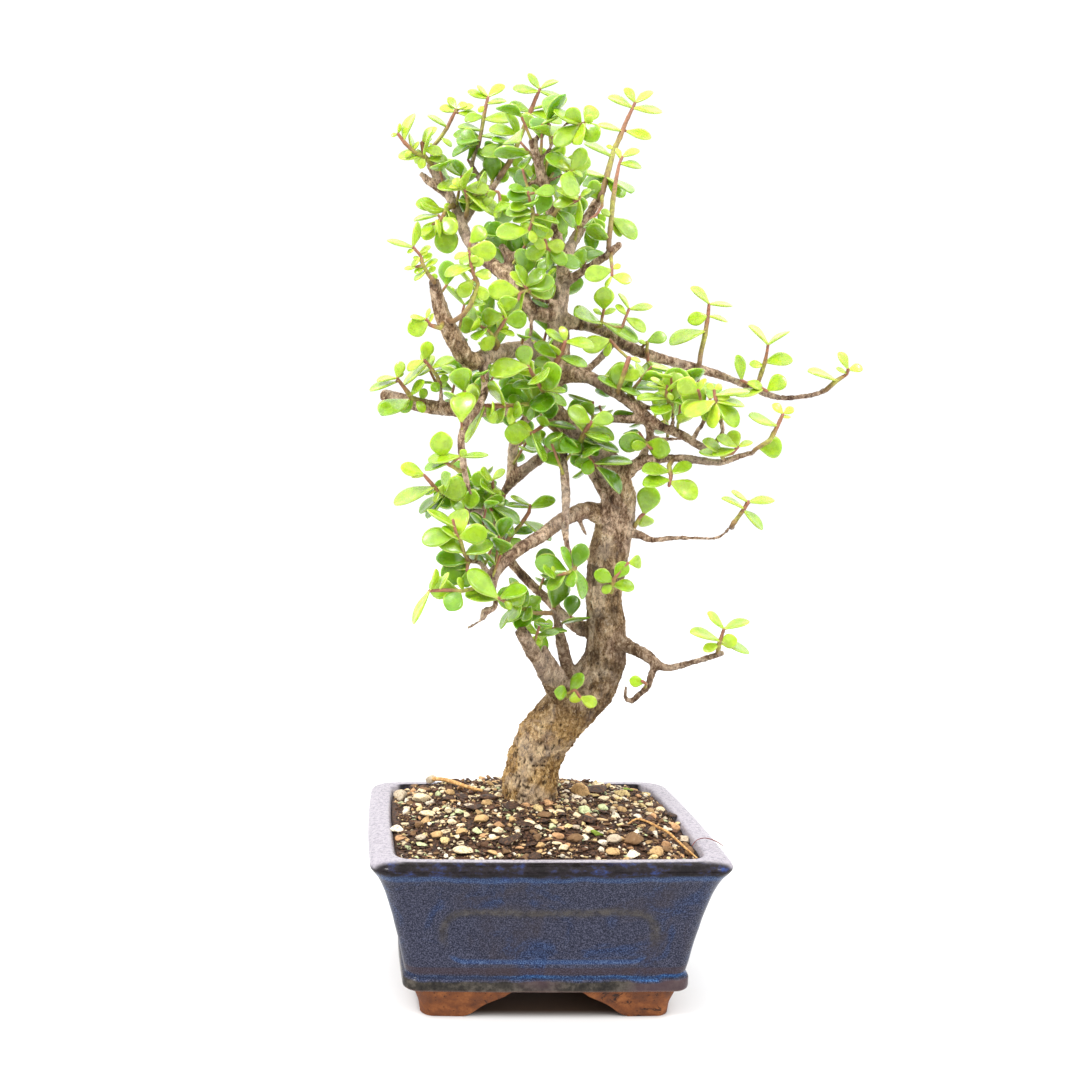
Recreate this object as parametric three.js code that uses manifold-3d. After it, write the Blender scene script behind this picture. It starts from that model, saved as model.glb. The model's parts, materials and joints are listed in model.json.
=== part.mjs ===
// A dwarf jade bonsai in its glazed footed pot. Millimetres, +Z up.
// +X is right and +Y is the back. The pieces are drawn about the middle of the pot's base, and the
// whole group is then moved along X, so that the origin is under the middle of the object's box.
//
// Pot, drain meshes and soil are drawn in their own sizes. The tree is laid out on one perspective
// front elevation: x to the right and y down in drawing units, and a depth in millimetres for each
// point (+ to the back). place() turns such a point into the model's millimetres.

import * as THREE from 'three';
import { mergeVertices } from 'three/addons/utils/BufferGeometryUtils.js';
import Module from 'manifold-3d';

const wasm = await Module();
wasm.setup();

// ---------------------------------------------------------------- driving dimensions

const POT_LENGTH = 150;
const POT_DEPTH = 115;
const POT_HEIGHT = 74;
const BASE_TOP = 19;          // top of the pot's floor
const FOOT_HEIGHT = 14;
const FIT_GAP = 0.3;          // clearance between pieces that touch
const DRAIN_HOLE_X = 34;
const DRAIN_HOLE_RADIUS = 7;
const MESH_SIDE = 21;
const MESH_THICKNESS = 1.2;
const SOIL_EDGE = 70.5;       // soil level at the rim
const SOIL_RISE = 10.5;       // how much higher it is round the trunk
const TRUNK_FOOT = { x: -0.4, y: 12 };

const LEAF_THICKNESS = 2;
const LEAF_PLUMPNESS = 0.78;  // width over length of a full leaf
const LONGEST_LEAF = 17;

// ---------------------------------------------------------------- the elevation drawing

const EYE = { x: -72.4, y: -469.4, z: 236.8 };
const DRAWING = { centreX: 377, centreY: 540, focus: 1038, tilt: THREE.MathUtils.degToRad(4.17) };

function place(x, y, depth) {
  const rise = (DRAWING.centreY - y) / DRAWING.focus;
  const cos = Math.cos(DRAWING.tilt);
  const sin = Math.sin(DRAWING.tilt);
  const ahead = depth - EYE.y;
  const up = ahead * (rise * cos - sin) / (cos + rise * sin);
  const forward = ahead * cos - up * sin;
  return new THREE.Vector3(EYE.x + (x - DRAWING.centreX) / DRAWING.focus * forward, depth, EYE.z + up);
}

// The inverse of place(): [x, y, depth] of a point.
function drawnAt(point) {
  const cos = Math.cos(DRAWING.tilt);
  const sin = Math.sin(DRAWING.tilt);
  const forward = (point.y - EYE.y) * cos - (point.z - EYE.z) * sin;
  const rise = (point.z - EYE.z) * cos + (point.y - EYE.y) * sin;
  return [DRAWING.centreX + DRAWING.focus * (point.x - EYE.x) / forward,
    DRAWING.centreY - DRAWING.focus * rise / forward, point.y];
}

// Millimetres in one drawing unit at a point.
function unitAt(point) {
  const forward = (point.y - EYE.y) * Math.cos(DRAWING.tilt) - (point.z - EYE.z) * Math.sin(DRAWING.tilt);
  return forward / DRAWING.focus;
}

// ---------------------------------------------------------------- seeded draws and solids

function draws(seed) {
  let state = seed >>> 0;
  return () => {
    state = (state + 0x6D2B79F5) >>> 0;
    let t = state;
    t = Math.imul(t ^ (t >>> 15), t | 1);
    t ^= t + Math.imul(t ^ (t >>> 7), t | 61);
    return ((t ^ (t >>> 14)) >>> 0) / 4294967296;
  };
}

function geometryOf(points, faces) {
  const geometry = new THREE.BufferGeometry();
  const numbers = points.flatMap((p) => [p.x, p.y, p.z]);
  geometry.setAttribute('position', new THREE.Float32BufferAttribute(numbers, 3));
  geometry.setIndex(faces.flat());
  return geometry;
}

function solidOf(geometry) {
  const bare = geometry.clone();
  bare.deleteAttribute('normal');
  bare.deleteAttribute('uv');
  const merged = mergeVertices(bare, 1e-4);
  return new wasm.Manifold(new wasm.Mesh({
    numProp: 3,
    vertProperties: new Float32Array(merged.attributes.position.array),
    triVerts: new Uint32Array(merged.index.array),
  }));
}

function geometryFrom(solid) {
  const mesh = solid.getMesh();
  const geometry = new THREE.BufferGeometry();
  geometry.setAttribute('position', new THREE.Float32BufferAttribute(mesh.vertProperties, mesh.numProp));
  geometry.setIndex(Array.from(mesh.triVerts));
  geometry.computeVertexNormals();
  return geometry;
}

function joined(solids) {
  let layer = solids;
  while (layer.length > 1) {
    const next = [];
    for (let i = 0; i < layer.length; i += 2) {
      next.push(i + 1 < layer.length ? layer[i].add(layer[i + 1]) : layer[i]);
    }
    layer = next;
  }
  return layer[0];
}

// Keeps the main body of a solid and drops loose scraps.
function mainBody(solid) {
  const bodies = solid.decompose();
  return bodies.reduce((best, body) => (body.volume() > best.volume() ? body : best));
}

// A closed loft through rings with the same number of points, each counterclockwise seen from
// the end that the loft runs to.
function loft(rings) {
  const sides = rings[0].length;
  const points = rings.flat();
  const faces = [];
  for (let r = 0; r + 1 < rings.length; r++) {
    for (let i = 0; i < sides; i++) {
      const a = r * sides + i;
      const b = r * sides + (i + 1) % sides;
      faces.push([a, b, b + sides], [a, b + sides, a + sides]);
    }
  }
  const last = (rings.length - 1) * sides;
  for (let i = 1; i + 1 < sides; i++) {
    faces.push([0, i + 1, i], [last, last + i, last + i + 1]);
  }
  return geometryOf(points, faces);
}

// ---------------------------------------------------------------- stems and limbs

// Points and radii along a drawn route [[x, y, depth, width], ...], one every `step` widths.
function routeOf(drawn, step) {
  const ends = drawn.map(([x, y, depth]) => place(x, y, depth));
  const radii = drawn.map(([, , , width], i) => width / 2 * unitAt(ends[i]));
  const route = [];
  for (let i = 0; i + 1 < ends.length; i++) {
    const before = ends[Math.max(i - 1, 0)];
    const after = ends[Math.min(i + 2, ends.length - 1)];
    const pace = Math.max(step * (radii[i] + radii[i + 1]), 2);
    const parts = Math.max(1, Math.round(ends[i].distanceTo(ends[i + 1]) / pace));
    for (let k = 0; k < parts; k++) {
      const t = k / parts;
      const radius = radii[i] + (radii[i + 1] - radii[i]) * t;
      route.push({ at: bend(before, ends[i], ends[i + 1], after, t), radius });
    }
  }
  route.push({ at: ends[ends.length - 1], radius: radii[radii.length - 1] });
  return route;
}

// A drawn route without the points that lie within `slack` of the line between their neighbours.
function sparse(drawn, slack) {
  const first = drawn[0];
  const last = drawn[drawn.length - 1];
  let worst = 0;
  let split = 0;
  for (let i = 1; i + 1 < drawn.length; i++) {
    const t = i / (drawn.length - 1);
    const nearest = nearestOn([[first, last]], drawn[i][0], drawn[i][1]);
    const offDepth = Math.abs(drawn[i][2] - (first[2] + (last[2] - first[2]) * t));
    const offWidth = Math.abs(drawn[i][3] - (first[3] + (last[3] - first[3]) * t));
    const off = Math.max(nearest.gap, offDepth, offWidth);
    if (off > worst) {
      [worst, split] = [off, i];
    }
  }
  if (worst <= slack) {
    return [first, last];
  }
  return [...sparse(drawn.slice(0, split + 1), slack).slice(0, -1), ...sparse(drawn.slice(split), slack)];
}

// Catmull-Rom point between b and c.
function bend(a, b, c, d, t) {
  const value = (p, q, r, s) => 0.5 * (2 * q + (r - p) * t + (2 * p - 5 * q + 4 * r - s) * t * t
    + (3 * q - p - 3 * r + s) * t * t * t);
  return new THREE.Vector3(value(a.x, b.x, c.x, d.x), value(a.y, b.y, c.y, d.y), value(a.z, b.z, c.z, d.z));
}

// A closed faceted tube on a route, with a rough skin if `roughness` is over 0.
function limb(route, sides, roughness = 0, draw = () => 0.5) {
  const rings = [];
  let across = new THREE.Vector3(0, -1, 0);
  for (let i = 0; i < route.length; i++) {
    const ahead = route[Math.min(i + 1, route.length - 1)].at.clone()
      .sub(route[Math.max(i - 1, 0)].at).normalize();
    across = across.clone().addScaledVector(ahead, -across.dot(ahead)).normalize();
    const other = ahead.clone().cross(across);
    const ring = [];
    for (let k = 0; k < sides; k++) {
      const angle = 2 * Math.PI * k / sides;
      const reach = route[i].radius * (1 + roughness * (2 * draw() - 1));
      ring.push(route[i].at.clone().addScaledVector(across, Math.cos(angle) * reach)
        .addScaledVector(other, Math.sin(angle) * reach));
    }
    rings.push(ring);
  }
  return loft(rings);
}

// ---------------------------------------------------------------- pot

// A plan ring: a rounded rectangle `inset` inside the rim line, with gently bowed sides.
function potRing(inset, z) {
  const half = { x: POT_LENGTH / 2 - inset, y: POT_DEPTH / 2 - inset };
  const corner = 9 - 0.18 * inset;
  const ring = [];
  const signs = [[1, 1], [-1, 1], [-1, -1], [1, -1]];
  const push = (x, y) => ring.push(new THREE.Vector3(
    x + Math.sign(x) * 1.6 * (1 - (y / half.y) ** 2),
    y + Math.sign(y) * 1.0 * (1 - (x / half.x) ** 2),
    z,
  ));
  signs.forEach(([sx, sy], quarter) => {
    for (let k = 0; k <= 4; k++) {
      const angle = Math.PI / 2 * (quarter + k / 4);
      const [x, y] = [half.x - corner, half.y - corner];
      push(sx * x + corner * Math.cos(angle), sy * y + corner * Math.sin(angle));
    }
    const [nx, ny] = signs[(quarter + 1) % 4];
    for (const t of [-0.5, 0.5]) {
      const alongX = sx !== nx;
      push(alongX ? -sx * t * half.x : sx * half.x, alongX ? sy * half.y : -sy * t * half.y);
    }
  });
  return ring;
}

const POT_OUTSIDE = [[15.4, 13.4], [14, 15], [14.1, 19.6], [15.2, 20.6], [13.9, 25], [10.8, 40],
  [6.3, 57.5], [2.6, 67.2], [0.4, 68.2], [0, 72.4], [1.8, POT_HEIGHT]];
const POT_INSIDE = [[7.6, POT_HEIGHT], [9.2, 70], [13.2, 54], [18.2, 31], [20.4, BASE_TOP]];

function ringLoft(profile) {
  return loft(profile.map(([inset, z]) => potRing(inset, z)));
}

// One foot: two curved brackets that meet at a corner, inside a tapering outline.
function foot(sx, sy) {
  const bracket = (outer, inner) => {
    const shape = new THREE.Shape();
    shape.moveTo(outer, FOOT_HEIGHT + 2);
    shape.lineTo(outer, 0);
    shape.lineTo(inner * 2.2, 0);
    shape.bezierCurveTo(inner * 1.9, 4, inner * 1.95, 8, inner * 1.45, 9.6);
    shape.bezierCurveTo(inner * 1.2, 10.8, inner * 1.05, 12, inner, FOOT_HEIGHT);
    shape.lineTo(inner, FOOT_HEIGHT + 2);
    return new THREE.ExtrudeGeometry(shape, { depth: 9, bevelEnabled: false, curveSegments: 3 });
  };
  const front = solidOf(bracket(58, 15).rotateX(Math.PI / 2).translate(0, 43, 0));
  const side = solidOf(bracket(46, 12).rotateX(Math.PI / 2).rotateZ(Math.PI / 2).translate(43, 0, 0));
  const outline = solidOf(loft([[19, 0], [18.4, 5], [15.6, 12.5], [15, 16.2]]
    .map(([inset, z]) => potRing(inset, z))).scale(0.875, 1, 1));
  const mirror = (solid) => {
    const geometry = geometryFrom(solid).scale(sx, sy, 1);
    if (sx * sy < 0) {
      const index = geometry.index.array;
      for (let i = 0; i < index.length; i += 3) {
        [index[i], index[i + 1]] = [index[i + 1], index[i]];
      }
    }
    return solidOf(geometry);
  };
  return mirror(front.add(side).intersect(outline));
}

function makePot() {
  let body = solidOf(ringLoft(POT_OUTSIDE));
  const hollow = [...POT_INSIDE].reverse();
  const mouth = [hollow[hollow.length - 1][0], POT_HEIGHT + 4];
  body = body.subtract(solidOf(ringLoft([...hollow, mouth])));
  for (const side of [-1, 1]) {
    const bore = new THREE.CylinderGeometry(DRAIN_HOLE_RADIUS, DRAIN_HOLE_RADIUS, 30, 16)
      .rotateX(Math.PI / 2).translate(side * DRAIN_HOLE_X, 0, BASE_TOP);
    body = body.subtract(solidOf(bore));
  }
  const feet = [[1, 1], [-1, 1], [-1, -1], [1, -1]].map(([sx, sy]) => foot(sx, sy));
  return mainBody(joined([body, ...feet]));
}

// A square of plastic mesh over a drain hole.
function makeDrainMesh(x) {
  const plate = new THREE.BoxGeometry(MESH_SIDE, MESH_SIDE, MESH_THICKNESS);
  const pitch = MESH_SIDE / 3;
  const holes = [];
  for (let i = -1; i <= 1; i++) {
    for (let j = -1; j <= 1; j++) {
      const hole = new THREE.BoxGeometry(pitch * 0.7, pitch * 0.7, 2 * MESH_THICKNESS);
      holes.push(solidOf(hole.translate(i * pitch, j * pitch, 0)));
    }
  }
  return solidOf(plate).subtract(joined(holes)).translate(x, 0, BASE_TOP + FIT_GAP + MESH_THICKNESS / 2);
}

// ---------------------------------------------------------------- soil

// Height of the soil bed, highest round the trunk and level with the rim at its edge.
function soilHeight(x, y) {
  const u = (x - TRUNK_FOOT.x) / 72;
  const v = (y - TRUNK_FOOT.y) / 62;
  return SOIL_EDGE + SOIL_RISE * Math.max(0, 1 - u * u - v * v) ** 0.8;
}

function makeSoil(trunkPlug, meshPockets) {
  const draw = draws(71);
  const inside = POT_INSIDE.map(([inset, z]) => [inset + FIT_GAP, z]).reverse()
    .filter(([, z]) => z < SOIL_EDGE - 1);
  inside[0][1] = BASE_TOP + FIT_GAP;
  const rings = inside.map(([inset, z]) => potRing(inset, z));
  const edge = potRing(9.2 + FIT_GAP, SOIL_EDGE);
  for (const share of [1, 0.8, 0.56, 0.3]) {
    rings.push(edge.map((p) => {
      const x = TRUNK_FOOT.x + (p.x - TRUNK_FOOT.x) * share;
      const y = TRUNK_FOOT.y + (p.y - TRUNK_FOOT.y) * share;
      const rough = 1.6 * (draw() - 0.6);
      return new THREE.Vector3(x, y, share === 1 ? SOIL_EDGE - 0.6 : soilHeight(x, y) + rough);
    }));
  }
  const bed = solidOf(loft(rings));

  // Grit stones, one in each cell of a staggered grid.
  const stones = [];
  const pitch = { x: (POT_LENGTH - 27) / 8, y: (POT_DEPTH - 27) / 6 };
  for (let cell = 0; cell < 48; cell++) {
    const row = Math.floor(cell / 8);
    const x = pitch.x * (cell % 8 - 3.5 + 0.25 * (-1) ** row + 0.5 * (draw() - 0.5));
    const y = pitch.y * (row - 2.5 + 0.5 * (draw() - 0.5));
    const size = 2.8 + 2 * draw();
    const stone = cell % 4 ? new THREE.OctahedronGeometry(1.15, 0) : new THREE.IcosahedronGeometry(1, 0);
    stone.scale(size * (0.9 + 0.5 * draw()), size * (0.8 + 0.4 * draw()), size * (0.5 + 0.3 * draw()));
    stone.rotateX(0.5 * (draw() - 0.5)).rotateY(0.5 * (draw() - 0.5)).rotateZ(Math.PI * draw());
    stone.translate(x, y, soilHeight(x, y) + 0.2 * size);
    if (Math.hypot(x - TRUNK_FOOT.x, y - TRUNK_FOOT.y) > 15) {
      stones.push(solidOf(stone));
    }
  }
  return mainBody(joined([bed, ...stones]).subtract(trunkPlug).subtract(meshPockets));
}

// ---------------------------------------------------------------- wood

// Every woody limb: [sides, [[x, y, depth, width], ...]], from its parent outwards.
const LIMBS = {
  trunk: [10, [[528, 842, 14, 46], [528, 826, 13, 60], [529, 800, 12, 55], [530, 784, 12, 54],
    [534, 758, 12, 52], [544, 737, 11, 52], [558, 720, 10, 51], [573, 704, 9, 51], [591, 686, 7, 50],
    [605, 660, 5, 43], [607, 631, 4, 38], [603, 593, 2, 37], [608, 555, 0, 40], [616, 520, -2, 38],
    [619, 496, -3, 34], [612, 472, -3, 32], [597, 450, -2, 30], [575, 432, 0, 27], [552, 414, 2, 26],
    [546, 394, 3, 24], [556, 370, 3, 24], [560, 345, 2, 22], [557, 318, 1, 21], [560, 295, 1, 19],
    [563, 279, 1, 13]]],
  inner_root: [5, [[588, 470, -6, 7], [597, 484, -8, 8], [605, 499, -9, 9], [609, 516, -8, 10]]],
  left_arm: [6, [[556, 362, 3, 20], [530, 350, -6, 18], [498, 352, -17, 17], [471, 362, -28, 20],
    [457, 343, -33, 20], [444, 320, -38, 18], [438, 300, -41, 15], [434, 281, -44, 12]]],
  hanging_arm: [6, [[483, 364, -24, 10], [485, 388, -30, 9], [479, 406, -36, 9], [468, 420, -38, 10],
    [461, 436, -40, 8], [462, 452, -41, 9], [464, 470, -41, 8], [468, 486, -40, 6], [471, 494, -40, 4]]],
  top_left_arm: [6, [[560, 312, 1, 18], [545, 316, -5, 15], [529, 307, -6, 14], [520, 291, -3, 14],
    [506, 276, 5, 15], [484, 258, 17, 14], [469, 241, 26, 12], [463, 228, 33, 12], [457, 212, 37, 11],
    [450, 196, 41, 11], [440, 180, 42, 12], [431, 164, 44, 11]]],
  crooked_stub: [5, [[510, 272, 7, 10], [508, 256, 12, 10], [501, 246, 14, 8]]],
  broken_stub: [5, [[508, 262, 10, 10], [518, 255, 12, 12], [527, 260, 12, 10]]],
  twin_stub: [4, [[449, 196, 41, 9], [440, 189, 41, 9], [431, 182, 40, 8], [421, 174, 40, 6]]],
  twin_stub_low: [4, [[437, 188, 41, 7], [430, 184, 40, 6], [424, 181, 40, 4]]],
  fork_up: [5, [[464, 221, 34, 10], [471, 210, 34, 10], [479, 200, 34, 9], [493, 187, 36, 8],
    [501, 176, 36, 7]]],
  fork_tip: [4, [[486, 193, 34, 6], [479, 178, 36, 7], [472, 166, 37, 6], [475, 154, 37, 5],
    [479, 144, 37, 4]]],
  low_twig: [4, [[561, 304, -3, 8], [545, 300, -10, 7], [532, 294, -16, 6]]],
  upright_arm: [6, [[562, 284, 1, 14], [563, 262, -9, 13], [558, 243, -13, 12], [554, 225, -17, 12],
    [548, 200, -21, 11], [543, 180, -24, 11], [537, 160, -26, 10], [532, 140, -28, 10]]],
  upright_twig_left: [4, [[544, 182, -24, 6], [529, 184, -25, 5], [531, 197, -28, 4.5],
    [533, 211, -30, 4]]],
  upright_twig_right: [4, [[545, 181, -24, 5], [556, 178, -26, 4.5], [571, 171, -30, 4]]],
  rosette_twig: [4, [[538, 166, -25, 5], [552, 144, -29, 4.5], [566, 124, -33, 4.5], [577, 125, -36, 4]]],
  top_twig: [4, [[534, 146, -28, 6], [541, 131, -26, 5], [551, 125, -25, 4]]],
  right_upright: [6, [[563, 264, -2, 13], [571, 246, 7, 12], [579, 232, 16, 11], [589, 215, 24, 11],
    [600, 197, 32, 10]]],
  snag: [5, [[562, 286, 1, 12], [580, 273, -6, 9], [597, 262, -12, 9], [610, 253, -17, 9],
    [620, 244, -20, 8]]],
  cross_link: [4, [[531, 316, -6, 6], [531, 330, -9, 5], [528, 346, -8, 5]]],
  long_arm: [6, [[558, 320, 1, 18], [580, 324, 5, 14], [601, 330, 10, 12], [631, 348, 16, 13],
    [662, 359, 21, 11], [703, 370, 26, 10], [733, 380, 26, 8], [764, 393, 24, 7], [784, 398, 21, 6.5],
    [812, 395, 17, 6], [826, 390, 14, 5.5]]],
  arm_stub: [4, [[697, 368, 26, 6], [698, 376, 25, 6], [698, 384, 24, 4]]],
  brace: [5, [[616, 337, 13, 9], [605, 353, 7, 8], [593, 365, 1, 8], [583, 373, -5, 9]]],
  middle_arm: [6, [[556, 374, 3, 22], [575, 374, -1, 18], [589, 377, -5, 14], [601, 384, -8, 12],
    [613, 391, -10, 13], [626, 400, -13, 11], [641, 412, -14, 11], [660, 426, -17, 10],
    [680, 434, -20, 10], [695, 443, -22, 9], [711, 452, -25, 8]]],
  middle_twig: [4, [[616, 394, -10, 8], [636, 402, -9, 7], [650, 408, -6, 6], [663, 405, -3, 5]]],
  cluster_twig_a: [4, [[692, 441, -22, 6], [698, 430, -28, 6], [704, 421, -32, 5], [701, 408, -34, 4]]],
  cluster_twig_b: [4, [[708, 450, -25, 7], [722, 434, -33, 6], [720, 418, -37, 5], [716, 406, -40, 4]]],
  cluster_twig_c: [4, [[671, 431, -18, 6], [673, 418, -24, 5], [669, 406, -28, 4]]],
  back_arm: [5, [[588, 428, -3, 5], [600, 424, -3, 6], [614, 419, -6, 9], [643, 420, -14, 10]]],
  back_arm_root: [4, [[570, 430, -1, 10], [580, 430, -2, 7], [590, 427, -3, 5]]],
  link: [5, [[647, 417, -16, 9], [650, 430, -14, 9], [648, 442, -12, 8], [641, 460, -10, 10]]],
  link_twig: [4, [[648, 438, -13, 6], [668, 439, -12, 5], [686, 438, -9, 4]]],
  low_right_arm: [6, [[614, 484, -5, 26], [628, 471, -8, 16], [643, 461, -12, 12], [660, 459, -17, 10],
    [680, 458, -22, 9], [703, 461, -28, 9], [722, 462, -32, 8], [740, 456, -36, 7], [755, 452, -38, 6]]],
  left_stump: [6, [[552, 402, 2, 20], [520, 408, 9, 16], [490, 410, 17, 15], [460, 410, 24, 15],
    [440, 408, 29, 15], [420, 405, 33, 15], [400, 399, 37, 14], [384, 395, 41, 13]]],
  stump_twig: [4, [[441, 406, 29, 6], [441, 392, 26, 5], [440, 384, 25, 4]]],
  right_wisp: [4, [[626, 532, -5, 14], [640, 535, -12, 9], [652, 540, -16, 7], [672, 538, -21, 6],
    [700, 538, -28, 5], [719, 537, -32, 4.5], [733, 524, -36, 4]]],
  pale_arm: [6, [[608, 518, -3, 26], [588, 510, -9, 18], [570, 516, -14, 16], [555, 525, -18, 15],
    [540, 537, -22, 14], [527, 544, -25, 14], [509, 557, -30, 14], [495, 572, -34, 13],
    [493, 588, -37, 8], [496, 601, -40, 6], [493, 609, -41, 7], [485, 611, -43, 9], [483, 618, -43, 8]]],
  pale_arm_hook: [4, [[484, 618, -43, 5], [475, 624, -44, 4], [467, 628, -45, 4]]],
  pale_arm_twig: [4, [[494, 584, -37, 8], [486, 572, -36, 8], [480, 562, -36, 6], [470, 561, -36, 5],
    [467, 551, -36, 4]]],
  pale_arm_thorn: [4, [[580, 521, -12, 5], [583, 529, -13, 5], [587, 536, -14, 3]]],
  hanging_root: [5, [[568, 434, -2, 12], [563, 456, -12, 10], [565, 480, -17, 10], [566, 500, -21, 10],
    [565, 520, -22, 9], [566, 540, -24, 7], [570, 553, -25, 6], [575, 567, -25, 5]]],
  cut_arm: [6, [[554, 438, 3, 14], [545, 454, 10, 12], [528, 467, 16, 12], [513, 480, 20, 13],
    [504, 492, 22, 8], [496, 506, 25, 6]]],
  cut_arm_riser: [5, [[545, 400, 5, 10], [522, 424, 14, 10], [514, 444, 18, 11], [512, 464, 20, 11],
    [511, 482, 20, 11]]],
  back_left_arm: [6, [[585, 630, 7, 18], [568, 620, 16, 12], [551, 603, 21, 10], [532, 585, 24, 10],
    [515, 567, 26, 10], [505, 553, 24, 10], [502, 540, 18, 9], [493, 526, 13, 9], [484, 512, 7, 9],
    [479, 501, 2, 6], [490, 489, -2, 5]]],
  left_knot: [5, [[487, 516, 9, 8], [476, 509, 2, 7], [467, 512, -5, 8], [466, 524, -8, 8]]],
  left_knot_up: [4, [[467, 514, -5, 8], [465, 504, -9, 7], [462, 498, -12, 5]]],
  lower_left_limb: [6, [[560, 700, 5, 20], [548, 677, -6, 17], [538, 660, -12, 16], [529, 645, -17, 15],
    [521, 631, -21, 14]]],
  lower_left_second: [6, [[568, 690, 3, 14], [558, 672, -2, 11], [550, 659, -6, 9], [544, 648, -9, 8]]],
  lower_left_third: [6, [[575, 686, 7, 16], [567, 665, 6, 14], [563, 650, 5, 13], [560, 636, 5, 12],
    [557, 621, 6, 8], [552, 610, 7, 6]]],
  lower_right_limb: [6, [[616, 640, 3, 18], [630, 647, -5, 14], [646, 655, -12, 13], [657, 664, -16, 11],
    [668, 668, -18, 8], [690, 663, -24, 7], [707, 658, -28, 7], [723, 653, -30, 7]]],
  lower_right_hook: [4, [[656, 664, -16, 9], [651, 676, -17, 8], [648, 686, -18, 8], [640, 694, -21, 7],
    [631, 701, -22, 7], [625, 697, -22, 5], [626, 686, -22, 4]]],
};

function limbRoute(name, drawn) {
  return name === 'trunk' ? routeOf(drawn, 0.9) : routeOf(sparse(drawn, 2), 2.6);
}

function makeWood(draw) {
  const parts = Object.entries(LIMBS).map(([name, [sides, drawn]]) => {
    return solidOf(limb(limbRoute(name, drawn), sides, 0.06, draw));
  });
  return mainBody(joined(parts));
}

// ---------------------------------------------------------------- leafy stems

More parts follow.
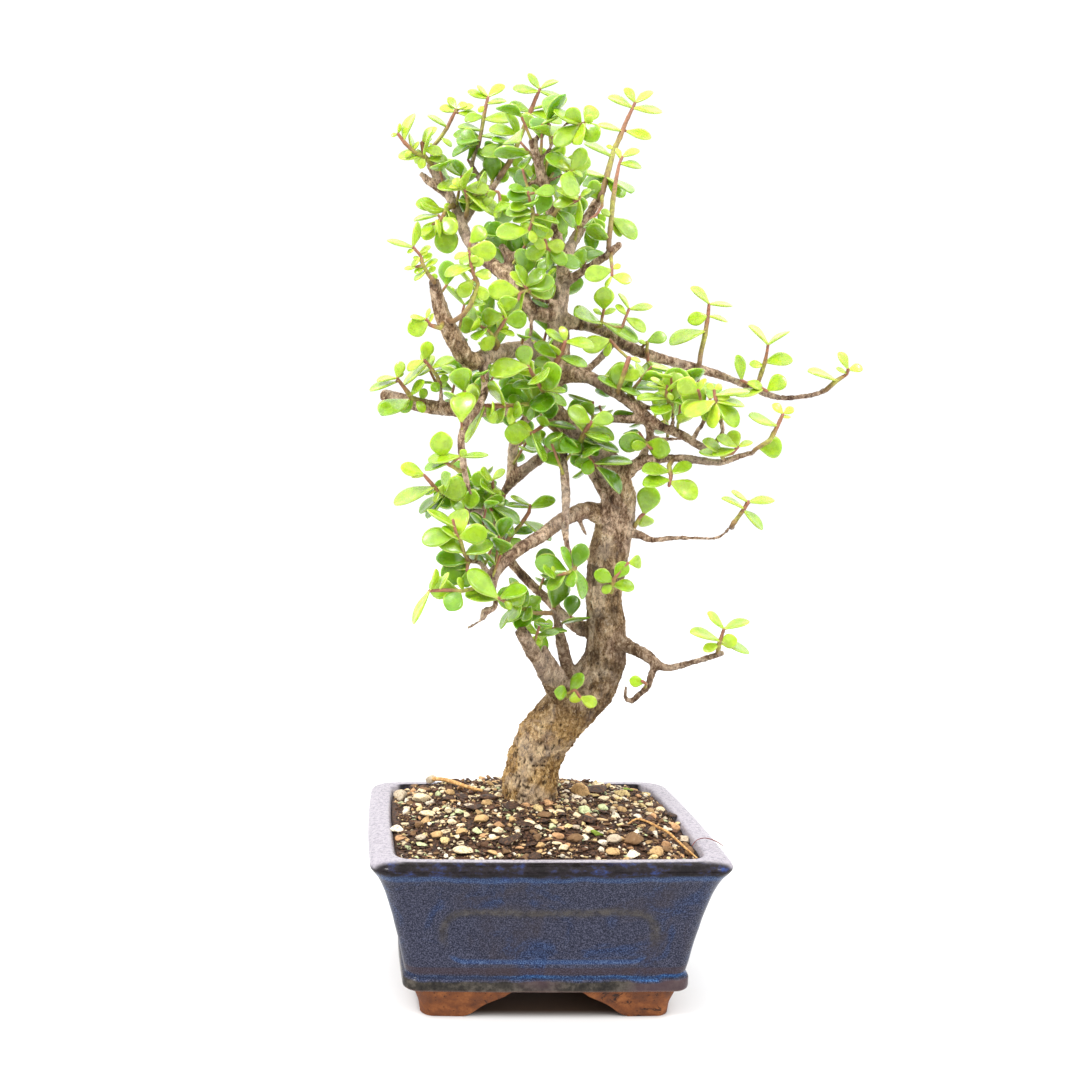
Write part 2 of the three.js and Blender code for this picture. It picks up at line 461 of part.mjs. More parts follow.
// Every leafy stem. `stem` is its route [[x, y, depth, width], ...] from the wood outwards, and
// `twigs` are side routes on it. A leaf is [root x, root y, tip x, tip y, width] as drawn.
const LEAFY_STEMS = {
  top_left_end: {
    stem: [[431, 163, 38, 6], [424, 156, 36, 5], [422, 143, 36, 4]],
    twigs: [[[424, 157, 36, 5], [413, 151, 34, 4], [405, 143, 34, 4], [398, 134, 34, 3]]],
    leaves: [[399, 133, 391, 136, 4], [398, 133, 400, 123, 4], [404, 141, 415, 113, 9],
      [423, 143, 437, 127, 9], [422, 142, 430, 140, 3], [413, 151, 409, 129, 3], [412, 151, 405, 157, 6],
      [426, 157, 414, 156, 14], [424, 156, 420, 169, 9], [414, 150, 419, 141, 4],
      [425, 149, 443, 154, 10], [428, 158, 448, 160, 9]],
  },
  reddish_shoot: {
    stem: [[432, 160, 47, 5], [433, 147, 47, 4], [441, 137, 47, 4], [447, 128, 47, 4], [456, 110, 48, 3]],
    leaves: [[447, 127, 427, 115, 5], [455, 112, 439, 108, 8], [457, 109, 448, 97, 8],
      [458, 108, 467, 103, 7], [459, 109, 474, 106, 6], [458, 113, 478, 116, 7], [434, 146, 429, 144, 3],
      [437, 158, 468, 176, 13], [436, 162, 448, 187, 8], [441, 138, 452, 147, 5]],
  },
  yellow_tip_left: {
    stem: [[479, 144, 36, 4], [482, 128, 37, 4], [485, 110, 37, 4], [488, 97, 37, 3]],
    leaves: [[486, 98, 467, 91, 7], [487, 96, 477, 85, 4], [489, 97, 505, 85, 9],
      [485, 106, 478, 112, 6], [487, 104, 507, 101, 5], [484, 117, 464, 121, 9],
      [484, 119, 515, 119, 10], [482, 131, 457, 127, 5], [481, 138, 450, 133, 12],
      [482, 136, 508, 138, 5], [478, 142, 452, 157, 7], [480, 141, 449, 146, 7]],
  },
  tallest_shoot: {
    stem: [[501, 175, 35, 6], [509, 163, 33, 6], [516, 148, 30, 5], [523, 130, 28, 5], [530, 113, 26, 5],
      [535, 100, 25, 4], [540, 89, 24, 3]],
    leaves: [[540, 88, 528, 73, 7], [541, 87, 559, 81, 5], [538, 91, 512, 88, 8], [540, 91, 563, 99, 5],
      [531, 112, 509, 103, 8], [532, 114, 563, 123, 11], [518, 134, 488, 130, 11],
      [515, 142, 488, 140, 5], [513, 150, 479, 154, 14], [514, 147, 494, 148, 6],
      [508, 166, 482, 170, 19], [507, 168, 503, 183, 10], [517, 149, 530, 157, 9],
      [513, 155, 521, 166, 12], [530, 117, 519, 115, 4]],
  },
  fork_cluster: {
    stem: [[467, 214, 29, 5], [468, 204, 28, 4], [466, 192, 25, 4], [463, 187, 24, 3]],
    twigs: [[[467, 197, 26, 4], [482, 193, 24, 3], [498, 192, 22, 3], [502, 206, 21, 3]]],
    leaves: [[464, 189, 490, 190, 13], [463, 186, 449, 187, 4], [466, 191, 455, 178, 7],
      [467, 192, 501, 218, 13], [468, 203, 458, 200, 4], [468, 207, 486, 209, 9],
      [462, 188, 452, 180, 8], [499, 194, 507, 204, 12], [497, 192, 487, 196, 8],
      [502, 205, 514, 214, 12], [500, 202, 497, 222, 9], [492, 192, 486, 206, 9]],
  },
  hanging_left_cluster: {
    stem: [[453, 205, 36, 5], [446, 210, 33, 5], [442, 218, 30, 4], [436, 223, 29, 3]],
    leaves: [[441, 210, 415, 203, 13], [443, 211, 449, 203, 7], [438, 215, 413, 221, 4],
      [442, 222, 450, 254, 24], [440, 222, 423, 240, 15], [432, 225, 416, 242, 10],
      [447, 210, 455, 224, 6], [443, 218, 459, 236, 18]],
  },
  tiny_curled_tip: {
    stem: [[433, 280, -44, 5], [428, 274, -45, 4], [423, 265, -47, 4], [420, 255, -47, 3],
      [413, 247, -48, 3]],
    leaves: [[412, 247, 418, 221, 8], [411, 246, 386, 240, 5], [420, 256, 427, 249, 7],
      [424, 263, 432, 252, 8], [426, 267, 438, 259, 6], [424, 268, 414, 273, 6], [420, 262, 413, 257, 5],
      [427, 273, 436, 267, 6], [429, 276, 438, 277, 6], [424, 272, 414, 281, 5], [416, 267, 404, 269, 4],
      [414, 250, 407, 253, 4], [421, 252, 431, 246, 5], [419, 257, 412, 267, 5]],
  },
  green_stem_left: {
    stem: [[454, 321, -44, 5], [463, 315, -45, 5], [470, 306, -45, 5], [474, 296, -45, 5],
      [478, 284, -45, 4], [472, 270, -47, 4], [470, 258, -48, 3], [469, 250, -48, 3]],
    leaves: [[470, 268, 444, 276, 11], [469, 253, 454, 259, 6], [473, 280, 459, 297, 15],
      [476, 288, 443, 288, 10], [471, 266, 484, 260, 9], [474, 274, 492, 276, 11],
      [477, 285, 487, 300, 12], [470, 248, 497, 252, 20], [470, 243, 486, 226, 17],
      [469, 256, 478, 262, 8]],
  },
  upright_left_cluster: {
    stem: [[533, 212, -32, 4], [532, 222, -33, 4], [529, 231, -34, 3]],
    twigs: [[[533, 213, -33, 3], [530, 202, -36, 3], [528, 192, -37, 3]]],
    leaves: [[528, 190, 508, 187, 8], [529, 198, 506, 195, 13], [530, 205, 509, 208, 11],
      [531, 212, 505, 214, 12], [533, 218, 512, 221, 8], [534, 193, 556, 190, 12],
      [538, 215, 547, 195, 18], [534, 217, 560, 223, 6], [532, 222, 547, 238, 14],
      [529, 232, 495, 234, 17], [531, 226, 521, 226, 6], [530, 230, 535, 243, 9]],
  },
  rosette: {
    stem: [[578, 125, -36, 4], [585, 123, -38, 3]],
    leaves: [[581, 123, 565, 108, 16], [586, 122, 596, 105, 17], [586, 125, 598, 142, 19],
      [582, 126, 576, 141, 12], [583, 124, 580, 155, 12], [579, 125, 554, 146, 19],
      [585, 123, 591, 117, 9], [580, 124, 552, 110, 8]],
  },
  upright_tuft: {
    stem: [[571, 171, -31, 4], [577, 165, -33, 3]],
    leaves: [[577, 167, 579, 158, 8], [574, 172, 557, 162, 9], [572, 171, 583, 177, 4],
      [569, 172, 545, 155, 14], [571, 169, 550, 146, 10]],
  },
  behind_upright: {
    stem: [[541, 172, -18, 4], [546, 166, -14, 4], [552, 164, -12, 3]],
    leaves: [[544, 167, 530, 168, 17], [553, 165, 557, 179, 13], [552, 163, 568, 158, 9],
      [547, 165, 545, 178, 12]],
  },
  upright_right_cluster: {
    stem: [[553, 216, -22, 5], [560, 207, -25, 4], [570, 203, -28, 4], [579, 200, -29, 3]],
    leaves: [[578, 198, 556, 190, 7], [576, 202, 553, 205, 12], [580, 199, 579, 226, 7],
      [580, 197, 591, 189, 6], [558, 211, 574, 228, 9], [556, 212, 566, 235, 12], [560, 206, 554, 184, 8]],
  },
  middle_rosette: {
    stem: [[560, 262, -14, 5], [553, 256, -20, 4], [547, 248, -24, 4], [545, 240, -25, 3]],
    twigs: [[[554, 257, -20, 4], [563, 259, -18, 3], [573, 256, -17, 3]]],
    leaves: [[547, 244, 565, 247, 14], [546, 248, 531, 240, 11], [549, 250, 567, 264, 14],
      [546, 250, 549, 270, 7], [545, 249, 525, 256, 16], [544, 240, 534, 228, 12],
      [545, 238, 552, 228, 9], [555, 257, 581, 266, 14], [556, 258, 538, 270, 12],
      [572, 256, 594, 257, 17]],
  },
  yellow_green_fan: {
    stem: [[536, 297, -20, 5], [528, 290, -24, 4], [524, 285, -25, 3]],
    twigs: [[[528, 290, -24, 4], [520, 293, -26, 3], [518, 300, -28, 3]]],
    leaves: [[528, 289, 516, 264, 10], [529, 291, 552, 297, 10], [528, 288, 555, 281, 17],
      [526, 286, 545, 270, 14], [523, 284, 510, 271, 9], [522, 285, 504, 265, 7],
      [519, 292, 487, 290, 21], [518, 300, 499, 306, 17]],
  },
  bowl_leaf_stem: {
    stem: [[498, 345, -24, 5], [495, 336, -28, 4], [502, 325, -30, 4], [506, 318, -32, 3]],
    twigs: [[[495, 336, -28, 3], [486, 329, -29, 3], [478, 325, -30, 3]]],
    leaves: [[506, 322, 528, 318, 19], [503, 325, 506, 331, 9], [503, 316, 482, 318, 19],
      [479, 325, 459, 325, 17], [497, 336, 481, 350, 14], [485, 330, 468, 350, 9],
      [499, 331, 515, 336, 5]],
  },
  left_arm_sprout: {
    stem: [[440, 328, -45, 5], [430, 325, -47, 4], [426, 319, -48, 3]],
    leaves: [[429, 322, 407, 332, 19], [425, 319, 408, 317, 4], [424, 319, 430, 308, 4],
      [430, 323, 433, 313, 4]],
  },
  right_tall_shoot: {
    stem: [[601, 196, 26, 6], [605, 183, 32, 6], [609, 168, 36, 6], [614, 150, 38, 5], [620, 137, 40, 5],
      [626, 122, 41, 4], [635, 103, 44, 3]],
    twigs: [[[602, 195, 26, 4], [602, 206, 18, 3], [597, 214, 14, 3], [591, 219, 12, 3]]],
    leaves: [[634, 102, 624, 88, 8], [636, 102, 653, 91, 8], [631, 107, 607, 97, 7],
      [633, 108, 663, 112, 8], [622, 131, 597, 125, 5], [626, 131, 652, 138, 10],
      [612, 157, 583, 143, 6], [614, 149, 606, 146, 4], [606, 177, 580, 172, 5],
      [604, 180, 578, 183, 12], [607, 180, 625, 197, 13], [608, 178, 639, 198, 4],
      [604, 184, 592, 190, 5], [598, 214, 605, 222, 8], [593, 218, 601, 231, 14], [592, 219, 582, 236, 5]],
  },
  right_thin_shoot: {
    stem: [[609, 249, -20, 5], [609, 240, -13, 5], [611, 222, -6, 5], [613, 200, -1, 5],
      [616, 180, 3, 4], [619, 165, 6, 3], [622, 157, 7, 3]],
    leaves: [[622, 157, 640, 150, 8], [620, 159, 616, 148, 5], [621, 164, 642, 168, 7],
      [612, 218, 637, 239, 15], [612, 221, 622, 237, 9], [611, 217, 601, 210, 7], [610, 232, 604, 239, 4]],
  },
  snag_hanger: {
    stem: [[611, 257, -22, 4], [612, 268, -25, 3], [612, 276, -26, 3]],
    leaves: [[612, 269, 621, 265, 6], [612, 277, 632, 281, 11], [611, 278, 606, 288, 4],
      [611, 270, 584, 277, 17]],
  },
  long_arm_upper: {
    stem: [[601, 326, 2, 4], [602, 318, 1, 3], [604, 309, -1, 3]],
    twigs: [[[601, 322, 1, 3], [613, 327, 1, 3], [622, 327, 2, 3], [625, 319, 3, 3], [629, 309, 5, 3]]],
    leaves: [[604, 309, 604, 288, 20], [603, 315, 593, 309, 5], [604, 315, 616, 309, 6],
      [601, 324, 562, 311, 11], [603, 323, 639, 342, 11], [629, 309, 653, 306, 8],
      [628, 308, 618, 293, 4], [626, 315, 615, 305, 6], [626, 318, 646, 332, 11]],
  },
  long_arm_pair: {
    stem: [[647, 342, 13, 3], [647, 353, 13, 4], [648, 362, 13, 3]],
    leaves: [[648, 342, 667, 336, 13], [646, 344, 638, 341, 4], [648, 361, 659, 380, 14]],
  },
  arm_shoot_a: {
    stem: [[699, 365, 22, 5], [701, 352, 24, 5], [705, 335, 25, 5], [708, 316, 26, 4], [709, 304, 26, 3]],
    leaves: [[709, 303, 690, 287, 8], [710, 303, 733, 306, 5], [707, 316, 687, 321, 14],
      [708, 316, 728, 322, 4], [704, 331, 669, 345, 13]],
  },
  arm_shoot_b: {
    stem: [[757, 386, 20, 4], [762, 371, 20, 5], [765, 362, 18, 4], [767, 352, 17, 3], [768, 345, 17, 3]],
    twigs: [[[757, 386, 20, 4], [749, 384, 18, 3], [741, 380, 18, 3]],
      [[757, 386, 20, 4], [767, 391, 16, 3]]],
    leaves: [[767, 344, 748, 325, 4], [769, 344, 790, 331, 4], [764, 362, 793, 359, 14],
      [762, 365, 749, 364, 8], [743, 378, 737, 354, 11], [745, 383, 763, 388, 9],
      [763, 390, 735, 396, 9], [768, 390, 785, 377, 17]],
  },
  arm_tip: {
    stem: [[826, 390, 12, 5], [836, 381, 10, 5], [847, 374, 9, 3], [848, 369, 7, 3]],
    leaves: [[848, 366, 838, 352, 8], [847, 370, 863, 368, 9], [846, 373, 836, 368, 4],
      [836, 380, 807, 371, 6]],
  },
  middle_riser: {
    stem: [[618, 390, -16, 5], [621, 382, -18, 5], [625, 370, -20, 5], [629, 358, -20, 5]],
    twigs: [[[629, 359, -20, 3], [617, 348, -13, 3], [610, 340, -6, 3]]],
    leaves: [[621, 379, 640, 372, 13], [619, 389, 597, 377, 6], [621, 388, 642, 395, 6],
      [630, 356, 641, 362, 4], [609, 338, 582, 349, 18], [612, 341, 606, 357, 8]],
  },
  yellow_front_shoot: {
    stem: [[549, 387, -10, 6], [553, 372, -17, 6], [559, 356, -20, 6], [565, 342, -22, 5]],
    leaves: [[563, 342, 545, 330, 8], [566, 341, 561, 326, 9], [567, 342, 595, 347, 11],
      [561, 357, 588, 366, 9], [558, 358, 533, 344, 13], [555, 366, 534, 361, 14]],
  },
  front_left_fan: {
    stem: [[548, 398, -8, 6], [541, 388, -25, 4], [533, 375, -29, 4], [528, 366, -30, 3]],
    leaves: [[526, 364, 521, 345, 18], [528, 367, 489, 374, 20], [530, 370, 513, 366, 6],
      [540, 386, 512, 386, 9], [544, 391, 553, 378, 16], [545, 391, 567, 406, 9], [543, 388, 570, 393, 4]],
  },
  left_fan: {
    stem: [[543, 404, -8, 5], [528, 404, -20, 4], [505, 406, -28, 4], [487, 406, -32, 4],
      [481, 404, -33, 3]],
    leaves: [[480, 404, 461, 386, 24], [483, 405, 461, 415, 9], [484, 408, 465, 444, 10],
      [486, 408, 494, 424, 11], [530, 402, 500, 389, 21], [527, 405, 504, 399, 12],
      [510, 406, 510, 425, 10], [533, 405, 530, 421, 8], [524, 405, 517, 415, 8]],
  },
  stump_cluster: {
    stem: [[440, 383, 24, 4], [437, 376, 22, 4], [431, 368, 21, 4], [424, 360, 20, 3]],
    leaves: [[424, 360, 429, 341, 14], [423, 361, 407, 371, 9], [427, 364, 402, 386, 8],
      [431, 369, 413, 376, 6], [432, 368, 455, 358, 9], [435, 371, 457, 367, 4], [437, 374, 453, 371, 4],
      [439, 384, 431, 391, 11], [440, 382, 448, 376, 8], [438, 379, 446, 387, 8]],
  },
  stump_end: {
    stem: [[422, 401, 26, 5], [412, 398, 22, 5], [403, 386, 20, 4], [397, 378, 18, 3]],
    leaves: [[396, 377, 402, 361, 11], [396, 382, 369, 391, 7], [396, 379, 376, 381, 5],
      [398, 378, 403, 371, 6], [411, 395, 425, 380, 9], [413, 399, 400, 412, 13],
      [416, 400, 424, 413, 9], [409, 400, 371, 421, 18], [422, 399, 425, 388, 9]],
  },
  hanging_arm_tuft: {
    stem: [[460, 471, -46, 4], [450, 465, -48, 4], [441, 461, -49, 3]],
    twigs: [[[450, 465, -48, 3], [460, 456, -51, 3]]],
    leaves: [[460, 456, 427, 461, 10], [443, 458, 440, 431, 23], [448, 463, 424, 470, 8],
      [461, 456, 489, 455, 5], [461, 456, 466, 450, 8]],
  },
  back_left_fan: {
    stem: [[483, 508, 1, 4], [488, 503, -5, 4], [494, 494, -9, 4], [492, 480, -12, 3]],
    twigs: [[[488, 503, -5, 4], [492, 511, -10, 3]]],
    leaves: [[492, 482, 471, 477, 17], [492, 480, 470, 466, 10], [492, 479, 505, 469, 8],
      [493, 487, 500, 498, 9], [486, 503, 491, 525, 10], [492, 511, 513, 534, 13],
      [491, 508, 504, 520, 9], [491, 500, 505, 503, 9], [489, 504, 520, 526, 9]],
  },
  hooked_shoot: {
    stem: [[505, 544, 17, 5], [515, 531, 10, 4], [522, 523, 6, 4], [529, 512, 3, 4], [530, 505, 2, 3]],
    leaves: [[531, 508, 556, 499, 12], [529, 505, 510, 496, 4], [527, 507, 505, 505, 3],
      [523, 521, 552, 541, 10], [521, 523, 501, 518, 9], [513, 533, 534, 530, 9],
      [510, 538, 521, 547, 12]],
  },
  left_spray_low: {
    stem: [[461, 499, -15, 5], [450, 496, -21, 4], [437, 490, -26, 4], [432, 484, -28, 4],
      [424, 475, -29, 3]],
    leaves: [[437, 491, 468, 487, 26], [434, 487, 393, 505, 14], [425, 474, 400, 466, 14],
      [425, 475, 411, 477, 4], [436, 491, 425, 495, 4], [439, 492, 434, 504, 5], [441, 493, 438, 508, 9],
      [444, 495, 419, 514, 8], [446, 496, 426, 519, 8], [449, 497, 463, 512, 12]],
  },
  big_dark_pair: {
    stem: [[469, 562, -40, 4], [464, 553, -44, 4], [461, 542, -45, 4], [456, 533, -47, 3],
      [453, 520, -47, 3]],
    twigs: [[[468, 561, -41, 4], [467, 571, -44, 3]]],
    leaves: [[456, 534, 421, 542, 20], [461, 540, 440, 527, 8], [459, 537, 488, 532, 21],
      [465, 554, 494, 543, 14], [467, 562, 435, 558, 18], [467, 569, 440, 571, 4],
      [467, 571, 466, 588, 12]],
  },
  olive_shoot: {
    stem: [[550, 613, -5, 5], [535, 613, -13, 4], [522, 608, -20, 4], [508, 603, -28, 4],
      [498, 598, -47, 3]],
    leaves: [[498, 598, 467, 570, 21], [500, 598, 528, 588, 15], [499, 600, 464, 595, 15],
      [503, 602, 512, 609, 7], [529, 612, 504, 622, 11], [523, 606, 527, 594, 9],
      [527, 607, 541, 597, 11], [531, 611, 537, 601, 7], [515, 606, 500, 630, 5],
      [520, 607, 509, 577, 9], [540, 613, 530, 595, 8]],
  },
  low_left_droop: {
    stem: [[486, 580, -42, 5], [475, 588, -45, 4], [462, 591, -48, 4], [445, 590, -51, 4],
      [429, 591, -52, 3]],
    leaves: [[460, 590, 448, 610, 21], [428, 592, 413, 625, 5], [430, 590, 436, 568, 6],
      [439, 588, 449, 572, 4], [463, 589, 458, 577, 7]],
  },
  root_end_cluster: {
    stem: [[575, 568, -29, 5], [568, 573, -32, 4], [555, 575, -34, 3]],
    leaves: [[568, 573, 534, 561, 21], [566, 574, 547, 590, 12], [575, 567, 584, 543, 18],
      [574, 568, 583, 600, 11], [556, 575, 532, 566, 10], [555, 575, 552, 566, 4],
      [571, 571, 560, 545, 8], [573, 571, 573, 592, 12]],
  },
  shade_cluster: {
    stem: [[552, 630, 1, 4], [546, 634, -2, 3], [538, 634, -3, 3]],
    leaves: [[547, 633, 536, 618, 13], [541, 634, 533, 648, 12], [546, 633, 549, 618, 9],
      [548, 634, 568, 631, 4], [545, 634, 542, 655, 9], [540, 633, 548, 641, 9]],
  },
  trunk_sprout_low: {
    stem: [[568, 697, -5, 4], [567, 694, -9, 3], [575, 690, -12, 3], [580, 697, -12, 3]],
    leaves: [[567, 694, 553, 691, 15], [570, 691, 583, 673, 13], [574, 689, 576, 704, 12],
      [580, 697, 597, 705, 13]],
  },
  trunk_sprout_middle: {
    stem: [[611, 592, -13, 5], [612, 586, -16, 4], [614, 579, -19, 4], [628, 563, -19, 3]],
    leaves: [[612, 581, 594, 572, 15], [614, 578, 627, 562, 15], [614, 586, 635, 587, 13],
      [611, 584, 602, 593, 9], [629, 563, 648, 560, 14]],
  },
  right_round_leaves: {
    stem: [[640, 517, -5, 4], [644, 514, -8, 3]],
    leaves: [[644, 513, 651, 490, 23], [644, 515, 648, 527, 16]],
  },
  low_right_leaves: {
    stem: [[669, 466, -26, 5], [671, 476, -29, 4], [669, 486, -30, 3]],
    leaves: [[670, 482, 698, 497, 19], [671, 474, 692, 463, 12], [669, 472, 641, 470, 13],
      [669, 480, 642, 485, 14]],
  },
  link_leaves: {
    stem: [[647, 445, -17, 3], [652, 449, -18, 3]],
    leaves: [[652, 450, 669, 443, 11], [646, 445, 631, 446, 11]],
  },
  arm_end_shoot: {
    stem: [[756, 449, -44, 4], [770, 440, -45, 5], [777, 427, -45, 4], [783, 414, -45, 3]],
    leaves: [[758, 447, 785, 447, 22], [776, 425, 748, 415, 8], [783, 414, 772, 404, 8],
      [783, 413, 794, 408, 8], [782, 417, 791, 417, 3]],
  },
  front_crown_a: {
    stem: [[701, 406, -38, 4], [700, 396, -41, 3], [698, 390, -43, 3]],
    twigs: [[[701, 405, -39, 4], [709, 403, -45, 4], [716, 403, -47, 4], [714, 390, -47, 3]]],
    leaves: [[699, 392, 676, 382, 20], [700, 391, 683, 387, 6], [701, 400, 681, 412, 15],
      [699, 392, 706, 378, 7], [714, 390, 722, 385, 7], [713, 390, 707, 384, 7], [716, 395, 750, 391, 5],
      [716, 399, 730, 396, 9], [716, 402, 745, 406, 7], [714, 401, 684, 416, 16],
      [718, 404, 738, 427, 16], [710, 403, 705, 411, 9], [716, 404, 713, 430, 13]],
  },
  front_crown_c: {
    stem: [[722, 456, -38, 4], [732, 453, -40, 4], [738, 447, -41, 3]],
    leaves: [[737, 446, 716, 437, 10], [738, 444, 730, 429, 14], [736, 450, 712, 455, 9],
      [739, 448, 753, 442, 6], [725, 455, 696, 450, 10], [724, 455, 702, 440, 10]],
  },
  middle_twig_leaves: {
    stem: [[669, 402, -30, 4], [666, 395, -32, 4], [667, 386, -33, 3]],
    leaves: [[669, 402, 668, 421, 9], [668, 399, 636, 399, 7], [669, 401, 690, 405, 5],
      [667, 389, 646, 385, 4], [667, 388, 650, 378, 4], [667, 392, 673, 400, 6], [666, 395, 660, 388, 7]],
  },
  back_arm_fan: {
    stem: [[579, 446, -13, 6], [582, 438, -18, 6], [587, 428, -21, 5], [591, 422, -22, 4]],
    twigs: [[[580, 444, -16, 4], [587, 454, -18, 3], [597, 467, -20, 3]]],
    leaves: [[590, 422, 566, 408, 17], [591, 423, 614, 417, 15], [586, 431, 615, 439, 13],
      [585, 434, 607, 442, 9], [582, 443, 599, 455, 12], [579, 446, 541, 443, 21],
      [584, 440, 620, 452, 9], [586, 452, 582, 470, 17], [590, 460, 585, 475, 14],
      [597, 468, 621, 494, 12], [594, 464, 633, 462, 8]],
  },
  centre_fan: {
    stem: [[547, 422, -12, 5], [540, 428, -18, 4], [530, 434, -22, 3]],
    leaves: [[540, 430, 530, 446, 16], [530, 434, 503, 433, 22], [546, 424, 577, 429, 6],
      [533, 432, 516, 422, 9], [533, 435, 545, 465, 5]],
  },
  low_right_tip: {
    stem: [[718, 652, -33, 5], [719, 646, -36, 5], [720, 641, -38, 4], [724, 629, -39, 3]],
    leaves: [[723, 628, 707, 612, 8], [725, 628, 750, 621, 9], [720, 641, 689, 632, 9],
      [720, 643, 735, 640, 15], [721, 641, 750, 653, 8], [719, 644, 703, 651, 10]],
  },
  wisp_end: {
    stem: [[733, 524, -36, 5], [739, 516, -37, 4], [744, 509, -38, 4], [748, 502, -38, 4]],
    leaves: [[749, 502, 775, 500, 9], [747, 500, 731, 491, 4], [744, 509, 721, 498, 4],
      [745, 511, 763, 530, 8]],
  },
  low_right_leaf: {
    stem: [[646, 684, -25, 3], [642, 681, -26, 3]],
    leaves: [[645, 682, 629, 680, 12]],
  },
};

// Half widths along a leaf, as shares of its length and of its half width: a spoon shape.
const LEAF_EDGE = [[0.27, 0.8], [0.77, 1.04]];
const LEAF_CROWN = 0.46;      // where a leaf is thickest
const LEAF_SINK = 0.1;        // how far its root runs past the middle of the stem
const SMALL_LEAF = 11;        // below this a leaf has one pair of shoulders
const LEAST_LEAF = 8.7;       // smaller scale leaves are left off a stem that has others
const KEEP_CLEAR = 2.5;       // between check points on different leafy stems
const LEAVES_APART = 1.9;     // between check points on leaves of one stem, where there is room
const STEM_CLEAR = 1.1;
const SHIFTS = Array.from({ length: 33 }, (_, i) => (i % 2 ? -1 : 1) * Math.ceil(i / 2));
const BENDS = [0, 14, -14, 28, -28, 42, -42, 56, -56, 70, -70]
  .map((angle) => THREE.MathUtils.degToRad(angle));

// The nearest point on drawn routes to a drawn point, as [x, y, depth].
function nearestOn(routes, x, y) {
  let best = null;
  for (const drawn of routes) {
    for (let i = 0; i + 1 < drawn.length; i++) {
      const [ax, ay, ad] = drawn[i];
      const [bx, by, bd] = drawn[i + 1];
      const length = Math.max((bx - ax) ** 2 + (by - ay) ** 2, 1e-6);
      const t = Math.min(1, Math.max(0, ((x - ax) * (bx - ax) + (y - ay) * (by - ay)) / length));
      const spot = [ax + (bx - ax) * t, ay + (by - ay) * t, ad + (bd - ad) * t];
      const gap = Math.hypot(spot[0] - x, spot[1] - y);
      if (!best || gap < best.gap) {
        best = { spot, gap };
      }
    }
  }
  return best;
}

// Where a drawn leaf is and how it lies. A leaf drawn too short for its width leans towards the
// eye or away from it, and one drawn too narrow is turned on its edge. `turn` bends it further.
function leafLie(root, tip, width, away, side, turn) {
  const unit = unitAt(root);
  const flat = tip.clone().sub(root);
  const drawnLength = flat.length();
  const along = flat.normalize();
  const drawnWidth = width * unit;
  const wanted = Math.max(drawnLength, drawnWidth / LEAF_PLUMPNESS);
  const length = Math.min(wanted, Math.max(LONGEST_LEAF, drawnLength));
  const lean = Math.acos(Math.min(1, drawnLength / length));
  const sight = new THREE.Vector3(EYE.x, EYE.y, EYE.z).sub(root).normalize();
  const angle = (away ? -lean : lean) + turn;
  const ahead = along.clone().multiplyScalar(Math.cos(angle))
    .addScaledVector(sight, Math.sin(angle)).normalize();
  const facing = sight.clone().addScaledVector(ahead, -sight.dot(ahead)).normalize();
  const fullWidth = Math.max(drawnWidth, length * 0.66);
  const roll = Math.min(Math.acos(drawnWidth / fullWidth), 1.3);
  const beside = ahead.clone().cross(facing);
  const up = Math.abs(beside.z) > 0.25 ? Math.sign(beside.z) : side;
  const face = facing.clone().multiplyScalar(Math.cos(roll)).addScaledVector(beside, up * Math.sin(roll));
  return { root, ahead, face, across: face.clone().cross(ahead), length, halfWidth: fullWidth / 2 };
}

function leafPoint(lie, s, v, rise) {
  return lie.root.clone().addScaledVector(lie.ahead, s * lie.length)
    .addScaledVector(lie.across, v * lie.halfWidth).addScaledVector(lie.face, rise);
}

// Points spread over a leaf, to keep it clear of what grows beside it.
function leafChecks(lie) {
  const checks = [];
  for (const [s, reach] of [[0.22, 0.4], [0.42, 0.8], [0.6, 0.95], [0.78, 0.85], [0.97, 0.35]]) {
    for (const v of [-1, -0.34, 0.34, 1]) {
      checks.push(leafPoint(lie, s, v * reach, 0));
    }
  }
  return checks;
}

// A fleshy leaf: a spoon-shaped edge between a raised crown and a fuller belly, cupped a little.
// Its pointed root ends in the middle of the stem, and a small leaf has one pair of shoulders.
function leafSolid(lie) {
  const cup = 0.1 * lie.halfWidth;
  const edge = lie.length < SMALL_LEAF ? [[0.56, 1.05]] : LEAF_EDGE;
  const rim = [
    leafPoint(lie, -LEAF_SINK / lie.length, 0, 0),
    ...edge.map(([s, reach]) => leafPoint(lie, s, reach, cup)),
    leafPoint(lie, 1, 0, 0),
    ...[...edge].reverse().map(([s, reach]) => leafPoint(lie, s, -reach, cup)),
  ];
  const crown = rim.length;
  const faces = rim.flatMap((_, i) => [[(i + 1) % crown, i, crown], [i, (i + 1) % crown, crown + 1]]);
  const top = leafPoint(lie, LEAF_CROWN, 0, LEAF_THICKNESS * 0.4);
  const belly = leafPoint(lie, LEAF_CROWN, 0, -LEAF_THICKNESS * 0.6);
  return solidOf(geometryOf([...rim, top, belly], faces));
}

// Everything that a leaf must stay clear of, as balls with an owner, in a grid of cells.
const CELL = 6;
const cells = new Map();

function cellKey(x, y, z) {
  return `${Math.floor(x / CELL)},${Math.floor(y / CELL)},${Math.floor(z / CELL)}`;
}

function occupy(at, radius, owner, ownRadius = 0) {
  const key = cellKey(at.x, at.y, at.z);
  if (!cells.has(key)) {
    cells.set(key, []);
  }
  cells.get(key).push({ at, radius, owner, ownRadius });
}

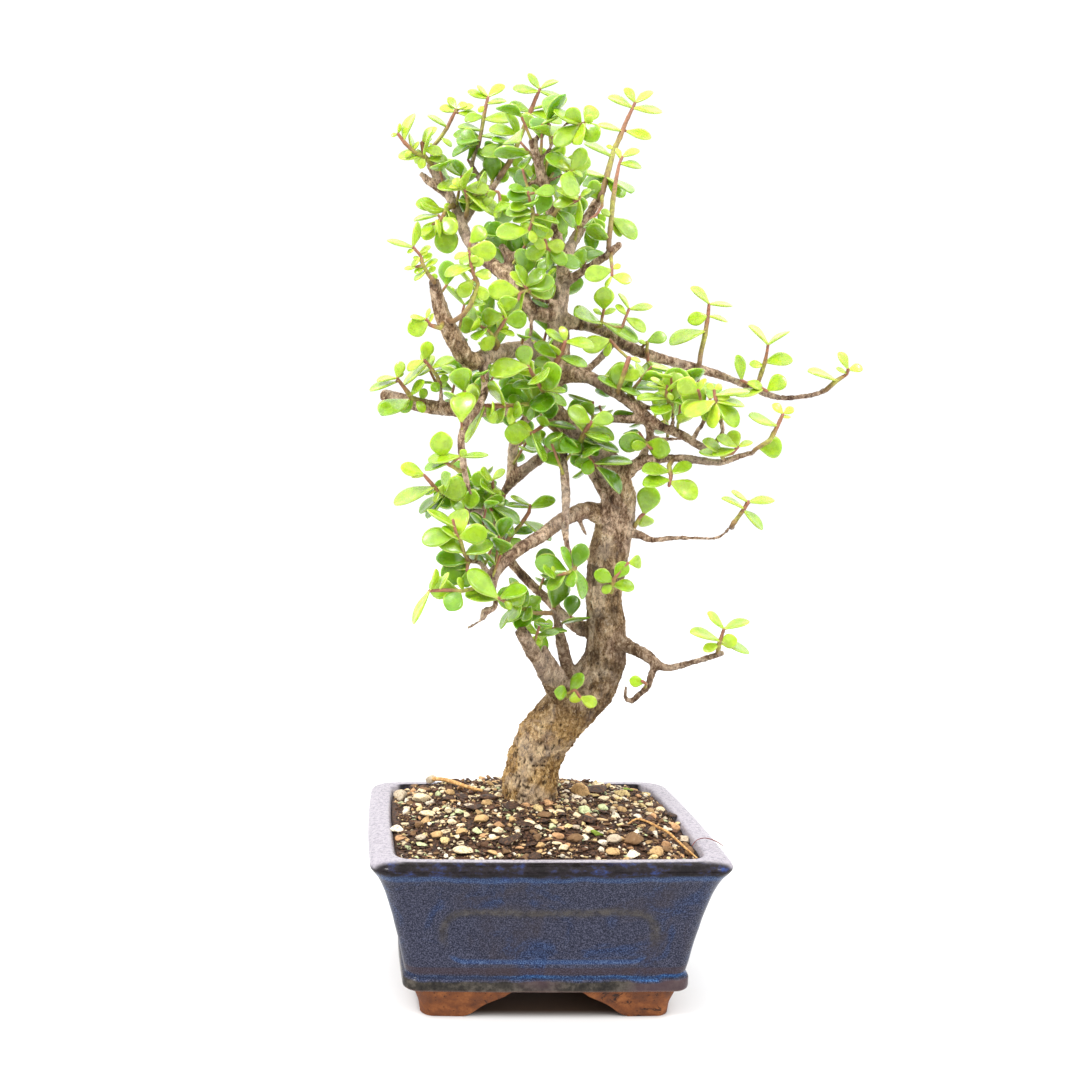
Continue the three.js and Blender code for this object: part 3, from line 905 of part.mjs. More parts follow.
function occupyRoute(route, owner, extra) {
  for (let i = 0; i + 1 < route.length; i++) {
    const parts = Math.ceil(route[i].at.distanceTo(route[i + 1].at) / 1.5);
    for (let k = 0; k <= parts; k++) {
      const radius = route[i].radius + (route[i + 1].radius - route[i].radius) * k / parts;
      occupy(route[i].at.clone().lerp(route[i + 1].at, k / parts), radius + extra, owner);
    }
  }
}

// Whether points are clear of what others own and, if `apart`, of the leaves of their own stem.
function isClear(checks, owner, apart) {
  const hits = (ball, point) => {
    const radius = ball.owner !== owner ? ball.radius : apart ? ball.ownRadius : 0;
    return ball.at.distanceTo(point) < radius;
  };
  const steps = [-1, 0, 1];
  return !checks.some((point) => steps.some((dx) => steps.some((dy) => steps.some((dz) => {
    const near = cells.get(cellKey(point.x + dx * CELL, point.y + dy * CELL, point.z + dz * CELL)) ?? [];
    return near.some((ball) => hits(ball, point));
  }))));
}

// Balls down the middle of all the wood.
function woodBalls() {
  const balls = [];
  for (const [name, [, drawn]] of Object.entries(LIMBS)) {
    const route = limbRoute(name, drawn);
    for (let i = 0; i + 1 < route.length; i++) {
      const parts = Math.ceil(route[i].at.distanceTo(route[i + 1].at) / 1.5);
      for (let k = 0; k < parts; k++) {
        const radius = route[i].radius + (route[i + 1].radius - route[i].radius) * k / parts;
        balls.push({ at: route[i].at.clone().lerp(route[i + 1].at, k / parts), radius });
      }
    }
  }
  return balls;
}

// A drawn route with a point more in the middle of each long stretch.
function finer(drawn) {
  return drawn.flatMap((point, i) => {
    const next = drawn[Math.min(i + 1, drawn.length - 1)];
    const isLong = Math.hypot(next[0] - point[0], next[1] - point[1]) > 7;
    return isLong ? [point, point.map((value, k) => (value + next[k]) / 2)] : [point];
  });
}

// A drawn route with each point after the first moved in depth, as little as it takes, off the wood.
function offWood(drawn, balls) {
  return drawn.map(([x, y, depth, width], i) => {
    const isOff = (shift) => {
      const at = place(x, y, depth + shift);
      const room = width / 2 * unitAt(at) + STEM_CLEAR;
      return balls.every((ball) => ball.at.distanceTo(at) > ball.radius + room);
    };
    const shift = i === 0 ? 0 : SHIFTS.find(isOff) ?? 0;
    return [x, y, depth + shift, width];
  });
}

// The drawn route of a leafy stem, begun on the middle line of the wood that is nearest to it.
function rooted(drawn, balls) {
  const start = place(...drawn[0]);
  const gap = (ball) => ball.at.distanceTo(start);
  const nearest = balls.reduce((best, ball) => (gap(ball) < gap(best) ? ball : best));
  return offWood([[...drawnAt(nearest.at), drawn[0][3]], ...finer(drawn)], balls);
}

// A side route, moved in depth to begin on its stem.
function branched(drawn, stem, balls) {
  const shift = nearestOn([stem], drawn[0][0], drawn[0][1]).spot[2] - drawn[0][2];
  return offWood(finer(drawn).map(([x, y, depth, width]) => [x, y, depth + shift, width]), balls);
}

// The lie of every leaf, each bent clear of the wood and of the stems and leaves of its neighbours.
function layLeaves() {
  const balls = woodBalls();
  balls.forEach(({ at, radius }) => occupy(at, radius + 1.2, 'wood'));
  const stems = Object.entries(LEAFY_STEMS).map(([name, { stem, twigs = [], leaves }]) => {
    const main = rooted(stem, balls);
    const routes = [main, ...twigs.map((twig) => branched(twig, main, balls))];
    routes.forEach((drawn) => occupyRoute(routeOf(drawn, 0.95), name, 1.3));
    return { name, routes, leaves };
  });
  for (const stem of stems) {
    const draw = draws(stem.name.length * 97 + stem.leaves.length);
    stem.lies = [];
    stem.stalks = [];
    for (const [x0, y0, x1, y1, width] of stem.leaves) {
      const { spot, gap } = nearestOn([stem.routes[0].slice(1), ...stem.routes.slice(1)], x0, y0);
      const foot = place(...spot);
      const root = gap > 3 ? place(x0, y0, spot[2]) : foot;
      const away = draw() < 0.35;
      const side = draw() < 0.5 ? -1 : 1;
      const tip = place(x1, y1, spot[2]);
      const choices = BENDS.map((turn) => leafLie(root, tip, width, away, side, turn));
      const lie = choices.find((choice) => isClear(leafChecks(choice), stem.name, true))
        ?? choices.find((choice) => isClear(leafChecks(choice), stem.name, false));
      if (!lie || (lie.length < LEAST_LEAF && stem.leaves.length > 2)) {
        continue;
      }
      leafChecks(lie).forEach((point, i) => occupy(point, KEEP_CLEAR, stem.name, i < 4 ? 0 : LEAVES_APART));
      stem.lies.push(lie);
      if (gap > 3) {
        stem.stalks.push([[...spot, 3], [x0, y0, spot[2], 2.6]]);
      }
    }
  }
  return stems;
}

function makeLeafyStem(stem) {
  const parts = [...stem.routes, ...stem.stalks].map((drawn) => {
    return solidOf(limb(routeOf(sparse(drawn, 0.8), 40), 3));
  });
  return joined([...parts, ...stem.lies.map(leafSolid)]);
}

// A solid thickened by the fit gap along each axis, for cutting clearance.
function withGap(solid) {
  const shifts = [[1, 0, 0], [-1, 0, 0], [0, 1, 0], [0, -1, 0], [0, 0, 1], [0, 0, -1]];
  const moved = shifts.map(([x, y, z]) => solid.translate(x * FIT_GAP, y * FIT_GAP, z * FIT_GAP));
  return joined([solid, ...moved]);
}

// ---------------------------------------------------------------- the plant in its pot

const group = new THREE.Group();

function addPiece(name, geometry, color, roughness) {
  const material = new THREE.MeshStandardMaterial({ color, roughness, metalness: 0 });
  const mesh = new THREE.Mesh(geometry, material);
  mesh.name = name;
  group.add(mesh);
}

const wood = makeWood(draws(5));
const pocketSide = MESH_SIDE + 2 * FIT_GAP;
const pocketDepth = 2 * (MESH_THICKNESS + 2 * FIT_GAP);
const pockets = joined([-1, 1].map((side) => {
  const pocket = new THREE.BoxGeometry(pocketSide, pocketSide, pocketDepth);
  return solidOf(pocket.translate(side * DRAIN_HOLE_X, 0, BASE_TOP));
}));

addPiece('pot', geometryFrom(makePot()), 0x34364f, 0.3);
addPiece('drain_mesh_left', geometryFrom(makeDrainMesh(-DRAIN_HOLE_X)), 0x2f3331, 0.7);
addPiece('drain_mesh_right', geometryFrom(makeDrainMesh(DRAIN_HOLE_X)), 0x2f3331, 0.7);
addPiece('soil', geometryFrom(makeSoil(withGap(wood), pockets)), 0x8a6a4a, 0.95);
addPiece('trunk_and_branches', geometryFrom(wood), 0x7a5a40, 0.9);

const woodSkin = withGap(wood);
const grown = [];
for (const stem of layLeaves()) {
  let solid = makeLeafyStem(stem).subtract(woodSkin);
  for (const other of grown) {
    if (solid.intersect(other).volume() > 0) {
      solid = solid.subtract(withGap(other));
    }
  }
  solid = mainBody(solid);
  grown.push(solid);
  addPiece(`leaves_${stem.name}`, geometryFrom(solid), 0x5f9a1c, 0.4);
}

const extent = new THREE.Box3().setFromObject(group);
group.position.x = -(extent.min.x + extent.max.x) / 2;

export default group;
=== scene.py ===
# %% [markdown]
# # A dwarf jade bonsai in its glazed pot
#
# The real thing is a small Portulacaria tree, about 34 cm of crooked trunk and limbs over a
# blue stoneware pot 15 cm long. It has four kinds of surface: glossy glaze over rough clay,
# loose grit, flaky bark, and several hundred fleshy leaves as big as a fingernail.
#
# Every piece starts from the packed model, which gives the places and the sizes. The plain
# faceted solids are then replaced, one by one, by finer meshes in the same places.

# %% Load the packed model and keep its box
import itertools
import json
import math

import bmesh
import bpy
import numpy as np
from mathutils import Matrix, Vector, kdtree, noise

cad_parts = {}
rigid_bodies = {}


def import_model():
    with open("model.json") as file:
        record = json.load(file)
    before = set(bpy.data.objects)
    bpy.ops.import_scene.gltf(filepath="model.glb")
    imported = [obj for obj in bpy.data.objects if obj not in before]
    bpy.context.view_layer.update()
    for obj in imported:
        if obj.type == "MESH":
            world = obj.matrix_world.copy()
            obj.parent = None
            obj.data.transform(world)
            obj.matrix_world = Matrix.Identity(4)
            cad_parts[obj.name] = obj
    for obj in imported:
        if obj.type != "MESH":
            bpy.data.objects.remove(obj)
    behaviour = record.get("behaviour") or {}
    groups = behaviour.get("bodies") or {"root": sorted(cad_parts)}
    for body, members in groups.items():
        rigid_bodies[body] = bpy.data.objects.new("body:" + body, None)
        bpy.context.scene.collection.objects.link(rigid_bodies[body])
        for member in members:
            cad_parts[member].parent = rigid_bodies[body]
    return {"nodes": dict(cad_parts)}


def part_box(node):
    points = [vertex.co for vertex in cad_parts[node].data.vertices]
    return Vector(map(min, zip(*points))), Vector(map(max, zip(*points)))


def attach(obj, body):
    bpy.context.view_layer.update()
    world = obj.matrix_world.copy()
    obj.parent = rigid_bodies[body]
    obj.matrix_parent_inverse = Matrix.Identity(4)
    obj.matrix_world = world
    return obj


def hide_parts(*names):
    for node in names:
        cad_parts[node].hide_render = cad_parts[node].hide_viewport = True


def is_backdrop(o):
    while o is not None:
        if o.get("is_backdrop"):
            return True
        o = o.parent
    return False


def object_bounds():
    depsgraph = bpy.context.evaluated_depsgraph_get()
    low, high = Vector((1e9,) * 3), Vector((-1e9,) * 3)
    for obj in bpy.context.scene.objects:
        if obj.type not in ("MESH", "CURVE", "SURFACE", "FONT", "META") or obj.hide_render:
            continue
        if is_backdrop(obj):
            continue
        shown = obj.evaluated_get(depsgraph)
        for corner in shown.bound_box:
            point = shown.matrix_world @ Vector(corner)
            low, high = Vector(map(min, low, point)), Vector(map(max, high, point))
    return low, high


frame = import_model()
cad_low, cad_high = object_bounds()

MM = 0.001
pot_low, pot_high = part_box("pot")
POT_MIDDLE_X = (pot_low.x + pot_high.x) / 2 / MM
scene = bpy.context.scene

print("packed nodes:", len(frame["nodes"]))
print("object in mm:", [round(v / MM, 1) for v in cad_high - cad_low])
print("pot's middle is at x =", round(POT_MIDDLE_X, 2), "mm")

# %% [markdown]
# ## Two ways to say where something is
#
# Pot and soil are drawn in millimetres about the middle of the pot's base. The tree is
# different: nobody measures a branch with a ruler, so it is laid out on one front elevation
# in perspective, as an illustrator would, with a depth in millimetres beside each point.
# `place` turns such a point into millimetres. The camera at the end stands at the same eye.

# %% The elevation drawing
EYE = Vector((-72.4, -469.4, 236.8))
CENTRE_X = 377
CENTRE_Y = 540
FOCUS = 1038
TILT = math.radians(4.17)
DRAWING_SIDE = 1080


def place(x, y, depth):
    """The point in millimetres of a drawn point and its depth (+ to the back)."""
    rise = (CENTRE_Y - y) / FOCUS
    ahead = depth - EYE.y
    up = ahead * (rise * math.cos(TILT) - math.sin(TILT)) / (math.cos(TILT) + rise * math.sin(TILT))
    forward = ahead * math.cos(TILT) - up * math.sin(TILT)
    return Vector((EYE.x + (x - CENTRE_X) / FOCUS * forward, depth, EYE.z + up))


def forward_of(point):
    """How far ahead of the eye a point is."""
    return (point.y - EYE.y) * math.cos(TILT) - (point.z - EYE.z) * math.sin(TILT)


def drawn_at(point):
    """The drawn x, y and depth of a point: the inverse of place."""
    rise = (point.z - EYE.z) * math.cos(TILT) + (point.y - EYE.y) * math.sin(TILT)
    forward = forward_of(point)
    return (CENTRE_X + FOCUS * (point.x - EYE.x) / forward, CENTRE_Y - FOCUS * rise / forward, point.y)


def unit_at(point):
    """Millimetres in one drawing unit at a point."""
    return forward_of(point) / FOCUS


print("trunk foot in mm:", [round(v, 1) for v in place(529, 800, 12)])

# %% [markdown]
# ## Chance that repeats
#
# Grit, bark and leaves need chance, and a lesson needs the same result twice. This small
# generator gives the same draws from the same seed on any computer.

# %% Seeded draws
WORD = 0xFFFFFFFF      # every step keeps only 32 bits


def draws(seed):
    """A function that returns the next number from 0 to 1 each time it is called."""
    state = seed & WORD

    def draw():
        nonlocal state
        state = (state + 0x6D2B79F5) & WORD
        t = ((state ^ (state >> 15)) * (state | 1)) & WORD
        t ^= (t + ((t ^ (t >> 7)) * (t | 61) & WORD)) & WORD
        return ((t ^ (t >> 14)) & WORD) / (WORD + 1)

    return draw


first = draws(5)
print("first draws of seed 5:", [round(first(), 4) for _ in range(3)])

# %% [markdown]
# ## A heap of points and faces
#
# Most pieces here are many small closed bodies in one mesh: stones, leaves, stems. Gathering
# their points and faces in lists is much quicker than making and joining hundreds of objects.
# Each point also carries a tint of four numbers, which the materials read later, so that
# every leaf or stone can have its own colour.

# %% The heap


class Heap:
    """Points in millimetres, faces, tints and finishes, gathered for one mesh."""

    def __init__(self):
        self.points = []
        self.faces = []
        self.tints = []
        self.finishes = []

    def add(self, points, faces, tints, finish=0):
        start = len(self.points)
        self.points.extend(points)
        self.tints.extend(tints if isinstance(tints, list) else [tints] * len(points))
        self.faces.extend([start + i for i in face] for face in faces)
        self.finishes.extend([finish] * len(faces))


print("a new heap holds", len(Heap().points), "points")

# %% A piece made from a heap


def new_object(name, points, faces):
    mesh = bpy.data.meshes.new(name)
    mesh.from_pydata([tuple(point) for point in points], [], faces)
    made = bpy.data.objects.new(name, mesh)
    scene.collection.objects.link(made)
    return made


def dress(piece, *finishes):
    piece.data.materials.clear()
    for finish in finishes:
        piece.data.materials.append(finish)


def tint_mesh(mesh, tints):
    layer = mesh.color_attributes.new("tint", "FLOAT_COLOR", "POINT")
    layer.data.foreach_set("color", np.array(tints, np.float32).ravel())


def seat(piece, node):
    """Make a piece ride the object in place of a packed node."""
    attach(piece, "root")
    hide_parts(node)


def add_piece(name, heap, finishes, node):
    """A heap's mesh in the row frame, dressed and seated."""
    points = (np.array([tuple(p) for p in heap.points]) + (POT_MIDDLE_X, 0, 0)) * MM
    piece = new_object(name, points.tolist(), heap.faces)
    dress(piece, *finishes)
    piece.data.polygons.foreach_set("material_index", heap.finishes)
    piece.data.shade_smooth()
    tint_mesh(piece.data, heap.tints)
    piece.data.validate()
    seat(piece, node)
    return triangles(piece)


def triangles(piece):
    return sum(len(face.vertices) - 2 for face in piece.data.polygons)


print("a packed drain mesh:", triangles(frame["nodes"]["drain_mesh_left"]), "triangles")

# %% [markdown]
# ## The wood
#
# A bonsai's branches are short, bent and cut back, so a smooth curve through a few points is
# too tame for them. Each limb is drawn as a chain of points with a width at each, from its
# parent outwards. It is only what a pencil would draw, so it is kept as a plain table that
# `read_rows` turns into points.

# %% Every woody limb: x, y, depth and width of each point


def read_rows(text):
    """Names and points from rows such as 'twig: 424 157 36 5, 413 151 34 4'."""
    rows = []
    for row in text.strip().replace(",\n", ",").split("\n"):
        name, points = row.split(":")
        rows.append((name, [tuple(map(float, point.split())) for point in points.split(",")]))
    return rows


LIMBS = dict(read_rows("""
trunk: 528 842 14 46, 528 826 13 60, 529 800 12 55, 530 784 12 54, 534 758 12 52, 544 737 11 52,
  558 720 10 51, 573 704 9 51, 591 686 7 50, 605 660 5 43, 607 631 4 38, 603 593 2 37, 608 555 0 40,
  616 520 -2 38, 619 496 -3 34, 612 472 -3 32, 597 450 -2 30, 575 432 0 27, 552 414 2 26, 546 394 3 24,
  556 370 3 24, 560 345 2 22, 557 318 1 21, 560 295 1 19, 563 279 1 13
inner_root: 588 470 -6 7, 597 484 -8 8, 605 499 -9 9, 609 516 -8 10
left_arm: 556 362 3 20, 530 350 -6 18, 498 352 -17 17, 471 362 -28 20, 457 343 -33 20, 444 320 -38 18,
  438 300 -41 15, 434 281 -44 12
hanging_arm: 483 364 -24 10, 485 388 -30 9, 479 406 -36 9, 468 420 -38 10, 461 436 -40 8, 462 452 -41 9,
  464 470 -41 8, 468 486 -40 6, 471 494 -40 4
top_left_arm: 560 312 1 18, 545 316 -5 15, 529 307 -6 14, 520 291 -3 14, 506 276 5 15, 484 258 17 14,
  469 241 26 12, 463 228 33 12, 457 212 37 11, 450 196 41 11, 440 180 42 12, 431 164 44 11
crooked_stub: 510 272 7 10, 508 256 12 10, 501 246 14 8
broken_stub: 508 262 10 10, 518 255 12 12, 527 260 12 10
twin_stub: 449 196 41 9, 440 189 41 9, 431 182 40 8, 421 174 40 6
twin_stub_low: 437 188 41 7, 430 184 40 6, 424 181 40 4
fork_up: 464 221 34 10, 471 210 34 10, 479 200 34 9, 493 187 36 8, 501 176 36 7
fork_tip: 486 193 34 6, 479 178 36 7, 472 166 37 6, 475 154 37 5, 479 144 37 4
low_twig: 561 304 -3 8, 545 300 -10 7, 532 294 -16 6
upright_arm: 562 284 1 14, 563 262 -9 13, 558 243 -13 12, 554 225 -17 12, 548 200 -21 11, 543 180 -24 11,
  537 160 -26 10, 532 140 -28 10
upright_twig_left: 544 182 -24 6, 529 184 -25 5, 531 197 -28 4.5, 533 211 -30 4
upright_twig_right: 545 181 -24 5, 556 178 -26 4.5, 571 171 -30 4
rosette_twig: 538 166 -25 5, 552 144 -29 4.5, 566 124 -33 4.5, 577 125 -36 4
top_twig: 534 146 -28 6, 541 131 -26 5, 551 125 -25 4
right_upright: 563 264 -2 13, 571 246 7 12, 579 232 16 11, 589 215 24 11, 600 197 32 10
snag: 562 286 1 12, 580 273 -6 9, 597 262 -12 9, 610 253 -17 9, 620 244 -20 8
cross_link: 531 316 -6 6, 531 330 -9 5, 528 346 -8 5
long_arm: 558 320 1 18, 580 324 5 14, 601 330 10 12, 631 348 16 13, 662 359 21 11, 703 370 26 10,
  733 380 26 8, 764 393 24 7, 784 398 21 6.5, 812 395 17 6, 826 390 14 5.5
arm_stub: 697 368 26 6, 698 376 25 6, 698 384 24 4
brace: 616 337 13 9, 605 353 7 8, 593 365 1 8, 583 373 -5 9
middle_arm: 556 374 3 22, 575 374 -1 18, 589 377 -5 14, 601 384 -8 12, 613 391 -10 13, 626 400 -13 11,
  641 412 -14 11, 660 426 -17 10, 680 434 -20 10, 695 443 -22 9, 711 452 -25 8
middle_twig: 616 394 -10 8, 636 402 -9 7, 650 408 -6 6, 663 405 -3 5
cluster_twig_a: 692 441 -22 6, 698 430 -28 6, 704 421 -32 5, 701 408 -34 4
cluster_twig_b: 708 450 -25 7, 722 434 -33 6, 720 418 -37 5, 716 406 -40 4
cluster_twig_c: 671 431 -18 6, 673 418 -24 5, 669 406 -28 4
back_arm: 588 428 -3 5, 600 424 -3 6, 614 419 -6 9, 643 420 -14 10
back_arm_root: 570 430 -1 10, 580 430 -2 7, 590 427 -3 5
link: 647 417 -16 9, 650 430 -14 9, 648 442 -12 8, 641 460 -10 10
link_twig: 648 438 -13 6, 668 439 -12 5, 686 438 -9 4
low_right_arm: 614 484 -5 26, 628 471 -8 16, 643 461 -12 12, 660 459 -17 10, 680 458 -22 9, 703 461 -28 9,
  722 462 -32 8, 740 456 -36 7, 755 452 -38 6
left_stump: 552 402 2 20, 520 408 9 16, 490 410 17 15, 460 410 24 15, 440 408 29 15, 420 405 33 15,
  400 399 37 14, 384 395 41 13
stump_twig: 441 406 29 6, 441 392 26 5, 440 384 25 4
right_wisp: 626 532 -5 14, 640 535 -12 9, 652 540 -16 7, 672 538 -21 6, 700 538 -28 5, 719 537 -32 4.5,
  733 524 -36 4
pale_arm: 608 518 -3 26, 588 510 -9 18, 570 516 -14 16, 555 525 -18 15, 540 537 -22 14, 527 544 -25 14,
  509 557 -30 14, 495 572 -34 13, 493 588 -37 8, 496 601 -40 6, 493 609 -41 7, 485 611 -43 9, 483 618 -43 8
pale_arm_hook: 484 618 -43 5, 475 624 -44 4, 467 628 -45 4
pale_arm_twig: 494 584 -37 8, 486 572 -36 8, 480 562 -36 6, 470 561 -36 5, 467 551 -36 4
pale_arm_thorn: 580 521 -12 5, 583 529 -13 5, 587 536 -14 3
hanging_root: 568 434 -2 12, 563 456 -12 10, 565 480 -17 10, 566 500 -21 10, 565 520 -22 9, 566 540 -24 7,
  570 553 -25 6, 575 567 -25 5
cut_arm: 554 438 3 14, 545 454 10 12, 528 467 16 12, 513 480 20 13, 504 492 22 8, 496 506 25 6
cut_arm_riser: 545 400 5 10, 522 424 14 10, 514 444 18 11, 512 464 20 11, 511 482 20 11
back_left_arm: 585 630 7 18, 568 620 16 12, 551 603 21 10, 532 585 24 10, 515 567 26 10, 505 553 24 10,
  502 540 18 9, 493 526 13 9, 484 512 7 9, 479 501 2 6, 490 489 -2 5
left_knot: 487 516 9 8, 476 509 2 7, 467 512 -5 8, 466 524 -8 8
left_knot_up: 467 514 -5 8, 465 504 -9 7, 462 498 -12 5
lower_left_limb: 560 700 5 20, 548 677 -6 17, 538 660 -12 16, 529 645 -17 15, 521 631 -21 14
lower_left_second: 568 690 3 14, 558 672 -2 11, 550 659 -6 9, 544 648 -9 8
lower_left_third: 575 686 7 16, 567 665 6 14, 563 650 5 13, 560 636 5 12, 557 621 6 8, 552 610 7 6
lower_right_limb: 616 640 3 18, 630 647 -5 14, 646 655 -12 13, 657 664 -16 11, 668 668 -18 8, 690 663 -24 7,
  707 658 -28 7, 723 653 -30 7
lower_right_hook: 656 664 -16 9, 651 676 -17 8, 648 686 -18 8, 640 694 -21 7, 631 701 -22 7, 625 697 -22 5,
  626 686 -22 4
"""))
print("limbs:", len(LIMBS))

# %% [markdown]
# ## From drawn points to a route
#
# A route is a list of points with a radius. A Catmull-Rom curve runs through the drawn points
# without overshooting, and `step` says how many widths lie between one ring and the next.
# `sparse` leaves out the points that make no bend, as the packed solids do, so that leaves
# find the same places on a branch here as they have there.

# %% Routes


def bend(a, b, c, d, t):
    """The Catmull-Rom point between b and c."""
    return 0.5 * (2 * b + (c - a) * t + (2 * a - 5 * b + 4 * c - d) * t**2 + (3 * b - a - 3 * c + d) * t**3)


def route_of(drawn, step, least=2.0):
    """Points and radii along a drawn route, one every `step` widths."""
    ends = [place(*point[:3]) for point in drawn]
    radii = [point[3] / 2 * unit_at(end) for point, end in zip(drawn, ends)]
    route = []
    for i in range(len(ends) - 1):
        before, after = ends[max(i - 1, 0)], ends[min(i + 2, len(ends) - 1)]
        pace = max(step * (radii[i] + radii[i + 1]), least)
        parts = max(1, math.floor((ends[i] - ends[i + 1]).length / pace + 0.5))
        for k in range(parts):
            t = k / parts
            at = bend(before, ends[i], ends[i + 1], after, t)
            route.append((at, radii[i] + (radii[i + 1] - radii[i]) * t))
    route.append((ends[-1], radii[-1]))
    return route


print("rings of the trunk:", len(route_of(LIMBS["trunk"], 0.9)))

# %% The points that make a bend


def nearest_on(routes, x, y):
    """The nearest point on drawn routes to a drawn point, and how far off it is."""
    best = None
    for drawn in routes:
        for a, b in zip(drawn, drawn[1:]):
            length = max((b[0] - a[0]) ** 2 + (b[1] - a[1]) ** 2, 1e-6)
            t = min(1, max(0, ((x - a[0]) * (b[0] - a[0]) + (y - a[1]) * (b[1] - a[1])) / length))
            spot = tuple(a[k] + (b[k] - a[k]) * t for k in range(3))
            gap = math.hypot(spot[0] - x, spot[1] - y)
            if best is None or gap < best[1]:
                best = (spot, gap)
    return best


def sparse(drawn, slack):
    """A drawn route without the points that lie within `slack` of the line past them."""
    first, last = drawn[0], drawn[-1]
    worst, split = 0, 0
    for i in range(1, len(drawn) - 1):
        t = i / (len(drawn) - 1)
        off = nearest_on([(first, last)], *drawn[i][:2])[1]
        for k in (2, 3):
            off = max(off, abs(drawn[i][k] - (first[k] + (last[k] - first[k]) * t)))
        if off > worst:
            worst, split = off, i
    if worst <= slack:
        return [first, last]
    return sparse(drawn[:split + 1], slack)[:-1] + sparse(drawn[split:], slack)


def plain_route(name):
    """The route that a limb's packed solid follows."""
    return route_of(LIMBS[name], 0.9) if name == "trunk" else route_of(sparse(LIMBS[name], 2), 2.6)


print("a limb's points that bend it:", len(sparse(LIMBS["lower_right_limb"], 2)))

# %% [markdown]
# ## A tube on a route
#
# Tubes, leaves and the pot are all lofts: rings of points with faces between them and a face
# over each end. The ring of a tube must not spin as the route bends, or its faces twist. Each
# ring is therefore turned only as far as the route turns: its first direction is the last
# ring's, flattened against the new heading.

# %% Lofts and tubes


def loft(rings):
    """Points and faces of a closed body through rings of the same number of points."""
    sides = len(rings[0])
    last = (len(rings) - 1) * sides
    faces = [(r + k, r + (k + 1) % sides, r + sides + (k + 1) % sides, r + sides + k)
             for r in range(0, last, sides) for k in range(sides)]
    faces += [tuple(reversed(range(sides))), tuple(range(last, last + sides))]
    return [point for ring in rings for point in ring], faces


def circle(sides):
    """Cosines and sines of the angles round a circle."""
    return [(math.cos(2 * math.pi * k / sides), math.sin(2 * math.pi * k / sides)) for k in range(sides)]


def tube(route, sides, cap=0.0):
    """Points and faces of a closed tube. `cap` rounds its far end, in radii."""
    if cap:
        end, radius = route[-1]
        ahead = (end - route[-2][0]).normalized()
        route = route + [(end + ahead * radius * cap * 0.6, radius * 0.75),
                         (end + ahead * radius * cap, radius * 0.3)]
    rings, across = [], Vector((0, -1, 0))
    for i, (at, radius) in enumerate(route):
        ahead = (route[min(i + 1, len(route) - 1)][0] - route[max(i - 1, 0)][0]).normalized()
        across = (across - ahead * across.dot(ahead)).normalized()
        other = ahead.cross(across)
        rings.append([at + (across * cos + other * sin) * radius for cos, sin in circle(sides)])
    return loft(rings)


print("faces of a tube on the trunk:", len(tube(plain_route("trunk"), 8)[1]))

# %% [markdown]
# ## Painting without pictures
#
# Every finish below is a small tree of nodes on a Principled shader. `Nodes` and `Finish` keep
# the writing short: they make a node, link what is a socket and store what is a number.
# Patterns are measured in object space, in metres, so a scale of 400 is a grain of 2.5 mm.

# %% Nodes


class Nodes:
    """A node tree, and short ways to build in it."""

    def __init__(self, tree):
        self.nodes = tree.nodes
        self.links = tree.links

    def node(self, kind, settings=(), **inputs):
        made = self.nodes.new("ShaderNode" + kind)
        for name, value in dict(settings).items():
            setattr(made, name, value)
        for name, value in inputs.items():
            self.feed(made.inputs[name.replace("_", " ")], value)
        return made

    def feed(self, socket, value):
        if isinstance(value, bpy.types.NodeSocket):
            self.links.new(value, socket)
        else:
            socket.default_value = value

    def math(self, operation, *values):
        made = self.node("Math", {"operation": operation})
        for socket, value in zip(made.inputs, values):
            self.feed(socket, value)
        return made.outputs[0]

    def times(self, a, b):
        return self.math("MULTIPLY", a, b)

    def plus(self, a, b):
        return self.math("ADD", a, b)

    def span(self, value, low, high, to_low=0.0, to_high=1.0):
        """A value from low to high carried smoothly over to 0 to 1, or to other ends."""
        made = self.node("MapRange", {"interpolation_type": "SMOOTHSTEP"}, Value=value, From_Min=low,
                         From_Max=high, To_Min=to_low, To_Max=to_high)
        return made.outputs["Result"]

    def mix(self, share, a, b, kind="FLOAT"):
        return self.node("Mix", {"data_type": kind}, Factor=share, A=a, B=b).outputs["Result"]


print("node helpers:", [name for name in vars(Nodes) if name[0] != "_"])

# %% Paint


def paint(red, green, blue):
    """A colour given as a painter reads it off a screen, 0 to 255, in the scene's linear light."""
    shares = [v / 255 for v in (red, green, blue)]
    return (*(((v + 0.055) / 1.055) ** 2.4 if v > 0.04 else v / 12.92 for v in shares), 1)


print("mid grey in linear light:", round(paint(128, 128, 128)[0], 3))

# %% A finish


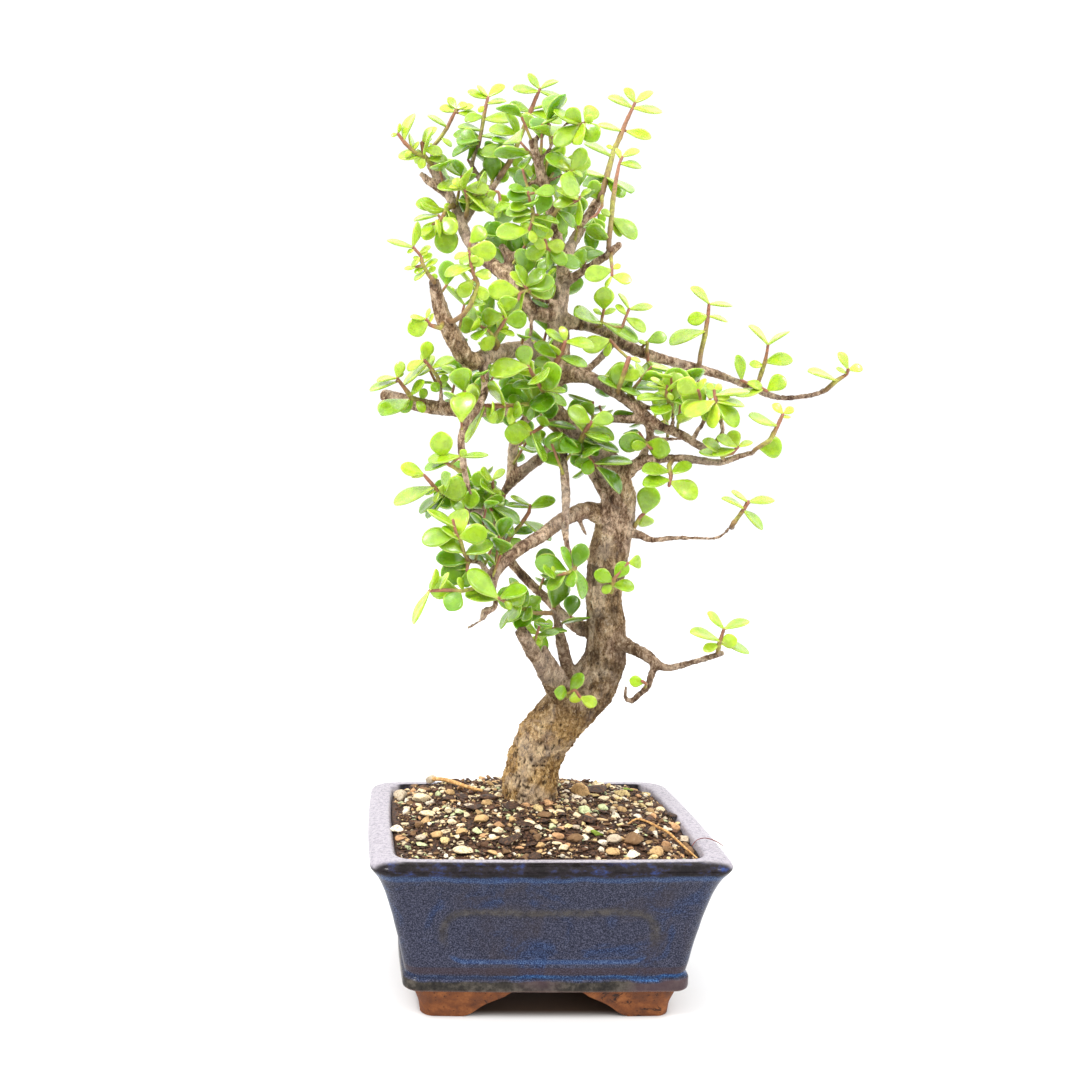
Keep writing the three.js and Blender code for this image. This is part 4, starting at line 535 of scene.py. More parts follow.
class Finish(Nodes):
    """A material with a Principled shader, and the patterns and colours it needs."""

    def __init__(self, name, specular, **numbers):
        self.material = bpy.data.materials.new(name)
        self.material.use_nodes = True
        super().__init__(self.material.node_tree)
        self.shader = self.nodes["Principled BSDF"]
        numbers["Specular_IOR_Level"] = specular
        for socket, value in numbers.items():
            self.shader.inputs[socket.replace("_", " ")].default_value = value
        self.place = self.node("TexCoord").outputs["Object"]

    def stretch(self, x, y, z):
        """Object space squeezed along each axis."""
        return self.node("Mapping", Vector=self.place, Scale=(x, y, z)).outputs["Vector"]

    def grain(self, scale, detail=3, rough=0.5, at=None, warp=0.0):
        made = self.node("TexNoise", Scale=scale, Detail=detail, Roughness=rough,
                         Distortion=warp, Vector=at or self.place)
        return made.outputs["Fac"]

    def cells(self, scale):
        return self.node("TexVoronoi", Scale=scale, Vector=self.place).outputs["Distance"]

    def blend(self, share, under, top):
        """A share of the colour `top`, which may be three numbers, over another colour."""
        return self.mix(share, under, paint(*top) if isinstance(top, tuple) else top, "RGBA")

    def over(self, under, value, low, high, most, top):
        """`top` over `under`: none of it where a value is low, a share `most` where it is high."""
        return self.blend(self.span(value, low, high, 0, most), under, top)

    def stripe(self, under, value, bounds, most, top):
        """`top` over `under` between bounds: it rises to `most` from the first, and falls to the last."""
        low, full_from, full_to, high = bounds
        return self.over(under, value, high, full_to, self.span(value, low, full_from, 0, most), top)

    def ramp(self, value, *stops):
        """A colour ramp. Each stop is a position and a colour's red, green and blue."""
        made = self.node("ValToRGB", Fac=value)
        elements = made.color_ramp.elements
        while len(elements) < len(stops):
            elements.new(0.5)
        for element, (position, *colour) in zip(elements, stops):
            element.position = position
            element.color = paint(*colour)
        return made.outputs["Color"]

    def tint(self):
        """The four tint numbers of the piece's points."""
        made = self.node("Attribute", {"attribute_name": "tint"})
        parts = self.node("SeparateColor", Color=made.outputs["Color"]).outputs
        return parts["Red"], parts["Green"], parts["Blue"], made.outputs["Alpha"]

    def measures(self):
        """Three sockets in mm: the distance from the pot's middle plane, the depth, the height."""
        split = self.node("SeparateXYZ", Vector=self.place).outputs
        x, y, z = (self.times(split[axis], 1 / MM) for axis in "XYZ")
        return self.math("ABSOLUTE", self.math("SUBTRACT", x, POT_MIDDLE_X)), y, z

    def finish(self, colour, pattern, smooth, rough, relief, depth, strength, calm=(0.3, 0.7)):
        """The material. Its roughness follows a pattern that stays within `calm`; depth is in mm."""
        self.feed(self.shader.inputs["Base Color"], colour)
        self.feed(self.shader.inputs["Roughness"], self.span(pattern, *calm, smooth, rough))
        bump = self.node("Bump", Strength=strength, Distance=depth * MM, Height=relief)
        self.feed(self.shader.inputs["Normal"], bump.outputs["Normal"])
        return self.material


print("finish helpers:", [name for name in vars(Finish) if name[0] != "_"])

# %% [markdown]
# ## The pressed panel
#
# Each wall of the pot has a panel pressed into the wet clay, less than a millimetre deep. Its
# sizes are needed for the relief in the mesh, and in the glaze, which broke brown along the
# panel's upper edge and pooled blue along its lower one. So they are named here, before both.

# %% Panel sizes in mm
PANEL_MIDDLE = 37.5
PANEL_HALF_HEIGHT = 12.5
PANEL_CORNER = 9
PANEL_HALF = {"long": 44, "short": 29}
PANEL_DEPTH = 0.75
PANEL_SLOPE = 1.8          # width of the slope down into it
SLOPE_OUTSIDE = 0.5        # how much of that slope lies outside the outline
LONG_WALL_FROM = 40        # how far from the pot's middle plane only a long wall lies
SHORT_WALL_FROM = 56


def panel_edge(u, z, half):
    """How far outside the panel's outline a wall point is, in mm; inside it is negative."""
    over_u = abs(u) - (half - PANEL_CORNER)
    over_z = abs(z - PANEL_MIDDLE) - (PANEL_HALF_HEIGHT - PANEL_CORNER)
    return math.hypot(max(over_u, 0), max(over_z, 0)) + min(max(over_u, over_z), 0) - PANEL_CORNER


print("middle of a long wall to the panel's edge:", panel_edge(0, PANEL_MIDDLE, PANEL_HALF["long"]))

# %% [markdown]
# ## Cobalt glaze
#
# The pot was dipped in a dark cobalt glaze that broke as it melted: it ran thin and brown-black over the rim,
# pooled blue in the groove above the foot band and along the panel's sill, and parted everywhere into fine
# grey, violet and blue speckles. The flat top of the rim and most of its two ends are painted pale: a painted
# reflection of the bright room in the glaze. Height decides most of this, so nodes read it.

# %% The panel's edge, found by nodes


def panel_nodes(finish, side, depth, height):
    """The panel's edge distance in mm, worked out by nodes as `panel_edge` does it."""
    y = finish.math("ABSOLUTE", depth)
    lift = finish.math("ABSOLUTE", finish.math("SUBTRACT", height, PANEL_MIDDLE))
    over_z = finish.math("SUBTRACT", lift, PANEL_HALF_HEIGHT - PANEL_CORNER)
    edges = []
    for u, other, wall_from, half in ((side, y, LONG_WALL_FROM, PANEL_HALF["long"]),
                                      (y, side, SHORT_WALL_FROM, PANEL_HALF["short"])):
        over_u = finish.math("SUBTRACT", u, half - PANEL_CORNER)
        outer = finish.node("CombineXYZ", X=finish.math("MAXIMUM", over_u, 0.0),
                            Y=finish.math("MAXIMUM", over_z, 0.0)).outputs["Vector"]
        length = finish.node("VectorMath", {"operation": "LENGTH"}, Vector=outer).outputs["Value"]
        inner = finish.math("MINIMUM", finish.math("MAXIMUM", over_u, over_z), 0.0)
        edge = finish.math("SUBTRACT", finish.plus(length, inner), PANEL_CORNER)
        far_off = finish.span(other, wall_from, wall_from - 1, 0, 1 / MM)
        edges.append(finish.plus(edge, far_off))
    return finish.math("MINIMUM", *edges)


print("ready:", panel_nodes.__name__)

# %% Parts of the glaze


def wall_glaze(finish, fine, pool, edge, ripple, height):
    """The speckled wall with its clouds, and the colours round the pressed panel."""
    wall = finish.ramp(fine, (0.4, 26, 28, 42), (0.47, 40, 42, 58), (0.53, 54, 56, 73),
                       (0.62, 82, 83, 101))
    blue = finish.ramp(fine, (0.4, 16, 23, 48), (0.5, 33, 46, 78), (0.6, 66, 84, 120))
    wall = finish.over(wall, finish.grain(42, 4, 0.62, warp=1.4), 0.48, 0.66, 0.8, blue)
    wall = finish.over(wall, finish.grain(30, 4, 0.6, warp=0.8), 0.52, 0.68, 0.4, (58, 50, 50))
    wall = finish.over(wall, finish.cells(900), 0.2, 0.05, 0.3, (26, 24, 36))
    worn = finish.plus(edge, finish.times(ripple, 0.8))
    upper = finish.span(height, PANEL_MIDDLE - 6, PANEL_MIDDLE + 4, 0, 0.62)
    thin = finish.ramp(finish.grain(240, 3, 0.6), (0.4, 50, 45, 42), (0.6, 86, 80, 70))
    wall = finish.stripe(wall, worn, (-2.2, 0.6, 1.2, 4.4), upper, thin)
    lower = finish.span(height, PANEL_MIDDLE - 7, PANEL_MIDDLE - 10, 0, 0.55)
    wall = finish.stripe(wall, edge, (-3.4, -2.0, -1.2, -0.2), lower, pool)
    return finish.stripe(wall, height, (20.2, 21.5, 23.6, 24.6), 0.55, (62, 48, 50))


def rim_glaze(finish, fine):
    """The near-black face of the rim, with cobalt where the glaze ran thick."""
    streak = finish.grain(330, 4, 0.7, at=finish.stretch(0.5, 0.5, 1))
    rim = finish.ramp(streak, (0.42, 22, 18, 20), (0.54, 36, 31, 34), (0.64, 42, 46, 74),
                      (0.76, 50, 72, 132))
    cobalt = finish.span(finish.grain(52, 2, 0.5), 0.6, 0.72, 0, 0.7)
    return finish.over(rim, fine, 0.42, 0.58, cobalt, (34, 58, 140))


def painted_rim_reflection(finish, side, depth, height):
    """A painted reflection of the bright room on the rim: its share on the flat top and on the two ends short
    of the front, and its pale colour.
    """
    pale = finish.ramp(finish.grain(700, 3, 0.7), (0.32, 126, 121, 130), (0.55, 160, 154, 161))
    pale = finish.over(pale, finish.cells(150), 0.09, 0.0, 0.7, (60, 56, 74))
    ends = finish.times(finish.span(side, 60, 63), finish.span(height, 70.2, 71.6))
    ends = finish.times(ends, finish.span(depth, -55.5, -52))
    return finish.math("MAXIMUM", ends, finish.span(height, 73.75, 73.98)), pale


def foot_band(finish):
    """The brown-olive band at the foot of the wall, rosy in places."""
    band = finish.ramp(finish.grain(260, 4, 0.65), (0.36, 34, 31, 29), (0.5, 52, 48, 43),
                       (0.64, 80, 74, 67))
    return finish.over(band, finish.grain(18, 2), 0.48, 0.62, 0.7, (78, 60, 65))


print("ready:", wall_glaze.__name__, rim_glaze.__name__, painted_rim_reflection.__name__, foot_band.__name__)

# %% Cobalt glaze


def glaze():
    finish = Finish("cobalt_glaze", 0.06, Coat_Weight=0.11, Coat_Roughness=0.05)
    side, depth, height = finish.measures()
    fine = finish.grain(1900, 2, 0.75)
    ripple = finish.span(finish.grain(60, 3), 0.3, 0.7, 0, 1.4)
    wavy = finish.plus(height, ripple)
    pool = finish.ramp(fine, (0.36, 28, 42, 84), (0.52, 48, 76, 122), (0.66, 92, 122, 160))
    wall = wall_glaze(finish, fine, pool, panel_nodes(finish, side, depth, height), ripple, height)
    colour = finish.over(wall, wavy, 66.8, 69.0, 1, rim_glaze(finish, fine))
    colour = finish.stripe(colour, wavy, (66.0, 67.4, 68.4, 70.0), 0.55, pool)
    # Painted reflection: the rim's flat top and its two ends are painted pale, as the bright room mirrored in
    # the glaze.
    rim_reflection_share, pale = painted_rim_reflection(finish, side, depth, height)
    colour = finish.blend(rim_reflection_share, colour, pale)
    bright = finish.ramp(fine, (0.38, 22, 40, 82), (0.52, 38, 76, 126), (0.64, 80, 124, 172))
    along = finish.span(finish.grain(16, 2), 0.4, 0.58, 0.25, 0.95)
    colour = finish.stripe(colour, wavy, (19.0, 19.6, 20.3, 21.5), along, bright)
    colour = finish.stripe(colour, height, (18.3, 18.8, 19.3, 19.9), 0.6, (20, 22, 38))
    band = finish.over(foot_band(finish), height, 14.5, 12.8, 0.6, (138, 108, 98))
    colour = finish.over(colour, wavy, 19.0, 18.1, 1, band)
    relief = finish.plus(finish.grain(900, 3, 0.6), finish.grain(90, 2))
    return finish.finish(colour, fine, 0.16, 0.34, relief, 0.14, 0.4)


GLAZE = glaze()
print("finish:", GLAZE.name)

# %% [markdown]
# ## Bare clay
#
# The feet and the underside were wiped clean before the firing, so they show the orange-brown
# clay, dotted with small pits and smudged black where glaze or ash touched it.

# %% Bare clay


def bare_clay():
    finish = Finish("bare_clay", 0.25)
    body = finish.grain(160, 4, 0.65)
    colour = finish.ramp(body, (0.3, 84, 47, 26), (0.5, 117, 67, 36), (0.7, 148, 92, 53))
    colour = finish.over(colour, finish.grain(110, 6, 0.75, warp=1.2), 0.55, 0.62, 0.92, (38, 25, 20))
    colour = finish.over(colour, finish.cells(420), 0.2, 0.05, 0.8, (46, 27, 20))
    relief = finish.plus(body, finish.grain(1400, 2, 0.7))
    return finish.finish(colour, body, 0.62, 0.85, relief, 0.4, 0.6)


CLAY = bare_clay()
print("finish:", CLAY.name)

# %% [markdown]
# ## The pot
#
# A slab-built pot is the same rounded rectangle at every height, a little smaller or larger.
# So the body is a loft: one plan ring, repeated along a profile that goes up the flared wall,
# over the rolled rim and down inside. The profile's corners are short arcs, because glaze
# never leaves a sharp edge. The outer wall gets a ring every millimetre or so, so that the
# panel can be real relief.

# %% Plan ring
POT_LENGTH = 150
POT_DEPTH = 115
POT_HEIGHT = 74
BASE_TOP = 19
FOOT_HEIGHT = 13
DRAIN_HOLE_X = 34
DRAIN_HOLE_RADIUS = 7
PLAN_CORNER = 9
BOW = {"x": 1.6, "y": 1.0}     # how far the sides bulge at their middle
CORNER_STEPS = 14
WALL_SIDE_STEPS = 104


def pot_ring(inset, z, corner_steps=CORNER_STEPS, side_steps=18, narrower=0.0):
    """A rounded rectangle `inset` inside the rim line, with gently bowed sides."""
    half_x, half_y = POT_LENGTH / 2 - inset - narrower, POT_DEPTH / 2 - inset
    corner = max(PLAN_CORNER - 0.18 * inset, 1)
    flat = []
    for quarter, (sx, sy) in enumerate(((1, 1), (-1, 1), (-1, -1), (1, -1))):
        centre = (sx * (half_x - corner), sy * (half_y - corner))
        for k in range(corner_steps + 1):
            angle = math.pi / 2 * (quarter + k / corner_steps)
            flat.append((centre[0] + corner * math.cos(angle), centre[1] + corner * math.sin(angle)))
        run = half_x - corner if quarter % 2 == 0 else half_y - corner
        for k in range(1, side_steps):
            t = run * (1 - 2 * k / side_steps)
            flat.append(((sx * t, sy * half_y), (sx * half_x, sy * t))[quarter % 2])
    ring = []
    for x, y in flat:
        bowed_x = x + math.copysign(BOW["x"] * (1 - (y / half_y) ** 2), x)
        bowed_y = y + math.copysign(BOW["y"] * (1 - (x / half_x) ** 2), y)
        ring.append(Vector((bowed_x, bowed_y, z)))
    return ring


print("points in a plan ring:", len(pot_ring(0, 0)))

# %% Profile
EDGE_ROUND = 1.4           # radius of the arcs on the profile
RING_GAP = 1.1             # the most between two rings of the outer wall


def eased(profile, radius, steps=3):
    """A profile with each inner corner cut by a short arc."""
    made = [profile[0]]
    for before, here, after in zip(profile, profile[1:], profile[2:]):
        here, before, after = Vector(here), Vector(before), Vector(after)
        reach = min(radius, (before - here).length * 0.45, (after - here).length * 0.45)
        start = here + (before - here).normalized() * reach
        end = here + (after - here).normalized() * reach
        for k in range(steps + 1):
            t = k / steps
            made.append(tuple(start * (1 - t) ** 2 + here * 2 * t * (1 - t) + end * t**2))
    return made + [profile[-1]]


def split_long(profile, longest):
    """A profile with points added wherever a stretch is longer than `longest`."""
    made = [profile[0]]
    for (a, za), (b, zb) in zip(profile, profile[1:]):
        parts = math.ceil(math.hypot(b - a, zb - za) / longest)
        made += [(a + (b - a) * k / parts, za + (zb - za) * k / parts) for k in range(1, parts + 1)]
    return made


WALL = [(13.9, 25), (13.0, 30), (12.0, 35), (10.8, 40), (9.5, 46), (8.0, 51.5), (6.3, 57.5), (4.4, 62.5)]
RIM = [(3.1, 65.2), (1.9, 67.1), (0.8, 68.7), (0.1, 70.0), (0, 70.9), (0.4, 71.9), (1.3, 72.9), (2.9, 73.6),
       (4.8, POT_HEIGHT)]
OUTSIDE = [(15.8, 13.0), (14, 13.3), (13.9, 18.1), (15.3, 19.1), (14.8, 20.8)] + WALL + RIM
INSIDE = [(7.0, POT_HEIGHT), (8.0, 73.4), (8.8, 71.5), (10.2, 66), (13.2, 54), (18.2, 31), (20.4, BASE_TOP)]

RIM_CREST = RIM[-1][0]
SIDE_RIM_WIDER = 2.2       # how much wider the rim is at the two ends
profile = eased(OUTSIDE + INSIDE, EDGE_ROUND)
rim_top = next(k for k, (inset, z) in enumerate(profile) if z > POT_HEIGHT - 0.2)
outer = split_long(profile[:rim_top], RING_GAP)
profile, rim_top = outer + profile[rim_top:], len(outer)
print("profile points:", len(profile))

# %% Loft the body and cut the drain holes


def worked(piece):
    """A piece with its modifiers carried out in its mesh."""
    mesh = bpy.data.meshes.new_from_object(piece.evaluated_get(bpy.context.evaluated_depsgraph_get()))
    piece.modifiers.clear()
    piece.data = mesh
    return piece


def combined(base, others, operation):
    """The base solid after a boolean with each other solid, which is then removed."""
    for other in others:
        step = base.modifiers.new("cut", "BOOLEAN")
        step.object = other
        step.operation = operation
        step.solver = "EXACT"
        worked(base)
        bpy.data.objects.remove(other)
    return base


def drum(x, low, high, radius):
    return loft([[Vector((x + radius * cos, radius * sin, z)) for cos, sin in circle(48)]
                 for z in (low, high)])


def pressed(ring):
    """A ring of the wall with its points inside a panel pushed in."""
    for point in ring:
        long_wall = abs(point.y) > LONG_WALL_FROM
        if not long_wall and abs(point.x) < SHORT_WALL_FROM:
            continue
        edge = panel_edge(point.x, point.z, PANEL_HALF["long"]) if long_wall else 1
        if abs(point.x) > SHORT_WALL_FROM:
            edge = min(edge, panel_edge(point.y, point.z, PANEL_HALF["short"]))
        share = min(max((SLOPE_OUTSIDE - edge) / PANEL_SLOPE, 0), 1)
        push = PANEL_DEPTH * share * share * (3 - 2 * share)
        if long_wall and abs(point.x) < SHORT_WALL_FROM:
            point.y -= math.copysign(push, point.y)
        else:
            point.x -= math.copysign(push, point.x)
    return ring


PRESSED_FROM, PRESSED_TO = 22, 56      # heights between which the panels lie
CUT_FROM, CUT_TO = 5, 30               # heights between which the drain holes are cut
rings = []
for k, (inset, z) in enumerate(profile):
    wider = min(max(inset - RIM_CREST, 0), SIDE_RIM_WIDER) if k > rim_top else 0
    ring = pot_ring(inset, z, CORNER_STEPS, WALL_SIDE_STEPS, wider)
    rings.append(pressed(ring) if PRESSED_FROM < z < PRESSED_TO else ring)
body = new_object("pot_body", *loft(rings))
holes = [new_object("hole", *drum(x, CUT_FROM, CUT_TO, DRAIN_HOLE_RADIUS))
         for x in (-DRAIN_HOLE_X, DRAIN_HOLE_X)]
body = combined(body, holes, "DIFFERENCE")
print("pot body:", triangles(body), "triangles")

# %% [markdown]
# ## The feet
#
# Each foot is two cut-out brackets that meet at a corner, like the feet of a small chest. A
# bracket is one outline given a thickness. The pair is then trimmed to a tapering block that
# follows the pot's plan, which is how the potter's sponge rounded them.

# %% Cut four feet
SCROLL = [(2.42, 0), (2.24, 0.1), (2.05, 2.2), (1.9, 4.2), (1.66, 7.0), (1.45, 8.2), (1.2, 10.3),
          (1.1, 11.6), (1.02, 12.5), (0.97, FOOT_HEIGHT)]  # a foot's inner edge, as shares of its inner end
BURIED = 2             # how far a foot reaches up into the pot
BRACKET_THICKNESS = 9
FOOT_TAPER = [(19, 0), (18.4, 5), (15.6, 12.5), (15, 16.2)]
FOOT_PLAN_LENGTH = 0.955       # the feet's plan beside the pot's, along the pot


def curve(a, b, c, d, steps=8):
    """Points on a Bezier curve, without its first."""
    a, b, c, d = map(Vector, (a, b, c, d))
    ts = [k / steps for k in range(1, steps + 1)]
    return [tuple(a * (1 - t)**3 + b * 3 * t * (1 - t)**2 + c * 3 * t * t * (1 - t) + d * t**3) for t in ts]


def bracket(outer, inner, near, along_x):
    """A bracket from its outer end in to the middle, as a slab whose near side is at `near`."""
    knots = [(inner * share, z) for share, z in SCROLL]
    outline = [(outer, FOOT_HEIGHT + BURIED), (outer, 0), knots[0]]
    for k in (0, 3, 6):
        outline += curve(*knots[k:k + 4])
    outline.append((knots[-1][0], FOOT_HEIGHT + BURIED))
    rings = [[Vector((u, w, z)) if along_x else Vector((w, u, z)) for u, z in outline]
             for w in (near, near + BRACKET_THICKNESS)]
    return loft(rings[::-1] if along_x else rings)


def foot(sx, sy):
    rings = [pot_ring(inset, z) for inset, z in eased(FOOT_TAPER, 1.5)]
    for point in itertools.chain(*rings):
        point.x *= FOOT_PLAN_LENGTH
    made = new_object("foot", *bracket(58, 15, 34, True))
    made = combined(made, [new_object("side", *bracket(46, 12, 43, False))], "UNION")
    made = combined(made, [new_object("outline", *loft(rings))], "INTERSECT")
    for vertex in made.data.vertices:
        vertex.co.x *= sx
        vertex.co.y *= sy
    if sx * sy < 0:
        made.data.flip_normals()
    return made


feet = [foot(sx, sy) for sx, sy in ((1, 1), (-1, 1), (-1, -1), (1, -1))]
print("one foot:", triangles(feet[0]), "triangles")

# %% Finish the pot


def settle(piece):
    """Move a solid drawn in millimetres into the row frame."""
    for vertex in piece.data.vertices:
        vertex.co = (vertex.co + Vector((POT_MIDDLE_X, 0, 0))) * MM
    piece.data.update()


def soften(piece, width, angle):
    """Round a piece's sharp edges, and shade it smooth."""
    edges = piece.modifiers.new("edges", "BEVEL")
    edges.width = width * MM
    edges.segments = 2
    edges.limit_method = "ANGLE"
    edges.angle_limit = math.radians(angle)
    worked(piece).data.shade_smooth()


GLAZE_STARTS = 13.2 * MM
SHARP_FROM = math.radians(50)
settle(body)
dress(body, GLAZE, CLAY)
for face in body.data.polygons:
    face.material_index = 1 if face.center.z < GLAZE_STARTS or face.normal.z < -0.9 else 0
body.data.shade_smooth()
body.data.set_sharp_from_angle(angle=SHARP_FROM)
seat(body, "pot")
for number, piece in enumerate(feet, 1):
    settle(piece)
    soften(piece, 0.7, 40)
    piece.name = f"pot_foot_{number}"
    dress(piece, CLAY)
    seat(piece, "pot")
print("feet:", [piece.name for piece in feet])

# %% [markdown]
# ## Bark
#
# The bark tells the limb's age. At the foot it is thick, corky and ochre, split in flakes. A hand higher it
# is grey-brown with ring-shaped creases, the old scars of leaf pairs. Thin twigs are smooth and purple-brown.
# So the mesh carries three numbers in its tint, how thick the limb is, how near the foot, and how far a ring
# scar or a hollow between flakes darkens it, and the nodes mix from those. The darkening in the hollows is
# painted shade, as is a darker band part way up the trunk.

# %% Bark finish


def bark():
    finish = Finish("bark", 0.15)
    thick, foot, scar_and_hollow_shade, _ = finish.tint()
    flakes = finish.grain(270, 8, 0.78, at=finish.stretch(1, 1, 0.5), warp=0.4)
    crumbs = finish.grain(900, 6, 0.8, at=finish.stretch(1, 1, 0.7), warp=0.2)
    blotch = finish.grain(42, 4, 0.6, warp=0.8)
    old = finish.ramp(flakes, (0.37, 72, 50, 30), (0.45, 146, 110, 64), (0.53, 196, 156, 98),
                      (0.62, 244, 212, 156))
    middle = finish.ramp(flakes, (0.37, 62, 45, 32), (0.46, 140, 110, 77), (0.55, 204, 172, 132),
                         (0.63, 252, 232, 204))
    twig = finish.ramp(flakes, (0.38, 76, 54, 42), (0.48, 144, 112, 88), (0.57, 226, 196, 168))
    colour = finish.over(middle, foot, 0.3, 0.75, 1, old)
    colour = finish.over(colour, thick, 0.5, 0.2, 1, twig)
    colour = finish.over(colour, blotch, 0.48, 0.62, 0.36, (236, 218, 196))
    colour = finish.over(colour, finish.grain(30, 3, 0.5, warp=0.5), 0.5, 0.64, 0.35, (128, 100, 94))
    # Painted shade: a darker brown band round the trunk part way up, about its bend.
    shade = finish.span(blotch, 0.62, 0.4, 0.21, 0.6)
    colour = finish.stripe(colour, foot, (0.12, 0.34, 0.55, 0.72), shade, (74, 56, 40))
    colour = finish.over(colour, crumbs, 0.48, 0.4, 0.6, (48, 34, 24))
    colour = finish.over(colour, crumbs, 0.55, 0.64, 0.5, (244, 222, 186))
    # Ring scars, and painted shade in the hollows between flakes, darken the bark here.
    colour = finish.over(colour, scar_and_hollow_shade, 0.3, 0.8, 0.8, (44, 31, 22))
    relief = finish.plus(flakes, finish.times(crumbs, 0.7))
    return finish.finish(colour, crumbs, 0.7, 0.92, relief, 1.6, 1.0)


BARK = bark()
print("finish:", BARK.name)

# %% [markdown]
# ## One skin over all the limbs
#
# Fifty-one tubes that only cross each other look like pipework, with a hard line at every
# fork. A voxel remesh swallows them all and grows one skin over the lot, and a little
# smoothing then fills the forks as real wood does. The flakes that come later make the limbs
# look thicker, so the tubes start a little thin.

# %% Remesh the limbs
VOXEL = 0.85
THINNER = 0.1          # taken off each tube's radius, in mm
SMOOTHING = 3

wood = Heap()
for name, drawn in LIMBS.items():
    route = [(at, radius - THINNER) for at, radius in route_of(drawn, 0.7, least=1.2)]
    wood.add(*tube(route, 20 if name == "trunk" else 12, cap=0.5), (0, 0, 0, 1))
tree = new_object("tree_wood", wood.points, wood.faces)
skin = tree.modifiers.new("skin", "REMESH")
skin.mode = "VOXEL"
skin.voxel_size = VOXEL
ease = tree.modifiers.new("ease", "SMOOTH")
ease.factor = 0.5
ease.iterations = SMOOTHING
mesh = worked(tree).data
print("wood skin:", len(mesh.vertices), "points,", triangles(tree), "triangles")

# %% [markdown]
# ## Flakes and creases in the mesh
#
# The bigger forms of the bark are real relief. For each point of the skin, the nearest place
# on a limb's route tells how far along the limb it is and how thick the limb is. Noise
# stretched along the trunk then lifts flakes near the foot, and noise that runs only along the
# limb cuts rings round it.

# %% Find each point's limb
axis_points = []
for number, (name, drawn) in enumerate(LIMBS.items()):
    route = route_of(drawn, 0.5, least=0.8)
    along = 0.0
    for k, (at, radius) in enumerate(route):
        along += (at - route[k - 1][0]).length if k else 0.0
        axis_points.append((at, radius, along, number))
tree_map = kdtree.KDTree(len(axis_points))
for k, (at, *_) in enumerate(axis_points):
    tree_map.insert(at, k)
tree_map.balance()
print("places on limb routes:", len(axis_points))

# %% Raise the relief
FOOT_FLAKE = 1.1       # how far flakes stand out at the foot, in mm
LIMB_FLAKE = 0.5
RING_DEPTH = 0.4
RING_PITCH = 3.4       # mean distance between creases, in mm
FOOT_TOP = 190         # the height where the foot's bark ends, after fading over FOOT_FADE
FOOT_FADE = 110
THICK = 10             # the radius from which a limb has the full relief

normals = np.zeros(len(mesh.vertices) * 3, np.float32)
mesh.vertices.foreach_get("normal", normals)
normals = normals.reshape(-1, 3)
tints = []
moved = []
for vertex, normal in zip(mesh.vertices, normals):
    at = vertex.co
    _, k, _ = tree_map.find(at)
    _, radius, along, number = axis_points[k]
    foot = min(max((FOOT_TOP - at.z) / FOOT_FADE, 0), 1)
    thick = min(radius / THICK, 1)
    low = Vector((at.x, at.y, at.z * 0.55))
    flake = noise.noise(low * 0.34) + 0.55 * noise.noise(low * 0.8) + 0.3 * noise.noise(at * 1.5)
    flake += 0.5 - 2.2 * abs(noise.noise(low * 0.9 + Vector((9, 0, 0))))
    flake = flake * (LIMB_FLAKE + (FOOT_FLAKE - LIMB_FLAKE) * foot) * (0.25 + 0.75 * thick)
    wander = 0.9 * noise.noise(Vector((at.x * 0.2, at.y * 0.2, number * 7.7)))
    wave = noise.noise(Vector(((along + wander) / RING_PITCH * 1.6, number * 3.1, 0)))
    ring = max(0.0, 1 - abs(wave) * 7)
    bite = ring * RING_DEPTH * (0.35 + 0.65 * thick) * (1 - 0.75 * foot)
    moved.append(at + Vector(normal) * (flake - bite))
    # The third tint number: the ring scars, and painted shade for the hollows between flakes.
    scar = ring * (0.35 + 0.45 * thick) * (1 - 0.7 * foot)
    tints.append((thick, foot, max(scar, min(max(-flake * 0.9, 0), 1)), 1))
for vertex, at in zip(mesh.vertices, moved):
    vertex.co = at
tint_mesh(mesh, tints)
settle(tree)
dress(tree, BARK)
mesh.shade_smooth()
seat(tree, "trunk_and_branches")
print("wood:", triangles(tree), "triangles, height in mm:", round(tree.dimensions.z / MM))

# %% [markdown]
# ## Leafy stems
#
# The green part is fifty-four short stems, with one to sixteen drawn leaves each. A stem is a
# route, as a limb is, and may have side twigs. A leaf is only a line and a width: where it
# joins the stem, how far off its tip is, and how broad it looks. How it must lie in space to
# look so from the front is worked out further on.

